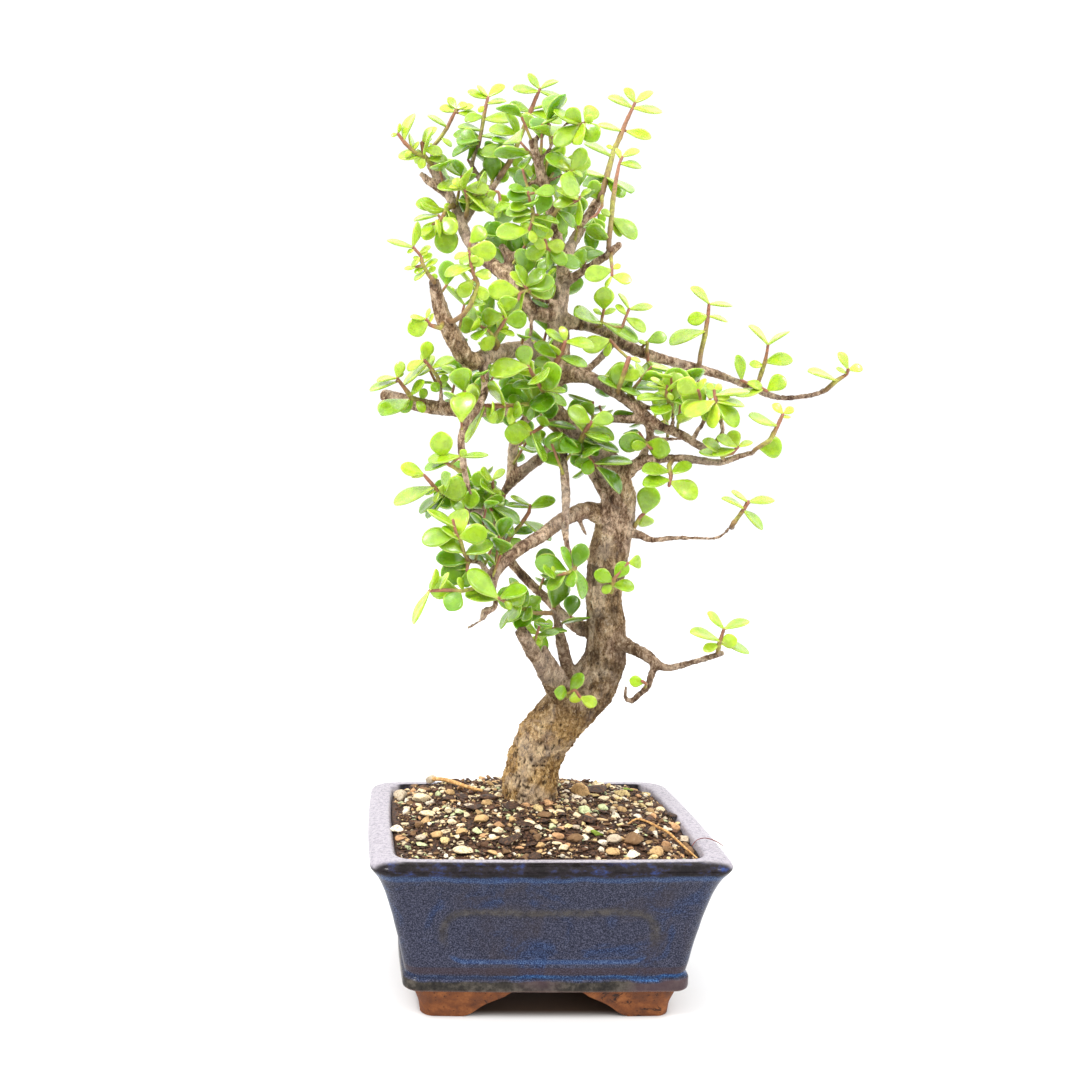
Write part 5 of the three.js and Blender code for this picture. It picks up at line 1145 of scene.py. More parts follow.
# %% Every leafy stem: route, twigs, and leaves as root x, root y, reach across, reach down, width
STEM_ROWS = read_rows("""
top_left_end: 431 163 38 6, 424 156 36 5, 422 143 36 4
twig: 424 157 36 5, 413 151 34 4, 405 143 34 4, 398 134 34 3
leaves: 399 133 -8 3 4, 398 133 2 -10 4, 404 141 11 -28 9, 423 143 14 -16 9, 422 142 8 -2 3,
  413 151 -4 -22 3, 412 151 -7 6 6, 426 157 -12 -1 14, 424 156 -4 13 9, 414 150 5 -9 4, 425 149 18 5 10,
  428 158 20 2 9
reddish_shoot: 432 160 47 5, 433 147 47 4, 441 137 47 4, 447 128 47 4, 456 110 48 3
leaves: 447 127 -20 -12 5, 455 112 -16 -4 8, 457 109 -9 -12 8, 458 108 9 -5 7, 459 109 15 -3 6,
  458 113 20 3 7, 434 146 -5 -2 3, 437 158 31 18 13, 436 162 12 25 8, 441 138 11 9 5
yellow_tip_left: 479 144 36 4, 482 128 37 4, 485 110 37 4, 488 97 37 3
leaves: 486 98 -19 -7 7, 487 96 -10 -11 4, 489 97 16 -12 9, 485 106 -7 6 6, 487 104 20 -3 5,
  484 117 -20 4 9, 484 119 31 0 10, 482 131 -25 -4 5, 481 138 -31 -5 12, 482 136 26 2 5, 478 142 -26 15 7,
  480 141 -31 5 7
tallest_shoot: 501 175 35 6, 509 163 33 6, 516 148 30 5, 523 130 28 5, 530 113 26 5, 535 100 25 4,
  540 89 24 3
leaves: 540 88 -12 -15 7, 541 87 18 -6 5, 538 91 -26 -3 8, 540 91 23 8 5, 531 112 -22 -9 8, 532 114 31 9 11,
  518 134 -30 -4 11, 515 142 -27 -2 5, 513 150 -34 4 14, 514 147 -20 1 6, 508 166 -26 4 19,
  507 168 -4 15 10, 517 149 13 8 9, 513 155 8 11 12, 530 117 -11 -2 4
fork_cluster: 467 214 29 5, 468 204 28 4, 466 192 25 4, 463 187 24 3
twig: 467 197 26 4, 482 193 24 3, 498 192 22 3, 502 206 21 3
leaves: 464 189 26 1 13, 463 186 -14 1 4, 466 191 -11 -13 7, 467 192 34 26 13, 468 203 -10 -3 4,
  468 207 18 2 9, 462 188 -10 -8 8, 499 194 8 10 12, 497 192 -10 4 8, 502 205 12 9 12, 500 202 -3 20 9,
  492 192 -6 14 9
hanging_left_cluster: 453 205 36 5, 446 210 33 5, 442 218 30 4, 436 223 29 3
leaves: 441 210 -26 -7 13, 443 211 6 -8 7, 438 215 -25 6 4, 442 222 8 32 24, 440 222 -17 18 15,
  432 225 -16 17 10, 447 210 8 14 6, 443 218 16 18 18
tiny_curled_tip: 433 280 -44 5, 428 274 -45 4, 423 265 -47 4, 420 255 -47 3, 413 247 -48 3
leaves: 412 247 6 -26 8, 411 246 -25 -6 5, 420 256 7 -7 7, 424 263 8 -11 8, 426 267 12 -8 6,
  424 268 -10 5 6, 420 262 -7 -5 5, 427 273 9 -6 6, 429 276 9 1 6, 424 272 -10 9 5, 416 267 -12 2 4,
  414 250 -7 3 4, 421 252 10 -6 5, 419 257 -7 10 5
green_stem_left: 454 321 -44 5, 463 315 -45 5, 470 306 -45 5, 474 296 -45 5, 478 284 -45 4, 472 270 -47 4,
  470 258 -48 3, 469 250 -48 3
leaves: 470 268 -26 8 11, 469 253 -15 6 6, 473 280 -14 17 15, 476 288 -33 0 10, 471 266 13 -6 9,
  474 274 18 2 11, 477 285 10 15 12, 470 248 27 4 20, 470 243 16 -17 17, 469 256 9 6 8
upright_left_cluster: 533 212 -32 4, 532 222 -33 4, 529 231 -34 3
twig: 533 213 -33 3, 530 202 -36 3, 528 192 -37 3
leaves: 528 190 -20 -3 8, 529 198 -23 -3 13, 530 205 -21 3 11, 531 212 -26 2 12, 533 218 -21 3 8,
  534 193 22 -3 12, 538 215 9 -20 18, 534 217 26 6 6, 532 222 15 16 14, 529 232 -34 2 17, 531 226 -10 0 6,
  530 230 5 13 9
rosette: 578 125 -36 4, 585 123 -38 3
leaves: 581 123 -16 -15 16, 586 122 10 -17 17, 586 125 12 17 19, 582 126 -6 15 12, 583 124 -3 31 12,
  579 125 -25 21 19, 585 123 6 -6 9, 580 124 -28 -14 8
upright_tuft: 571 171 -31 4, 577 165 -33 3
leaves: 577 167 2 -9 8, 574 172 -17 -10 9, 572 171 11 6 4, 569 172 -24 -17 14, 571 169 -21 -23 10
behind_upright: 541 172 -18 4, 546 166 -14 4, 552 164 -12 3
leaves: 544 167 -14 1 17, 553 165 4 14 13, 552 163 16 -5 9, 547 165 -2 13 12
upright_right_cluster: 553 216 -22 5, 560 207 -25 4, 570 203 -28 4, 579 200 -29 3
leaves: 578 198 -22 -8 7, 576 202 -23 3 12, 580 199 -1 27 7, 580 197 11 -8 6, 558 211 16 17 9,
  556 212 10 23 12, 560 206 -6 -22 8
middle_rosette: 560 262 -14 5, 553 256 -20 4, 547 248 -24 4, 545 240 -25 3
twig: 554 257 -20 4, 563 259 -18 3, 573 256 -17 3
leaves: 547 244 18 3 14, 546 248 -15 -8 11, 549 250 18 14 14, 546 250 3 20 7, 545 249 -20 7 16,
  544 240 -10 -12 12, 545 238 7 -10 9, 555 257 26 9 14, 556 258 -18 12 12, 572 256 22 1 17
yellow_green_fan: 536 297 -20 5, 528 290 -24 4, 524 285 -25 3
twig: 528 290 -24 4, 520 293 -26 3, 518 300 -28 3
leaves: 528 289 -12 -25 10, 529 291 23 6 10, 528 288 27 -7 17, 526 286 19 -16 14, 523 284 -13 -13 9,
  522 285 -18 -20 7, 519 292 -32 -2 21, 518 300 -19 6 17
bowl_leaf_stem: 498 345 -24 5, 495 336 -28 4, 502 325 -30 4, 506 318 -32 3
twig: 495 336 -28 3, 486 329 -29 3, 478 325 -30 3
leaves: 506 322 22 -4 19, 503 325 3 6 9, 503 316 -21 2 19, 479 325 -20 0 17, 497 336 -16 14 14,
  485 330 -17 20 9, 499 331 16 5 5
left_arm_sprout: 440 328 -45 5, 430 325 -47 4, 426 319 -48 3
leaves: 429 322 -22 10 19, 425 319 -17 -2 4, 424 319 6 -11 4, 430 323 3 -10 4
right_tall_shoot: 601 196 26 6, 605 183 32 6, 609 168 36 6, 614 150 38 5, 620 137 40 5, 626 122 41 4,
  635 103 44 3
twig: 602 195 26 4, 602 206 18 3, 597 214 14 3, 591 219 12 3
leaves: 634 102 -10 -14 8, 636 102 17 -11 8, 631 107 -24 -10 7, 633 108 30 4 8, 622 131 -25 -6 5,
  626 131 26 7 10, 612 157 -29 -14 6, 614 149 -8 -3 4, 606 177 -26 -5 5, 604 180 -26 3 12, 607 180 18 17 13,
  608 178 31 20 4, 604 184 -12 6 5, 598 214 7 8 8, 593 218 8 13 14, 592 219 -10 17 5
right_thin_shoot: 609 249 -20 5, 609 240 -13 5, 611 222 -6 5, 613 200 -1 5, 616 180 3 4, 619 165 6 3,
  622 157 7 3
leaves: 622 157 18 -7 8, 620 159 -4 -11 5, 621 164 21 4 7, 612 218 25 21 15, 612 221 10 16 9,
  611 217 -10 -7 7, 610 232 -6 7 4
snag_hanger: 611 257 -22 4, 612 268 -25 3, 612 276 -26 3
leaves: 612 269 9 -4 6, 612 277 20 4 11, 611 278 -5 10 4, 611 270 -27 7 17
long_arm_upper: 601 326 2 4, 602 318 1 3, 604 309 -1 3
twig: 601 322 1 3, 613 327 1 3, 622 327 2 3, 625 319 3 3, 629 309 5 3
leaves: 604 309 0 -21 20, 603 315 -10 -6 5, 604 315 12 -6 6, 601 324 -39 -13 11, 603 323 36 19 11,
  629 309 24 -3 8, 628 308 -10 -15 4, 626 315 -11 -10 6, 626 318 20 14 11
long_arm_pair: 647 342 13 3, 647 353 13 4, 648 362 13 3
leaves: 648 342 19 -6 13, 646 344 -8 -3 4, 648 361 11 19 14
arm_shoot_a: 699 365 22 5, 701 352 24 5, 705 335 25 5, 708 316 26 4, 709 304 26 3
leaves: 709 303 -19 -16 8, 710 303 23 3 5, 707 316 -20 5 14, 708 316 20 6 4, 704 331 -35 14 13
arm_shoot_b: 757 386 20 4, 762 371 20 5, 765 362 18 4, 767 352 17 3, 768 345 17 3
twig: 757 386 20 4, 749 384 18 3, 741 380 18 3
twig: 757 386 20 4, 767 391 16 3
leaves: 767 344 -19 -19 4, 769 344 21 -13 4, 764 362 29 -3 14, 762 365 -13 -1 8, 743 378 -6 -24 11,
  745 383 18 5 9, 763 390 -28 6 9, 768 390 17 -13 17
arm_tip: 826 390 12 5, 836 381 10 5, 847 374 9 3, 848 369 7 3
leaves: 848 366 -10 -14 8, 847 370 16 -2 9, 846 373 -10 -5 4, 836 380 -29 -9 6
middle_riser: 618 390 -16 5, 621 382 -18 5, 625 370 -20 5, 629 358 -20 5
twig: 629 359 -20 3, 617 348 -13 3, 610 340 -6 3
leaves: 621 379 19 -7 13, 619 389 -22 -12 6, 621 388 21 7 6, 630 356 11 6 4, 609 338 -27 11 18,
  612 341 -6 16 8
yellow_front_shoot: 549 387 -10 6, 553 372 -17 6, 559 356 -20 6, 565 342 -22 5
leaves: 563 342 -18 -12 8, 566 341 -5 -15 9, 567 342 28 5 11, 561 357 27 9 9, 558 358 -25 -14 13,
  555 366 -21 -5 14
front_left_fan: 548 398 -8 6, 541 388 -25 4, 533 375 -29 4, 528 366 -30 3
leaves: 526 364 -5 -19 18, 528 367 -39 7 20, 530 370 -17 -4 6, 540 386 -28 0 9, 544 391 9 -13 16,
  545 391 22 15 9, 543 388 27 5 4
left_fan: 543 404 -8 5, 528 404 -20 4, 505 406 -28 4, 487 406 -32 4, 481 404 -33 3
leaves: 480 404 -19 -18 24, 483 405 -22 10 9, 484 408 -19 36 10, 486 408 8 16 11, 530 402 -30 -13 21,
  527 405 -23 -6 12, 510 406 0 19 10, 533 405 -3 16 8, 524 405 -7 10 8
stump_cluster: 440 383 24 4, 437 376 22 4, 431 368 21 4, 424 360 20 3
leaves: 424 360 5 -19 14, 423 361 -16 10 9, 427 364 -25 22 8, 431 369 -18 7 6, 432 368 23 -10 9,
  435 371 22 -4 4, 437 374 16 -3 4, 439 384 -8 7 11, 440 382 8 -6 8, 438 379 8 8 8
stump_end: 422 401 26 5, 412 398 22 5, 403 386 20 4, 397 378 18 3
leaves: 396 377 6 -16 11, 396 382 -27 9 7, 396 379 -20 2 5, 398 378 5 -7 6, 411 395 14 -15 9,
  413 399 -13 13 13, 416 400 8 13 9, 409 400 -38 21 18, 422 399 3 -11 9
hanging_arm_tuft: 460 471 -46 4, 450 465 -48 4, 441 461 -49 3
twig: 450 465 -48 3, 460 456 -51 3
leaves: 460 456 -33 5 10, 443 458 -3 -27 23, 448 463 -24 7 8, 461 456 28 -1 5, 461 456 5 -6 8
back_left_fan: 483 508 1 4, 488 503 -5 4, 494 494 -9 4, 492 480 -12 3
twig: 488 503 -5 4, 492 511 -10 3
leaves: 492 482 -21 -5 17, 492 480 -22 -14 10, 492 479 13 -10 8, 493 487 7 11 9, 486 503 5 22 10,
  492 511 21 23 13, 491 508 13 12 9, 491 500 14 3 9, 489 504 31 22 9
hooked_shoot: 505 544 17 5, 515 531 10 4, 522 523 6 4, 529 512 3 4, 530 505 2 3
leaves: 531 508 25 -9 12, 529 505 -19 -9 4, 527 507 -22 -2 3, 523 521 29 20 10, 521 523 -20 -5 9,
  513 533 21 -3 9, 510 538 11 9 12
left_spray_low: 461 499 -15 5, 450 496 -21 4, 437 490 -26 4, 432 484 -28 4, 424 475 -29 3
leaves: 437 491 31 -4 26, 434 487 -41 18 14, 425 474 -25 -8 14, 425 475 -14 2 4, 436 491 -11 4 4,
  439 492 -5 12 5, 441 493 -3 15 9, 444 495 -25 19 8, 446 496 -20 23 8, 449 497 14 15 12
big_dark_pair: 469 562 -40 4, 464 553 -44 4, 461 542 -45 4, 456 533 -47 3, 453 520 -47 3
twig: 468 561 -41 4, 467 571 -44 3
leaves: 456 534 -35 8 20, 461 540 -21 -13 8, 459 537 29 -5 21, 465 554 29 -11 14, 467 562 -32 -4 18,
  467 569 -27 2 4, 467 571 -1 17 12
olive_shoot: 550 613 -5 5, 535 613 -13 4, 522 608 -20 4, 508 603 -28 4, 498 598 -47 3
leaves: 498 598 -31 -28 21, 500 598 28 -10 15, 499 600 -35 -5 15, 503 602 9 7 7, 529 612 -25 10 11,
  523 606 4 -12 9, 527 607 14 -10 11, 531 611 6 -10 7, 515 606 -15 24 5, 520 607 -11 -30 9,
  540 613 -10 -18 8
low_left_droop: 486 580 -42 5, 475 588 -45 4, 462 591 -48 4, 445 590 -51 4, 429 591 -52 3
leaves: 460 590 -12 20 21, 428 592 -15 33 5, 430 590 6 -22 6, 439 588 10 -16 4, 463 589 -5 -12 7
root_end_cluster: 575 568 -29 5, 568 573 -32 4, 555 575 -34 3
leaves: 568 573 -34 -12 21, 566 574 -19 16 12, 575 567 9 -24 18, 574 568 9 32 11, 556 575 -24 -9 10,
  555 575 -3 -9 4, 571 571 -11 -26 8, 573 571 0 21 12
shade_cluster: 552 630 1 4, 546 634 -2 3, 538 634 -3 3
leaves: 547 633 -11 -15 13, 541 634 -8 14 12, 546 633 3 -15 9, 548 634 20 -3 4, 545 634 -3 21 9,
  540 633 8 8 9
trunk_sprout_low: 568 697 -5 4, 567 694 -9 3, 575 690 -12 3, 580 697 -12 3
leaves: 567 694 -14 -3 15, 570 691 13 -18 13, 574 689 2 15 12, 580 697 17 8 13
trunk_sprout_middle: 611 592 -13 5, 612 586 -16 4, 614 579 -19 4, 628 563 -19 3
leaves: 612 581 -18 -9 15, 614 578 13 -16 15, 614 586 21 1 13, 611 584 -9 9 9, 629 563 19 -3 14
right_round_leaves: 640 517 -5 4, 644 514 -8 3
leaves: 644 513 7 -23 23, 644 515 4 12 16
low_right_leaves: 669 466 -26 5, 671 476 -29 4, 669 486 -30 3
leaves: 670 482 28 15 19, 671 474 21 -11 12, 669 472 -28 -2 13, 669 480 -27 5 14
link_leaves: 647 445 -17 3, 652 449 -18 3
leaves: 652 450 17 -7 11, 646 445 -15 1 11
arm_end_shoot: 756 449 -44 4, 770 440 -45 5, 777 427 -45 4, 783 414 -45 3
leaves: 758 447 27 0 22, 776 425 -28 -10 8, 783 414 -11 -10 8, 783 413 11 -5 8, 782 417 9 0 3
front_crown_a: 701 406 -38 4, 700 396 -41 3, 698 390 -43 3
twig: 701 405 -39 4, 709 403 -45 4, 716 403 -47 4, 714 390 -47 3
leaves: 699 392 -23 -10 20, 700 391 -17 -4 6, 701 400 -20 12 15, 699 392 7 -14 7, 714 390 8 -5 7,
  713 390 -6 -6 7, 716 395 34 -4 5, 716 399 14 -3 9, 716 402 29 4 7, 714 401 -30 15 16, 718 404 20 23 16,
  710 403 -5 8 9, 716 404 -3 26 13
front_crown_c: 722 456 -38 4, 732 453 -40 4, 738 447 -41 3
leaves: 737 446 -21 -9 10, 738 444 -8 -15 14, 736 450 -24 5 9, 739 448 14 -6 6, 725 455 -29 -5 10,
  724 455 -22 -15 10
middle_twig_leaves: 669 402 -30 4, 666 395 -32 4, 667 386 -33 3
leaves: 669 402 -1 19 9, 668 399 -32 0 7, 669 401 21 4 5, 667 389 -21 -4 4, 667 388 -17 -10 4,
  667 392 6 8 6, 666 395 -6 -7 7
back_arm_fan: 579 446 -13 6, 582 438 -18 6, 587 428 -21 5, 591 422 -22 4
twig: 580 444 -16 4, 587 454 -18 3, 597 467 -20 3
leaves: 590 422 -24 -14 17, 591 423 23 -6 15, 586 431 29 8 13, 585 434 22 8 9, 582 443 17 12 12,
  579 446 -38 -3 21, 584 440 36 12 9, 586 452 -4 18 17, 590 460 -5 15 14, 597 468 24 26 12, 594 464 39 -2 8
centre_fan: 547 422 -12 5, 540 428 -18 4, 530 434 -22 3
leaves: 540 430 -10 16 16, 530 434 -27 -1 22, 546 424 31 5 6, 533 432 -17 -10 9, 533 435 12 30 5
low_right_tip: 718 652 -33 5, 719 646 -36 5, 720 641 -38 4, 724 629 -39 3
leaves: 723 628 -16 -16 8, 725 628 25 -7 9, 720 641 -31 -9 9, 720 643 15 -3 15, 721 641 29 12 8,
  719 644 -16 7 10
wisp_end: 733 524 -36 5, 739 516 -37 4, 744 509 -38 4, 748 502 -38 4
leaves: 749 502 26 -2 9, 747 500 -16 -9 4, 744 509 -23 -11 4, 745 511 18 19 8
low_right_leaf: 646 684 -25 3, 642 681 -26 3
leaves: 645 682 -16 -2 12
""")
LEAFY_STEMS = {}
for kind, points in STEM_ROWS:
    if kind == "twig":
        stem["twigs"].append(points)
    elif kind == "leaves":
        stem["leaves"] = points
    else:
        LEAFY_STEMS[kind] = stem = {"stem": points, "twigs": []}
print("leafy stems:", len(LEAFY_STEMS))

# %% [markdown]
# ## How a drawn leaf lies in space
#
# Leaves of this plant are nearly all the same shape: a spoon about four fifths as broad as it
# is long. So a leaf drawn short for its width must lean to or from the eye, and one drawn
# narrow is seen from its edge. That is enough to find its length, its lean and its roll.

# %% The lie of a leaf
LEAF_THICKNESS = 1.7
LEAF_PLUMPNESS = 0.78
LONGEST_LEAF = 17
LEAST_LEAF = 8.7


def lie_of(root, ahead, face, length, half_width):
    return {"root": root, "ahead": ahead, "face": face, "across": face.cross(ahead), "length": length,
            "half_width": half_width}


def leaf_lie(root, tip, width, away, side, turn):
    """Where a leaf is and how it lies. `turn` bends it further to or from the eye."""
    flat = tip - root
    drawn_length = flat.length
    along = flat.normalized()
    drawn_width = width * unit_at(root)
    length = min(max(drawn_length, drawn_width / LEAF_PLUMPNESS), max(LONGEST_LEAF, drawn_length))
    lean = math.acos(min(1, drawn_length / length))
    sight = (EYE - root).normalized()
    angle = (-lean if away else lean) + turn
    ahead = (along * math.cos(angle) + sight * math.sin(angle)).normalized()
    facing = (sight - ahead * sight.dot(ahead)).normalized()
    full_width = max(drawn_width, length * 0.66)
    roll = min(math.acos(min(1, drawn_width / full_width)), 1.3)
    beside = ahead.cross(facing)
    up = math.copysign(1, beside.z) if abs(beside.z) > 0.25 else side
    face = facing * math.cos(roll) + beside * (up * math.sin(roll))
    return lie_of(root, ahead, face, length, full_width / 2)


def leaf_point(lie, s, v, rise):
    return (lie["root"] + lie["ahead"] * (s * lie["length"]) + lie["across"] * (v * lie["half_width"])
            + lie["face"] * rise)


def leaf_checks(lie):
    """Points spread over a leaf, to keep it clear of what grows beside it."""
    spread = ((0.22, 0.4), (0.42, 0.8), (0.6, 0.95), (0.78, 0.85), (0.97, 0.35))
    return [leaf_point(lie, s, v * reach, 0) for s, reach in spread for v in (-1, -0.34, 0.34, 1)]


example = leaf_lie(place(404, 141, 34), place(415, 113, 34), 9, False, 1, 0)
print("an example leaf:", round(example["length"], 1), "by", round(2 * example["half_width"], 1), "mm")

# %% [markdown]
# ## Elbow room
#
# Two leaves can't share a place. Wood, stems and leaves are noted, as they are laid, as balls
# in a grid of cells. A new leaf looks only at the cells round its own points, and bends to or
# from the eye, 14 degrees at a time, until it is clear.

# %% The grid of cells
CELL = 6
KEEP_CLEAR = 2.5
LEAVES_APART = 1.9
STEM_CLEAR = 1.1
BALL_GAP = 1.5         # between the balls that stand for wood and stems
STALKED = 3            # a leaf drawn further than this off its stem gets a stalk
AWAY_SHARE = 0.35      # how many leaves lean away from the eye
BENDS = [math.radians(angle) for angle in (0, 14, -14, 28, -28, 42, -42, 56, -56, 70, -70)]
SHIFTS = [(-1 if i % 2 else 1) * math.ceil(i / 2) for i in range(33)]
cells = {}


def cell_of(point):
    return (math.floor(point.x / CELL), math.floor(point.y / CELL), math.floor(point.z / CELL))


def occupy(at, radius, owner, own_radius=0.0):
    cells.setdefault(cell_of(at), []).append((at, radius, owner, own_radius))


def along_route(route):
    """Balls down the middle of a route."""
    for (a, ra), (b, rb) in zip(route, route[1:]):
        parts = math.ceil((a - b).length / BALL_GAP)
        for k in range(parts):
            yield a.lerp(b, k / parts), ra + (rb - ra) * k / parts


def is_clear(points, owner, apart, tight=1.0):
    """Whether points are clear of what others own and, if `apart`, of their own stem's leaves."""
    for point in points:
        x, y, z = cell_of(point)
        for key in itertools.product((x - 1, x, x + 1), (y - 1, y, y + 1), (z - 1, z, z + 1)):
            for at, radius, who, own_radius in cells.get(key, ()):
                reach = (radius if who != owner else own_radius if apart else 0) * tight
                if reach and (at - point).length < reach:
                    return False
    return True


wood_balls = [ball for name in LIMBS for ball in along_route(plain_route(name))]
ball_places = np.array([tuple(at) for at, _ in wood_balls])
ball_radii = np.array([radius for _, radius in wood_balls])
for at, radius in wood_balls:
    occupy(at, radius + 1.2, "wood")
print("balls down the wood:", len(wood_balls))

# %% Stems that start in the wood and then keep off it


def finer(drawn):
    """A drawn route with a point more in the middle of each long stretch."""
    made = []
    for point, after in zip(drawn, drawn[1:] + drawn[-1:]):
        made.append(point)
        if math.hypot(after[0] - point[0], after[1] - point[1]) > 7:
            made.append(tuple((p + q) / 2 for p, q in zip(point, after)))
    return made


def off_wood(drawn):
    """Each point after the first moved in depth, as little as it takes, off the wood."""
    made = [drawn[0]]
    for x, y, depth, width in drawn[1:]:
        chosen = 0
        for shift in SHIFTS:
            at = place(x, y, depth + shift)
            room = width / 2 * unit_at(at) + STEM_CLEAR
            if (np.linalg.norm(ball_places - tuple(at), axis=1) > ball_radii + room).all():
                chosen = shift
                break
        made.append((x, y, depth + chosen, width))
    return made


def rooted(drawn):
    """A leafy stem's route, begun on the middle line of the wood nearest to it."""
    start = place(*drawn[0][:3])
    nearest = Vector(ball_places[np.linalg.norm(ball_places - tuple(start), axis=1).argmin()])
    return off_wood([drawn_at(nearest) + (drawn[0][3],)] + finer(drawn))


def branched(drawn, stem):
    """A side route, moved in depth to begin on its stem."""
    shift = nearest_on([stem], *drawn[0][:2])[0][2] - drawn[0][2]
    return off_wood([(x, y, depth + shift, width) for x, y, depth, width in finer(drawn)])


stems = {}
for name, drawn in LEAFY_STEMS.items():
    main = rooted(drawn["stem"])
    routes = [main] + [branched(twig, main) for twig in drawn["twigs"]]
    stems[name] = {"routes": routes, "leaves": drawn["leaves"], "lies": [], "stalks": []}
    for route in [route_of(route, 0.95) for route in routes]:
        for at, radius in [*along_route(route), route[-1]]:
            occupy(at, radius + 1.3, name)
print("stems placed:", len(stems))

# %% [markdown]
# ## Laying the leaves
#
# The leaves that the packed solids have are laid first, by the same rule and draws, so they
# land where they are there. The smaller ones and those that found no room come in a second
# round, with less elbow room asked of them.

# %% Lay every leaf


def laid(name, choices, apart, tight=1.0):
    for lie in choices:
        if is_clear(leaf_checks(lie), name, apart, tight):
            return lie
    return None


def settle_leaf(lie, small, name, spot, root_drawn, gap):
    for i, point in enumerate(leaf_checks(lie)):
        occupy(point, KEEP_CLEAR, name, 0 if i < 4 else LEAVES_APART)
    stems[name]["lies"].append((lie, small))
    if gap > STALKED:
        stems[name]["stalks"].append([spot + (3,), root_drawn + (spot[2], 2.6)])


left_over = []
for name, stem in stems.items():
    draw = draws(len(name) * 97 + len(stem["leaves"]))
    for x0, y0, across, down, width in stem["leaves"]:
        spot, gap = nearest_on([stem["routes"][0][1:]] + stem["routes"][1:], x0, y0)
        root = place(x0, y0, spot[2]) if gap > STALKED else place(*spot)
        away = draw() < AWAY_SHARE
        side = -1 if draw() < 0.5 else 1
        tip = place(x0 + across, y0 + down, spot[2])
        choices = [leaf_lie(root, tip, width, away, side, turn) for turn in BENDS]
        lie = laid(name, choices, True) or laid(name, choices, False)
        seat_of = (name, spot, (x0, y0), gap)
        if not lie or (lie["length"] < LEAST_LEAF and len(stem["leaves"]) > 2):
            left_over.append((choices, seat_of))
        else:
            settle_leaf(lie, 0, *seat_of)
print("leaves as packed:", sum(len(stem["lies"]) for stem in stems.values()))
for choices, seat_of in left_over:
    lie = laid(seat_of[0], choices[:7], True, 0.5) or choices[0]
    settle_leaf(lie, 1, *seat_of)
print("and the smaller ones:", len(left_over))

# %% [markdown]
# ## Filling the crown
#
# The drawing gives only the leaves that stand out. Behind and between them a crown this dense
# has nearly as many again, on the same stems and on short side shoots of the limbs. They
# follow the plant's own rule: opposite pairs, each turned a quarter round from the one before.
# A leaf is kept where it finds room, where the crown is dense, and not in front of a limb that
# shows.

# %% Where the tree is dense, and which limbs show: drawn ellipses and lines
DENSE = ((508, 212, 94, 128), (492, 375, 68, 70), (470, 540, 41, 72), (650, 408, 76, 44), (556, 460, 46, 26),
         (533, 616, 36, 34), (561, 588, 29, 40), (460, 142, 56, 38))
SHOWN_LIMBS = ((426, 176, 468, 226), (532, 140, 540, 186), (563, 254, 602, 196), (566, 284, 618, 250),
               (432, 278, 478, 358), (478, 358, 535, 350), (490, 262, 530, 310), (530, 300, 580, 320),
               (620, 340, 740, 378), (590, 378, 700, 448), (565, 470, 630, 470), (513, 565, 567, 619),
               (501, 175, 540, 89), (479, 144, 488, 97))
SHOWN_REACH = 11


def in_dense(x, y):
    return any(((x - cx) / rx) ** 2 + ((y - cy) / ry) ** 2 < 1 for cx, cy, rx, ry in DENSE)


def hides_limb(point):
    """Whether a leaf's middle would stand in front of a limb that should show."""
    x, y, depth = drawn_at(point)
    gap = nearest_on([((x0, y0, 0), (x1, y1, 0)) for x0, y0, x1, y1 in SHOWN_LIMBS], x, y)[1]
    if gap > SHOWN_REACH:
        return False
    beside = ball_places[np.linalg.norm(ball_places - tuple(point), axis=1).argmin()]
    return depth < beside[1] + 4


print("the crown's middle is dense:", in_dense(508, 212))

# %% Pairs of leaves up the drawn stems
PAIR_PITCH = 6.4
SPREAD = math.radians(58)
CROWN_REACH = 44           # how far to the front or the back a leaf may grow, in mm


def pair_lies(route, draw, first=2.0, sizes=(8.5, 15.5)):
    """Lies for pairs of leaves up a route, each pair a quarter turn on from the last."""
    along, due, turn = 0.0, first, 2 * math.pi * draw()
    for (a, _), (b, radius) in zip(route, route[1:]):
        along += (b - a).length
        if along < due:
            continue
        due += PAIR_PITCH * (0.8 + 0.4 * draw())
        turn += math.pi / 2 + 0.4 * (draw() - 0.5)
        ahead = (b - a).normalized()
        side = ahead.cross(Vector((0.3, 1, 0.2))).normalized()
        other = ahead.cross(side)
        for half_turn in (0, math.pi):
            out = side * math.cos(turn + half_turn) + other * math.sin(turn + half_turn)
            tilt = SPREAD * (0.8 + 0.4 * draw())
            heading = ahead * math.cos(tilt) + out * math.sin(tilt)
            face = ahead * math.sin(tilt) - out * math.cos(tilt)
            length = sizes[0] + (sizes[1] - sizes[0]) * draw()
            yield lie_of(b, heading, face, length, length * (0.33 + 0.07 * draw()))


def grow(name, lies, tight):
    """Keep the lies that have room, in the stem's own leaves."""
    kept = []
    for lie in lies:
        middle = leaf_point(lie, 0.6, 0, 0)
        if not in_dense(*drawn_at(middle)[:2]) or hides_limb(middle) or abs(middle.y) > CROWN_REACH:
            continue
        if is_clear(leaf_checks(lie), name, True, tight):
            for point in leaf_checks(lie):
                occupy(point, KEEP_CLEAR, name, LEAVES_APART)
            kept.append(lie)
    stems[name]["lies"] += [(lie, 0.4) for lie in kept]
    return kept


draw = draws(321)
grown = sum(len(grow(name, pair_lies(route_of(drawn, 0.9, least=0.9), draw), 0.54))
            for name, stem in stems.items() for drawn in stem["routes"])
print("leaves grown on the drawn stems:", grown)

# %% Short side shoots on the limbs
SHOOT_PITCH = 6.6
SHOOT_WIDTH = 3.2
BUDDING = 4.5              # the thickest wood, as a radius in mm, that bears side shoots

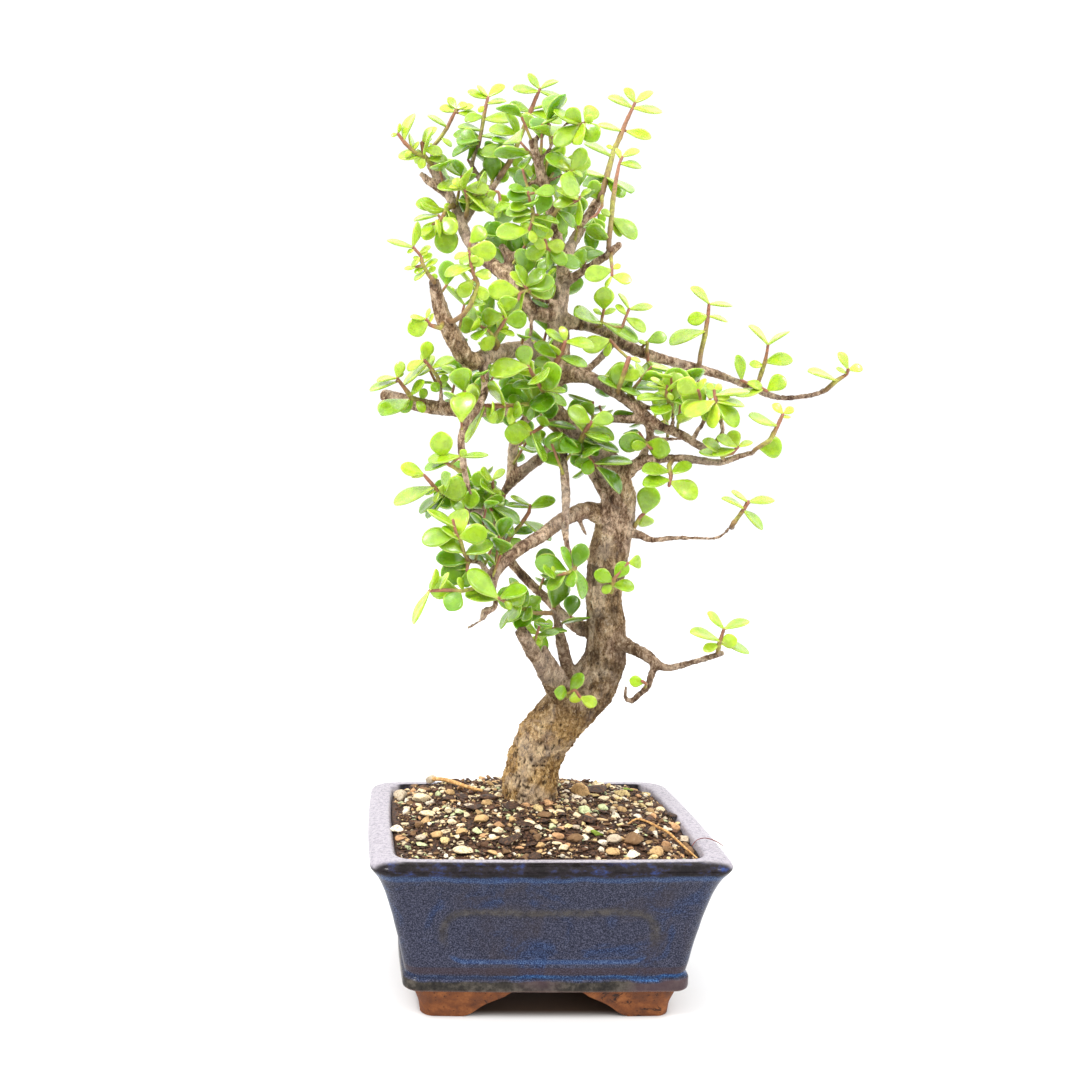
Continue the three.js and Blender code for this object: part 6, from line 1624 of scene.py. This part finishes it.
stem_roots = {name: place(*stem["routes"][0][1][:3]) for name, stem in stems.items()}
shoots = shoot_leaves = 0
for limb in LIMBS:
    along, due = 0.0, 4.0
    route = plain_route(limb)
    for (a, _), (b, radius) in zip(route, route[1:]):
        for k in range(math.ceil((b - a).length / 2)):
            at = a.lerp(b, k * 2 / (b - a).length)
            along += 2
            if along < due or radius > BUDDING or not in_dense(*drawn_at(at)[:2]):
                continue
            due = along + SHOOT_PITCH * (0.6 + 0.8 * draw())
            out = Vector((draw() - 0.5, 1.6 * (draw() - 0.35), 0.25 + 0.6 * draw())).normalized()
            length = 9 + 12 * draw()
            ends = [at + out * (radius * 0.5), at + out * (length * 0.55) + Vector((0, 0, 1)),
                    at + out * length + Vector((0, 0, 3))]
            drawn = [drawn_at(end) + (width,) for end, width in zip(ends, (SHOOT_WIDTH, SHOOT_WIDTH, 2.4))]
            name = min(stem_roots, key=lambda other: (stem_roots[other] - at).length)
            lies = list(pair_lies(route_of(drawn, 0.9, least=0.9), draw, first=radius + 1.5))
            if not is_clear(ends[1:], name, False, 0.6):
                continue
            kept = grow(name, lies, 0.54)
            if kept:
                last = drawn_at(kept[-1]["root"]) + (2.4,)
                stems[name]["stalks"].append([drawn[0], last])
                shoots += 1
                shoot_leaves += len(kept)
print("side shoots:", shoots, "with leaves:", shoot_leaves)

# %% [markdown]
# ## One fleshy leaf
#
# A leaf of this plant stores water, so it is as plump as a cushion: nearly 2 mm thick, with a
# rounded rim, a flatter upper side and a fuller belly. It is a loft of flattened rings from
# root to tip. Their half width follows the spoon outline: narrow at the root, widest past the
# middle, round at the end.

# %% Leaf mesh
ROWS = (0.0, 0.05, 0.12, 0.21, 0.32, 0.44, 0.56, 0.68, 0.79, 0.88, 0.95, 0.99)
TOP = (1, 0.7, 0.35, 0, -0.35, -0.7, -1)
BELLY = (-0.7, -0.35, 0, 0.35, 0.7)
WIDEST = 0.62


def spoon(s):
    """Half width at s along a leaf, as a share of the widest."""
    if s > WIDEST:
        return max(1 - ((s - WIDEST) / (1 - WIDEST)) ** 1.85, 0) ** 0.54
    return 0.12 + 0.88 * math.sin(math.pi / 2 * s / WIDEST) ** 1.35


def leaf_mesh(lie, draw):
    """Points, faces, and (along, edge) shares of one leaf."""
    arch = lie["length"] * 0.09 * (draw() - 0.25)
    cup = lie["half_width"] * (0.12 + 0.14 * draw())
    lopsided = 0.08 * (draw() - 0.5)
    twist = 0.3 * (draw() - 0.5)
    thickness = LEAF_THICKNESS * min(1.05, 0.5 + 0.5 * lie["length"] / 13)
    rings, shares = [], []
    for s in ROWS:
        half = spoon(s) * 1.02
        round_end = 1 if s < 0.6 else max(0.35, math.cos((s - 0.6) / 0.4 * 1.25))
        plump = thickness * min(1, 0.55 + 1.2 * s) * round_end
        ring = []
        for v, up in [(v, -0.58) for v in BELLY] + [(v, 0.42) for v in TOP]:
            across = v * half * (1 + lopsided * math.copysign(1, v))
            height = arch * 4 * s * (1 - s) + cup * half * v * v + plump * up * math.sqrt(1 - v * v)
            height += twist * s * across * lie["half_width"] * 0.4
            ring.append(leaf_point(lie, s - 0.02, across, height))
            shares.append((s, abs(v)))
        rings.append(ring)
    return *loft(rings), shares


print("points in a leaf:", len(leaf_mesh(example, draws(1))[0]))

# %% [markdown]
# ## Leaf and stem finishes
#
# The leaves are waxy yellow-green. Young ones at the tips are nearly yellow, and old ones are deep green;
# leaves high in the crown and far out to the sides also get painted light, a yellower tint. The rim is paler,
# partly its own colour and partly painted light glowing through the thin edge. The skin has faint lighter
# dots, and light glows through the flesh a little. The stems turn from purple-brown wood to green and then
# pink at the tip, so their colour follows the tint's second number.

# %% Leaf and stem


def leaf_finish():
    finish = Finish("leaf", 0.55, Coat_Weight=0.15, Coat_Roughness=0.12,
                    Subsurface_Weight=0.35, Subsurface_Scale=0.003, Subsurface_Radius=(0.5, 1.0, 0.12))
    youth_and_painted_light, along, edge, tone = finish.tint()
    # The first tint number mixes the leaf's age with painted light from where it stands in the crown.
    base = finish.ramp(youth_and_painted_light, (0.0, 54, 96, 4), (0.32, 108, 156, 10), (0.62, 174, 202, 40),
                       (1.0, 206, 224, 80))
    base = finish.over(base, tone, 0.0, 1.0, 0.4, (146, 176, 50))
    base = finish.over(base, finish.grain(230, 4, 0.6), 0.38, 0.6, 0.3, (60, 106, 8))
    base = finish.over(base, finish.cells(1100), 0.2, 0.0, 0.14, (178, 192, 100))
    base = finish.over(base, along, 0.22, 0.0, 0.6, (184, 190, 84))
    # The paler rim is partly the leaf's own colour and partly painted light glowing through the thin edge.
    base = finish.over(base, edge, 0.84, 1.0, 0.6, (206, 214, 118))
    relief = finish.grain(420, 3, 0.55)
    return finish.finish(base, finish.grain(300, 2), 0.18, 0.34, relief, 0.2, 0.25)


def shoot_finish():
    finish = Finish("shoot", 0.4)
    _, along, _, tone = finish.tint()
    colour = finish.ramp(along, (0.0, 108, 78, 60), (0.3, 142, 112, 66), (0.55, 172, 172, 74),
                         (0.75, 160, 110, 76), (1.0, 162, 100, 78))
    colour = finish.over(colour, finish.grain(700, 4, 0.65), 0.4, 0.6, 0.5, (92, 70, 52))
    relief = finish.grain(1100, 3, 0.6)
    return finish.finish(colour, tone, 0.42, 0.6, relief, 0.3, 0.4, calm=(0, 1))


LEAF = leaf_finish()
SHOOT = shoot_finish()
print("finishes:", LEAF.name, SHOOT.name)

# %% Build every leafy stem
NODE_PITCH = 5.5       # mm between the swellings where leaf pairs sit
PAINTED_LIGHT_MIDDLE = 0       # across the pot, in mm: leaves far from it get painted light, a yellower tint
PAINTED_LIGHT_HALF = 90
PAINTED_LIGHT_FROM = 200       # from this height up, too, leaves get more and more painted light
PAINTED_LIGHT_RISE = 220

total = 0
for name, stem in stems.items():
    draw = draws(len(name) * 31 + len(stem["leaves"]) * 7)
    heap = Heap()
    low, high = stem["routes"][0][0], stem["routes"][0][-1]
    for number, drawn in enumerate(stem["routes"] + stem["stalks"]):
        route = route_of(drawn, 0.9, least=0.9)
        length = sum((a[0] - b[0]).length for a, b in zip(route, route[1:]))
        start = 0.0 if number == 0 else 0.45
        along, shaped, tints = 0.0, [], []
        for k, (at, radius) in enumerate(route):
            along += (at - route[k - 1][0]).length if k else 0.0
            swell = 1 + 0.16 * max(0.0, math.cos(2 * math.pi * along / NODE_PITCH)) ** 6
            shaped.append((at, radius * swell))
            share = start + (1 - start) * along / max(length, 1e-6)
            tints += [(0, share, 0, draw())] * 8
        points, faces = tube(shaped, 8, cap=0.8)
        heap.add(points, faces, tints + [tints[-1]] * (len(points) - len(tints)), 1)
    root = place(*low[:3])
    reach = max((place(*high[:3]) - root).length, 1e-6)
    for lie, small in stem["lies"]:
        points, faces, shares = leaf_mesh(lie, draw)
        outward = min(max((lie["root"] - root).dot(place(*high[:3]) - root) / reach**2, 0), 1)
        # Painted light: leaves high in the crown and far to the sides are tinted yellower, low inner ones
        # deeper green.
        light = min(max((lie["root"].z - PAINTED_LIGHT_FROM) / PAINTED_LIGHT_RISE, 0), 1)
        beside = min(abs(lie["root"].x - PAINTED_LIGHT_MIDDLE) / PAINTED_LIGHT_HALF, 1)
        youth_and_painted_light = 0.1 + 0.25 * outward + 0.2 * light + 0.22 * small * outward + 0.24 * (draw() - 0.35)
        youth_and_painted_light += 0.3 * beside
        youth_and_painted_light += 0.18 * max(0, 1 - lie["length"] / 10)
        tone = draw()
        heap.add(points, faces, [(min(max(youth_and_painted_light, 0), 1), s, v, tone) for s, v in shares], 0)
    total += add_piece("foliage_" + name, heap, [LEAF, SHOOT], "leaves_" + name)
print("leafy stems:", total, "triangles")

# %% [markdown]
# ## Potting grit
#
# The soil is a draining mix: angular grit from 2 to 8 mm, cream, tan, ochre and a little green, in
# brown-black crumbs and slivers of bark. Seen close it is a heap, so it is made as a heap: a rough dark bed,
# the stones that catch the eye laid one by one, then more thrown between them from large to small, each kept
# only where it finds room, and crumbs and slivers last.

# %% Stone and bark finishes
STONE_COLOURS = {"cream": (232, 212, 172), "white_grit": (238, 226, 202), "straw": (216, 192, 136),
                 "tan": (200, 164, 114), "orange_tan": (202, 156, 112), "pale_green": (198, 208, 158),
                 "dust_grey": (196, 180, 156), "earth": (128, 98, 68), "moss": (124, 150, 52),
                 "dark_earth": (98, 70, 52)}
THROWN = ("cream", "straw", "tan", "white_grit", "earth", "dust_grey", "orange_tan", "earth", "cream",
          "pale_green", "dark_earth")


def stone_finish():
    finish = Finish("grit_stone", 0.25)
    red, green, blue, _ = finish.tint()
    own = finish.node("CombineColor", Red=red, Green=green, Blue=blue).outputs["Color"]
    dusty = finish.grain(900, 5, 0.7)
    colour = finish.over(own, dusty, 0.54, 0.36, 0.6, (104, 76, 50))
    colour = finish.over(colour, dusty, 0.6, 0.74, 0.4, (248, 238, 212))
    return finish.finish(colour, dusty, 0.75, 0.95, dusty, 0.6, 0.8)


def crumb_finish():
    finish = Finish("bark_crumb", 0.3)
    _, _, _, tone = finish.tint()
    fibres = finish.grain(700, 5, 0.7)
    colour = finish.ramp(fibres, (0.35, 26, 18, 14), (0.5, 60, 41, 30), (0.64, 106, 76, 54))
    red = finish.over(colour, tone, 0.55, 0.8, 0.8, (104, 70, 50))
    pale = finish.over(red, tone, 0.88, 0.95, 1, (196, 164, 120))
    return finish.finish(pale, fibres, 0.6, 0.85, fibres, 0.5, 0.7)


def dry_root_finish():
    finish = Finish("dry_root", 0.3)
    hue, _, _, _ = finish.tint()
    fibres = finish.grain(800, 4, 0.65)
    straw = finish.ramp(fibres, (0.35, 142, 98, 52), (0.5, 196, 148, 86), (0.65, 226, 186, 124))
    colour = finish.blend(hue, straw, (112, 48, 40))
    return finish.finish(colour, fibres, 0.5, 0.75, fibres, 0.4, 0.6)


GRIT = stone_finish()
CRUMB = crumb_finish()
DRY_ROOT = dry_root_finish()
print("finishes:", GRIT.name, CRUMB.name, DRY_ROOT.name)

# %% The bed
SOIL_EDGE = 71.6
SOIL_RISE = 9.4
TRUNK_FOOT = (-0.4, 12)
SOIL_INSET = 9.0
MOUND = (72, 62)       # how far the soil slopes down from the trunk, along and across the pot


def soil_height(x, y):
    u, v = (x - TRUNK_FOOT[0]) / MOUND[0], (y - TRUNK_FOOT[1]) / MOUND[1]
    return SOIL_EDGE + SOIL_RISE * max(0, 1 - u * u - v * v) ** 0.8


def bed_height(x, y):
    lumps = noise.noise(Vector((x * 0.16, y * 0.16, 3))) + 0.6 * noise.noise(Vector((x * 0.5, y * 0.5, 9)))
    return soil_height(x, y) - 1.0 + 0.9 * lumps


def on_bed(x, y, lift=0.0):
    return Vector((x, y, bed_height(x, y) + lift))


def makes_bed():
    rings = [pot_ring(inset, z, 6, 12, SIDE_RIM_WIDER)
             for inset, z in ((20.0, BASE_TOP + 0.4), (18.6, 31), (13.6, 54), (10.0, 68.6))]
    edge = pot_ring(SOIL_INSET, SOIL_EDGE, 6, 12, SIDE_RIM_WIDER)
    for share in [1 - k / 22 for k in range(22)]:
        ring = []
        for point in edge:
            x = TRUNK_FOOT[0] + (point.x - TRUNK_FOOT[0]) * share
            y = TRUNK_FOOT[1] + (point.y - TRUNK_FOOT[1]) * share
            ring.append(on_bed(x, y))
        rings.append(ring)
    return loft(rings)


def soil_piece(name, heap, finish):
    print(name, add_piece(name, heap, [finish], "soil"), "triangles")


bed = Heap()
bed.add(*makes_bed(), (0, 0, 0, 0.2))
soil_piece("soil_bed", bed, CRUMB)

# %% [markdown]
# ## One stone
#
# A stone starts as a ball. Thirteen flat cuts at random knock corners into it, and then it is
# squashed, stretched and turned. Grit lies on its flattest side, so the squash is upright.

# %% A stone's mesh


def ball_points(level):
    work = bmesh.new()
    bmesh.ops.create_icosphere(work, subdivisions=level, radius=1)
    points = [vertex.co.copy() for vertex in work.verts]
    faces = [[vertex.index for vertex in face.verts] for face in work.faces]
    work.free()
    return points, faces


CUTS = 13
CRUMB_BALL, SMALL_BALL, LARGE_BALL = ball_points(1), ball_points(2), ball_points(3)


def stone(at, size, draw, ball, flat=0.6, long=1.3, angular=0.38, spin=None):
    cuts = [(Vector((draw() - 0.5, draw() - 0.5, draw() - 0.5)).normalized(), 1 - angular * (0.5 + draw()))
            for _ in range(CUTS)]
    stretch = Vector((long * (0.8 + 0.4 * draw()), 0.8 + 0.35 * draw(), flat * (0.8 + 0.5 * draw())))
    turned, tip = 2 * math.pi * draw(), 0.6 * (draw() - 0.5)
    spin = turned if spin is None else spin
    made = []
    for point in ball[0]:
        p = point.copy()
        for normal, reach in cuts:
            over = p.dot(normal) - reach
            if over > 0:
                p -= normal * over
        p = Vector((p.x * stretch.x, p.y * stretch.y, p.z * stretch.z)) * size
        p.xz = (p.x * math.cos(tip) - p.z * math.sin(tip), p.x * math.sin(tip) + p.z * math.cos(tip))
        p.xy = (p.x * math.cos(spin) - p.y * math.sin(spin), p.x * math.sin(spin) + p.y * math.cos(spin))
        made.append(at + p)
    return made, ball[1]


print("points in a large stone:", len(LARGE_BALL[0]))

# %% Where a grain finds room
GRAIN_CELL = 8         # the grid in which grains look for room
SOIL_CORNER = 7
TRUNK_CLEAR = 9


def inside_rim(x, y, room):
    half_x, half_y = POT_LENGTH / 2 - SOIL_INSET - SIDE_RIM_WIDER, POT_DEPTH / 2 - SOIL_INSET
    over_x, over_y = abs(x) - (half_x - SOIL_CORNER), abs(y) - (half_y - SOIL_CORNER)
    if over_x > 0 and over_y > 0:
        return math.hypot(over_x, over_y) < SOIL_CORNER - room
    return abs(x) < half_x - room and abs(y) < half_y - room


def has_room(taken, x, y, size, spacing):
    key = (math.floor(x / GRAIN_CELL), math.floor(y / GRAIN_CELL))
    for dx, dy in itertools.product((-1, 0, 1), repeat=2):
        for gx, gy, other in taken.get((key[0] + dx, key[1] + dy), ()):
            if math.hypot(x - gx, y - gy) < (size + other) * spacing:
                return False
    taken.setdefault(key, []).append((x, y, size))
    return True


def throws(sizes, tries, spacing, seed, taken):
    """Places for grains: x, y and size, each clear of the grains already there."""
    draw = draws(seed)
    for _ in range(tries):
        size = sizes[0] + (sizes[1] - sizes[0]) * draw() ** 2
        x, y = (draw() - 0.5) * POT_LENGTH, (draw() - 0.5) * POT_DEPTH
        off_trunk = math.hypot(x - TRUNK_FOOT[0], y - TRUNK_FOOT[1]) > TRUNK_CLEAR
        if off_trunk and inside_rim(x, y, size * 0.6) and has_room(taken, x, y, size, spacing):
            yield x, y, size


def on_soil(x, y, lift=0.0):
    """The place on the soil, in mm, that is seen at a drawn point."""
    near, far = -POT_DEPTH / 2, POT_DEPTH / 2 - SOIL_INSET - 2
    for _ in range(18):
        middle = (near + far) / 2
        at = place(x, y, middle)
        near, far = (middle, far) if at.z > soil_height(at.x, at.y) + lift else (near, middle)
    return place(x, y, near)


print("a spot on the soil:", [round(v, 1) for v in on_soil(463, 832)])

# %% [markdown]
# ## Stones laid one by one
#
# The eye finds the few largest and palest stones first, and remembers where they lie. So about sixty are
# listed on the drawing: where, how wide and how tall each looks, its colour.

# %% The stones that catch the eye: x, y, width and height of each
LAID_STONES = read_rows("""
cream: 421 799 18 13, 421 792 9 7, 437 810 10 7, 428 814 12 7, 449 811 9 6, 452 822 11 6, 463 850 20 9,
  498 795 9 6, 500 856 9 6, 530 823 10 6, 603 799 12 8, 660 811 10 9, 589 831 14 9, 498 831 10 7,
  564 848 11 8
white_grit: 405 813 9 8, 397 830 13 11, 492 838 9 7, 645 796 6 5, 633 855 16 9, 601 850 7 9, 655 835 8 10
tan: 580 793 16 16, 480 820 15 10, 436 836 14 8, 463 832 12 8, 512 820 9 8, 614 852 13 10, 654 853 20 12,
  450 793 9 7, 540 846 9 6
orange_tan: 548 804 9 8, 558 836 10 8, 654 817 9 6, 561 829 8 5, 520 848 8 5
dust_grey: 401 797 15 16, 431 780 16 9, 614 841 16 11, 685 840 13 13, 420 838 12 6, 470 806 10 5
pale_green: 460 812 9 6, 438 795 9 7, 478 832 10 7, 553 827 8 8, 603 808 11 8, 584 811 13 9, 421 845 11 5
straw: 621 794 15 11, 445 841 10 6, 677 824 7 5, 619 799 8 5, 507 838 8 4
earth: 633 840 20 17, 665 850 9 8, 419 825 12 8, 574 838 16 9, 545 815 12 6
moss: 597 834 14 5, 628 790 12 4
""")
taken = {}
heaps = {"soil_stones_large": Heap(), "soil_stones_small": Heap()}
draw = draws(19)
for colour, laid_here in LAID_STONES:
    for x, y, width, height in laid_here:
        at = on_soil(x, y)
        size = width * unit_at(at) / 2
        has_room(taken, at.x, at.y, size, 0)
        points, faces = stone(at + Vector((0, 0, size * 0.1)), size, draw, LARGE_BALL,
                              flat=0.95 * height / width, long=1.15, angular=0.34, spin=0.5 * (draw() - 0.5))
        heaps["soil_stones_large"].add(points, faces, paint(*STONE_COLOURS[colour])[:3] + (draw(),))
print("stones laid by hand:", sum(len(laid_here) for _, laid_here in LAID_STONES))

# %% Throw the rest
for title, ball, sizes, tries, spacing, seed in (
        ("soil_stones_large", LARGE_BALL, (1.7, 2.9), 620, 0.86, 41),
        ("soil_stones_small", SMALL_BALL, (0.8, 1.9), 8000, 0.76, 42)):
    draw = draws(seed + 100)
    for x, y, size in throws(sizes, tries, spacing, seed, taken):
        colour = paint(*STONE_COLOURS[THROWN[int(draw() ** 1.3 * len(THROWN))]])
        light = 0.7 + 0.4 * draw()
        tint = (colour[0] * light, colour[1] * light, colour[2] * light, draw())
        at = on_bed(x, y, size * (0.1 + 0.35 * draw()))
        patchy = title == "soil_stones_small" and noise.noise(Vector((x * 0.09, y * 0.09, 5))) > 0.12
        if patchy and draw() < 0.75:
            continue
        heaps[title].add(*stone(at, size, draw, ball), tint)
for title, heap in heaps.items():
    soil_piece(title, heap, GRIT)

# %% [markdown]
# ## Crumbs, slivers and dry roots
#
# Between the stones lies what makes the mix look dark: thousands of crumbs of bark a millimetre
# or two long, and flat slivers up to 12 mm. A straw-coloured twig and two dry roots lie on
# top, one of them over the rim.

# %% Crumbs and slivers
LAID_SLIVERS = dict(read_rows("""
slivers: 509 807 22 5, 489 799 20 6, 525 825 24 4, 510 841 26 4, 448 799 15 5, 589 821 22 7, 595 791 30 5,
  649 834 14 6, 535 857 20 4, 462 797 16 4, 475 808 22 4, 545 822 14 4, 560 815 12 4, 672 816 18 5,
  455 782 12 5
"""))["slivers"]
slivers = Heap()
draw = draws(77)
for x, y, width, height in LAID_SLIVERS:
    at = on_soil(x, y)
    size = width * unit_at(at) / 2
    slivers.add(*stone(at + Vector((0, 0, 0.7)), size, draw, LARGE_BALL, flat=0.9 * height / width, long=1.0,
                       angular=0.35, spin=0.4 * (draw() - 0.5)), (0, 0, 0, 0.1 + 0.3 * draw()))
for x, y, size in throws((0.7, 2.0), 1500, 0.35, 78, {}):
    at = on_bed(x, y, 0.3 + 0.9 * draw())
    slivers.add(*stone(at, size, draw, SMALL_BALL, flat=0.3, long=2.0, angular=0.4), (0, 0, 0, draw()))
soil_piece("soil_bark_slivers", slivers, CRUMB)
crumbs = Heap()
for x, y, size in throws((0.35, 0.85), 9000, 0.45, 79, {}):
    at = on_bed(x, y, 0.25 + 0.5 * draw())
    crumbs.add(*stone(at, size, draw, CRUMB_BALL, flat=0.8, long=1.4, angular=0.3), (0, 0, 0, draw()))
soil_piece("soil_crumbs", crumbs, CRUMB)

# %% A twig and two roots: x, y, thickness and lift off the soil of each point
DRY_ROOTS = read_rows("""
soil_twig: 433 779 4.2 3, 444 779.5 4.2 3, 455 782.5 4 3, 468 787 3.6 2.5, 482 790.5 2.6 1.5
soil_root: 628 824 1.6 1, 637 819 2 2.5, 648 822 2.3 3, 658 827 2.6 3, 669 833 2.8 2.5, 681 844 2.6 2,
  690 852 2.2 1.5, 697 858 1.6 1
soil_root_hair: 692 846 0.8 1, 697 840 0.8 3, 705 838 0.9 4.2, 713 840 1.1 4, 719 843 0.9 3.6, 723 846 0.7 3.4
""")
HUES = {"soil_twig": 0, "soil_root": 0.1, "soil_root_hair": 1}     # from straw to red-brown
for name, drawn in DRY_ROOTS:
    spots = [on_soil(x, y, lift) for x, y, _, lift in drawn]
    route = [(x, y, spot.y, width) for (x, y, width, _), spot in zip(drawn, spots)]
    heap = Heap()
    heap.add(*tube(route_of(route, 0.8, least=0.8), 8, cap=0.8), (HUES[name], 0, 0, 1))
    soil_piece(name, heap, DRY_ROOT)

# %% [markdown]
# ## Drain meshes
#
# The two squares of plastic mesh over the drain holes have their true shape in the packed
# model, so they stay and only get a finish: dull dark plastic with a fine grain.

# %% Mesh plastic


def mesh_plastic():
    finish = Finish("mesh_plastic", 0.35)
    grain = finish.grain(1200, 3, 0.6)
    colour = finish.ramp(grain, (0.3, 24, 28, 26), (0.7, 52, 58, 54))
    return finish.finish(colour, grain, 0.5, 0.7, grain, 0.2, 0.4)


MESH_PLASTIC = mesh_plastic()
for name in ("drain_mesh_left", "drain_mesh_right"):
    dress(frame["nodes"][name], MESH_PLASTIC)
print("finish:", MESH_PLASTIC.name)

# %% [markdown]
# ## Floor, light and camera
#
# A white table and a white room make the soft, almost shadowless light of a product shot. A panel stands over
# the left and a weaker one on the right, so that the leaves and the glaze have something to reflect. The
# camera stands at the eye of the drawing, and its lens is shifted sideways rather than turned, which keeps
# the pot's walls upright. A white floor sends more light under a pot than a real table does, so the patch it
# covers gets a painted shadow in dark brown.

# %% Floor
PAINTED_SHADOW_INSET = (19, 15)     # how far the painted shadow under the pot keeps inside the pot's length and depth
PAINTED_SHADOW_FADE = 9


def floor_finish():
    finish = Finish("floor", 0.2, Roughness=0.6)
    grain = finish.grain(30, 2)
    white = finish.ramp(grain, (0.0, 216, 216, 216), (1.0, 220, 220, 220))
    side, depth, _ = finish.measures()
    half_x, half_y = POT_LENGTH / 2 - PAINTED_SHADOW_INSET[0], POT_DEPTH / 2 - PAINTED_SHADOW_INSET[1]
    # Painted shadow: the floor under the pot is painted dark brown.
    painted_shadow_under_pot = finish.times(finish.span(side, half_x, half_x - PAINTED_SHADOW_FADE),
                           finish.span(finish.math("ABSOLUTE", depth), half_y, half_y - PAINTED_SHADOW_FADE))
    finish.feed(finish.shader.inputs["Base Color"], finish.blend(painted_shadow_under_pot, white, (80, 64, 52)))
    return finish.material


FLOOR_HALF = 3.0
corners = [(x * FLOOR_HALF, y * FLOOR_HALF, 0) for x, y in ((-1, -1), (1, -1), (1, 1), (-1, 1))]
floor = new_object("floor", corners, [(0, 1, 2, 3)])
dress(floor, floor_finish())
floor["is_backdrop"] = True
print("floor:", 2 * FLOOR_HALF, "m square")

# %% Light
world = bpy.data.worlds.new("white_room")
scene.world = world
world.use_nodes = True
room = Nodes(world.node_tree)
background = room.nodes["Background"]
background.inputs["Color"].default_value = (1, 1, 1, 1)
heading = room.node("SeparateXYZ", Vector=room.node("TexCoord").outputs["Generated"])
above = room.span(heading.outputs["Z"], -0.05, 0.75, 1.3, 2.1)
front = room.span(heading.outputs["Y"], -0.1, -0.75)
low_front = room.times(front, room.span(heading.outputs["Z"], 0.5, 0.05))
strength = room.times(above, room.span(low_front, 0, 1, 1, 0.12))
seen = room.node("LightPath").outputs["Is Camera Ray"]
room.feed(background.inputs["Strength"], room.mix(seen, strength, 1.1))


def panel(name, at, aim, size, watts):
    light = bpy.data.lights.new(name, "AREA")
    light.shape = "RECTANGLE"
    light.size, light.size_y = size
    light.energy = watts
    lamp = bpy.data.objects.new(name, light)
    lamp.location = at
    lamp.rotation_euler = (Vector(aim) - Vector(at)).to_track_quat("-Z", "Y").to_euler()
    scene.collection.objects.link(lamp)
    return lamp


panel("key_panel", (-0.75, -0.55, 1.2), (-0.02, 0, 0.2), (0.28, 0.28), 12)
panel("fill_panel", (0.8, -0.6, 1.0), (0, 0, 0.2), (0.3, 0.3), 6)
scene.view_settings.view_transform = "Standard"
scene.view_settings.exposure = 0.0

# %% Camera
SENSOR = 36
camera_data = bpy.data.cameras.new("camera")
camera_data.sensor_width = SENSOR
camera_data.lens = FOCUS / DRAWING_SIDE * SENSOR
camera_data.shift_x = (DRAWING_SIDE / 2 - CENTRE_X) / DRAWING_SIDE
camera_data.shift_y = (CENTRE_Y - DRAWING_SIDE / 2) / DRAWING_SIDE
camera_data.clip_start = 0.01
camera = bpy.data.objects.new("camera", camera_data)
camera.location = (EYE + Vector((POT_MIDDLE_X, 0, 0))) * MM
camera.rotation_euler = (math.pi / 2 - TILT, 0, 0)
scene.collection.objects.link(camera)
scene.camera = camera
print("camera lens:", round(camera_data.lens, 1), "mm, shift", round(camera_data.shift_x, 3))

# %% [markdown]
# ## Sizes and the end
#
# Last, the dressed object's box is set beside the packed model's.

# %% Sizes
low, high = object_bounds()
{"cad": [list(cad_low), list(cad_high)], "dressed": [list(low), list(high)]}
print("packed box in mm: ", [round(v / MM, 1) for v in (*cad_low, *cad_high)])
print("dressed box in mm:", [round(v / MM, 1) for v in (*low, *high)])
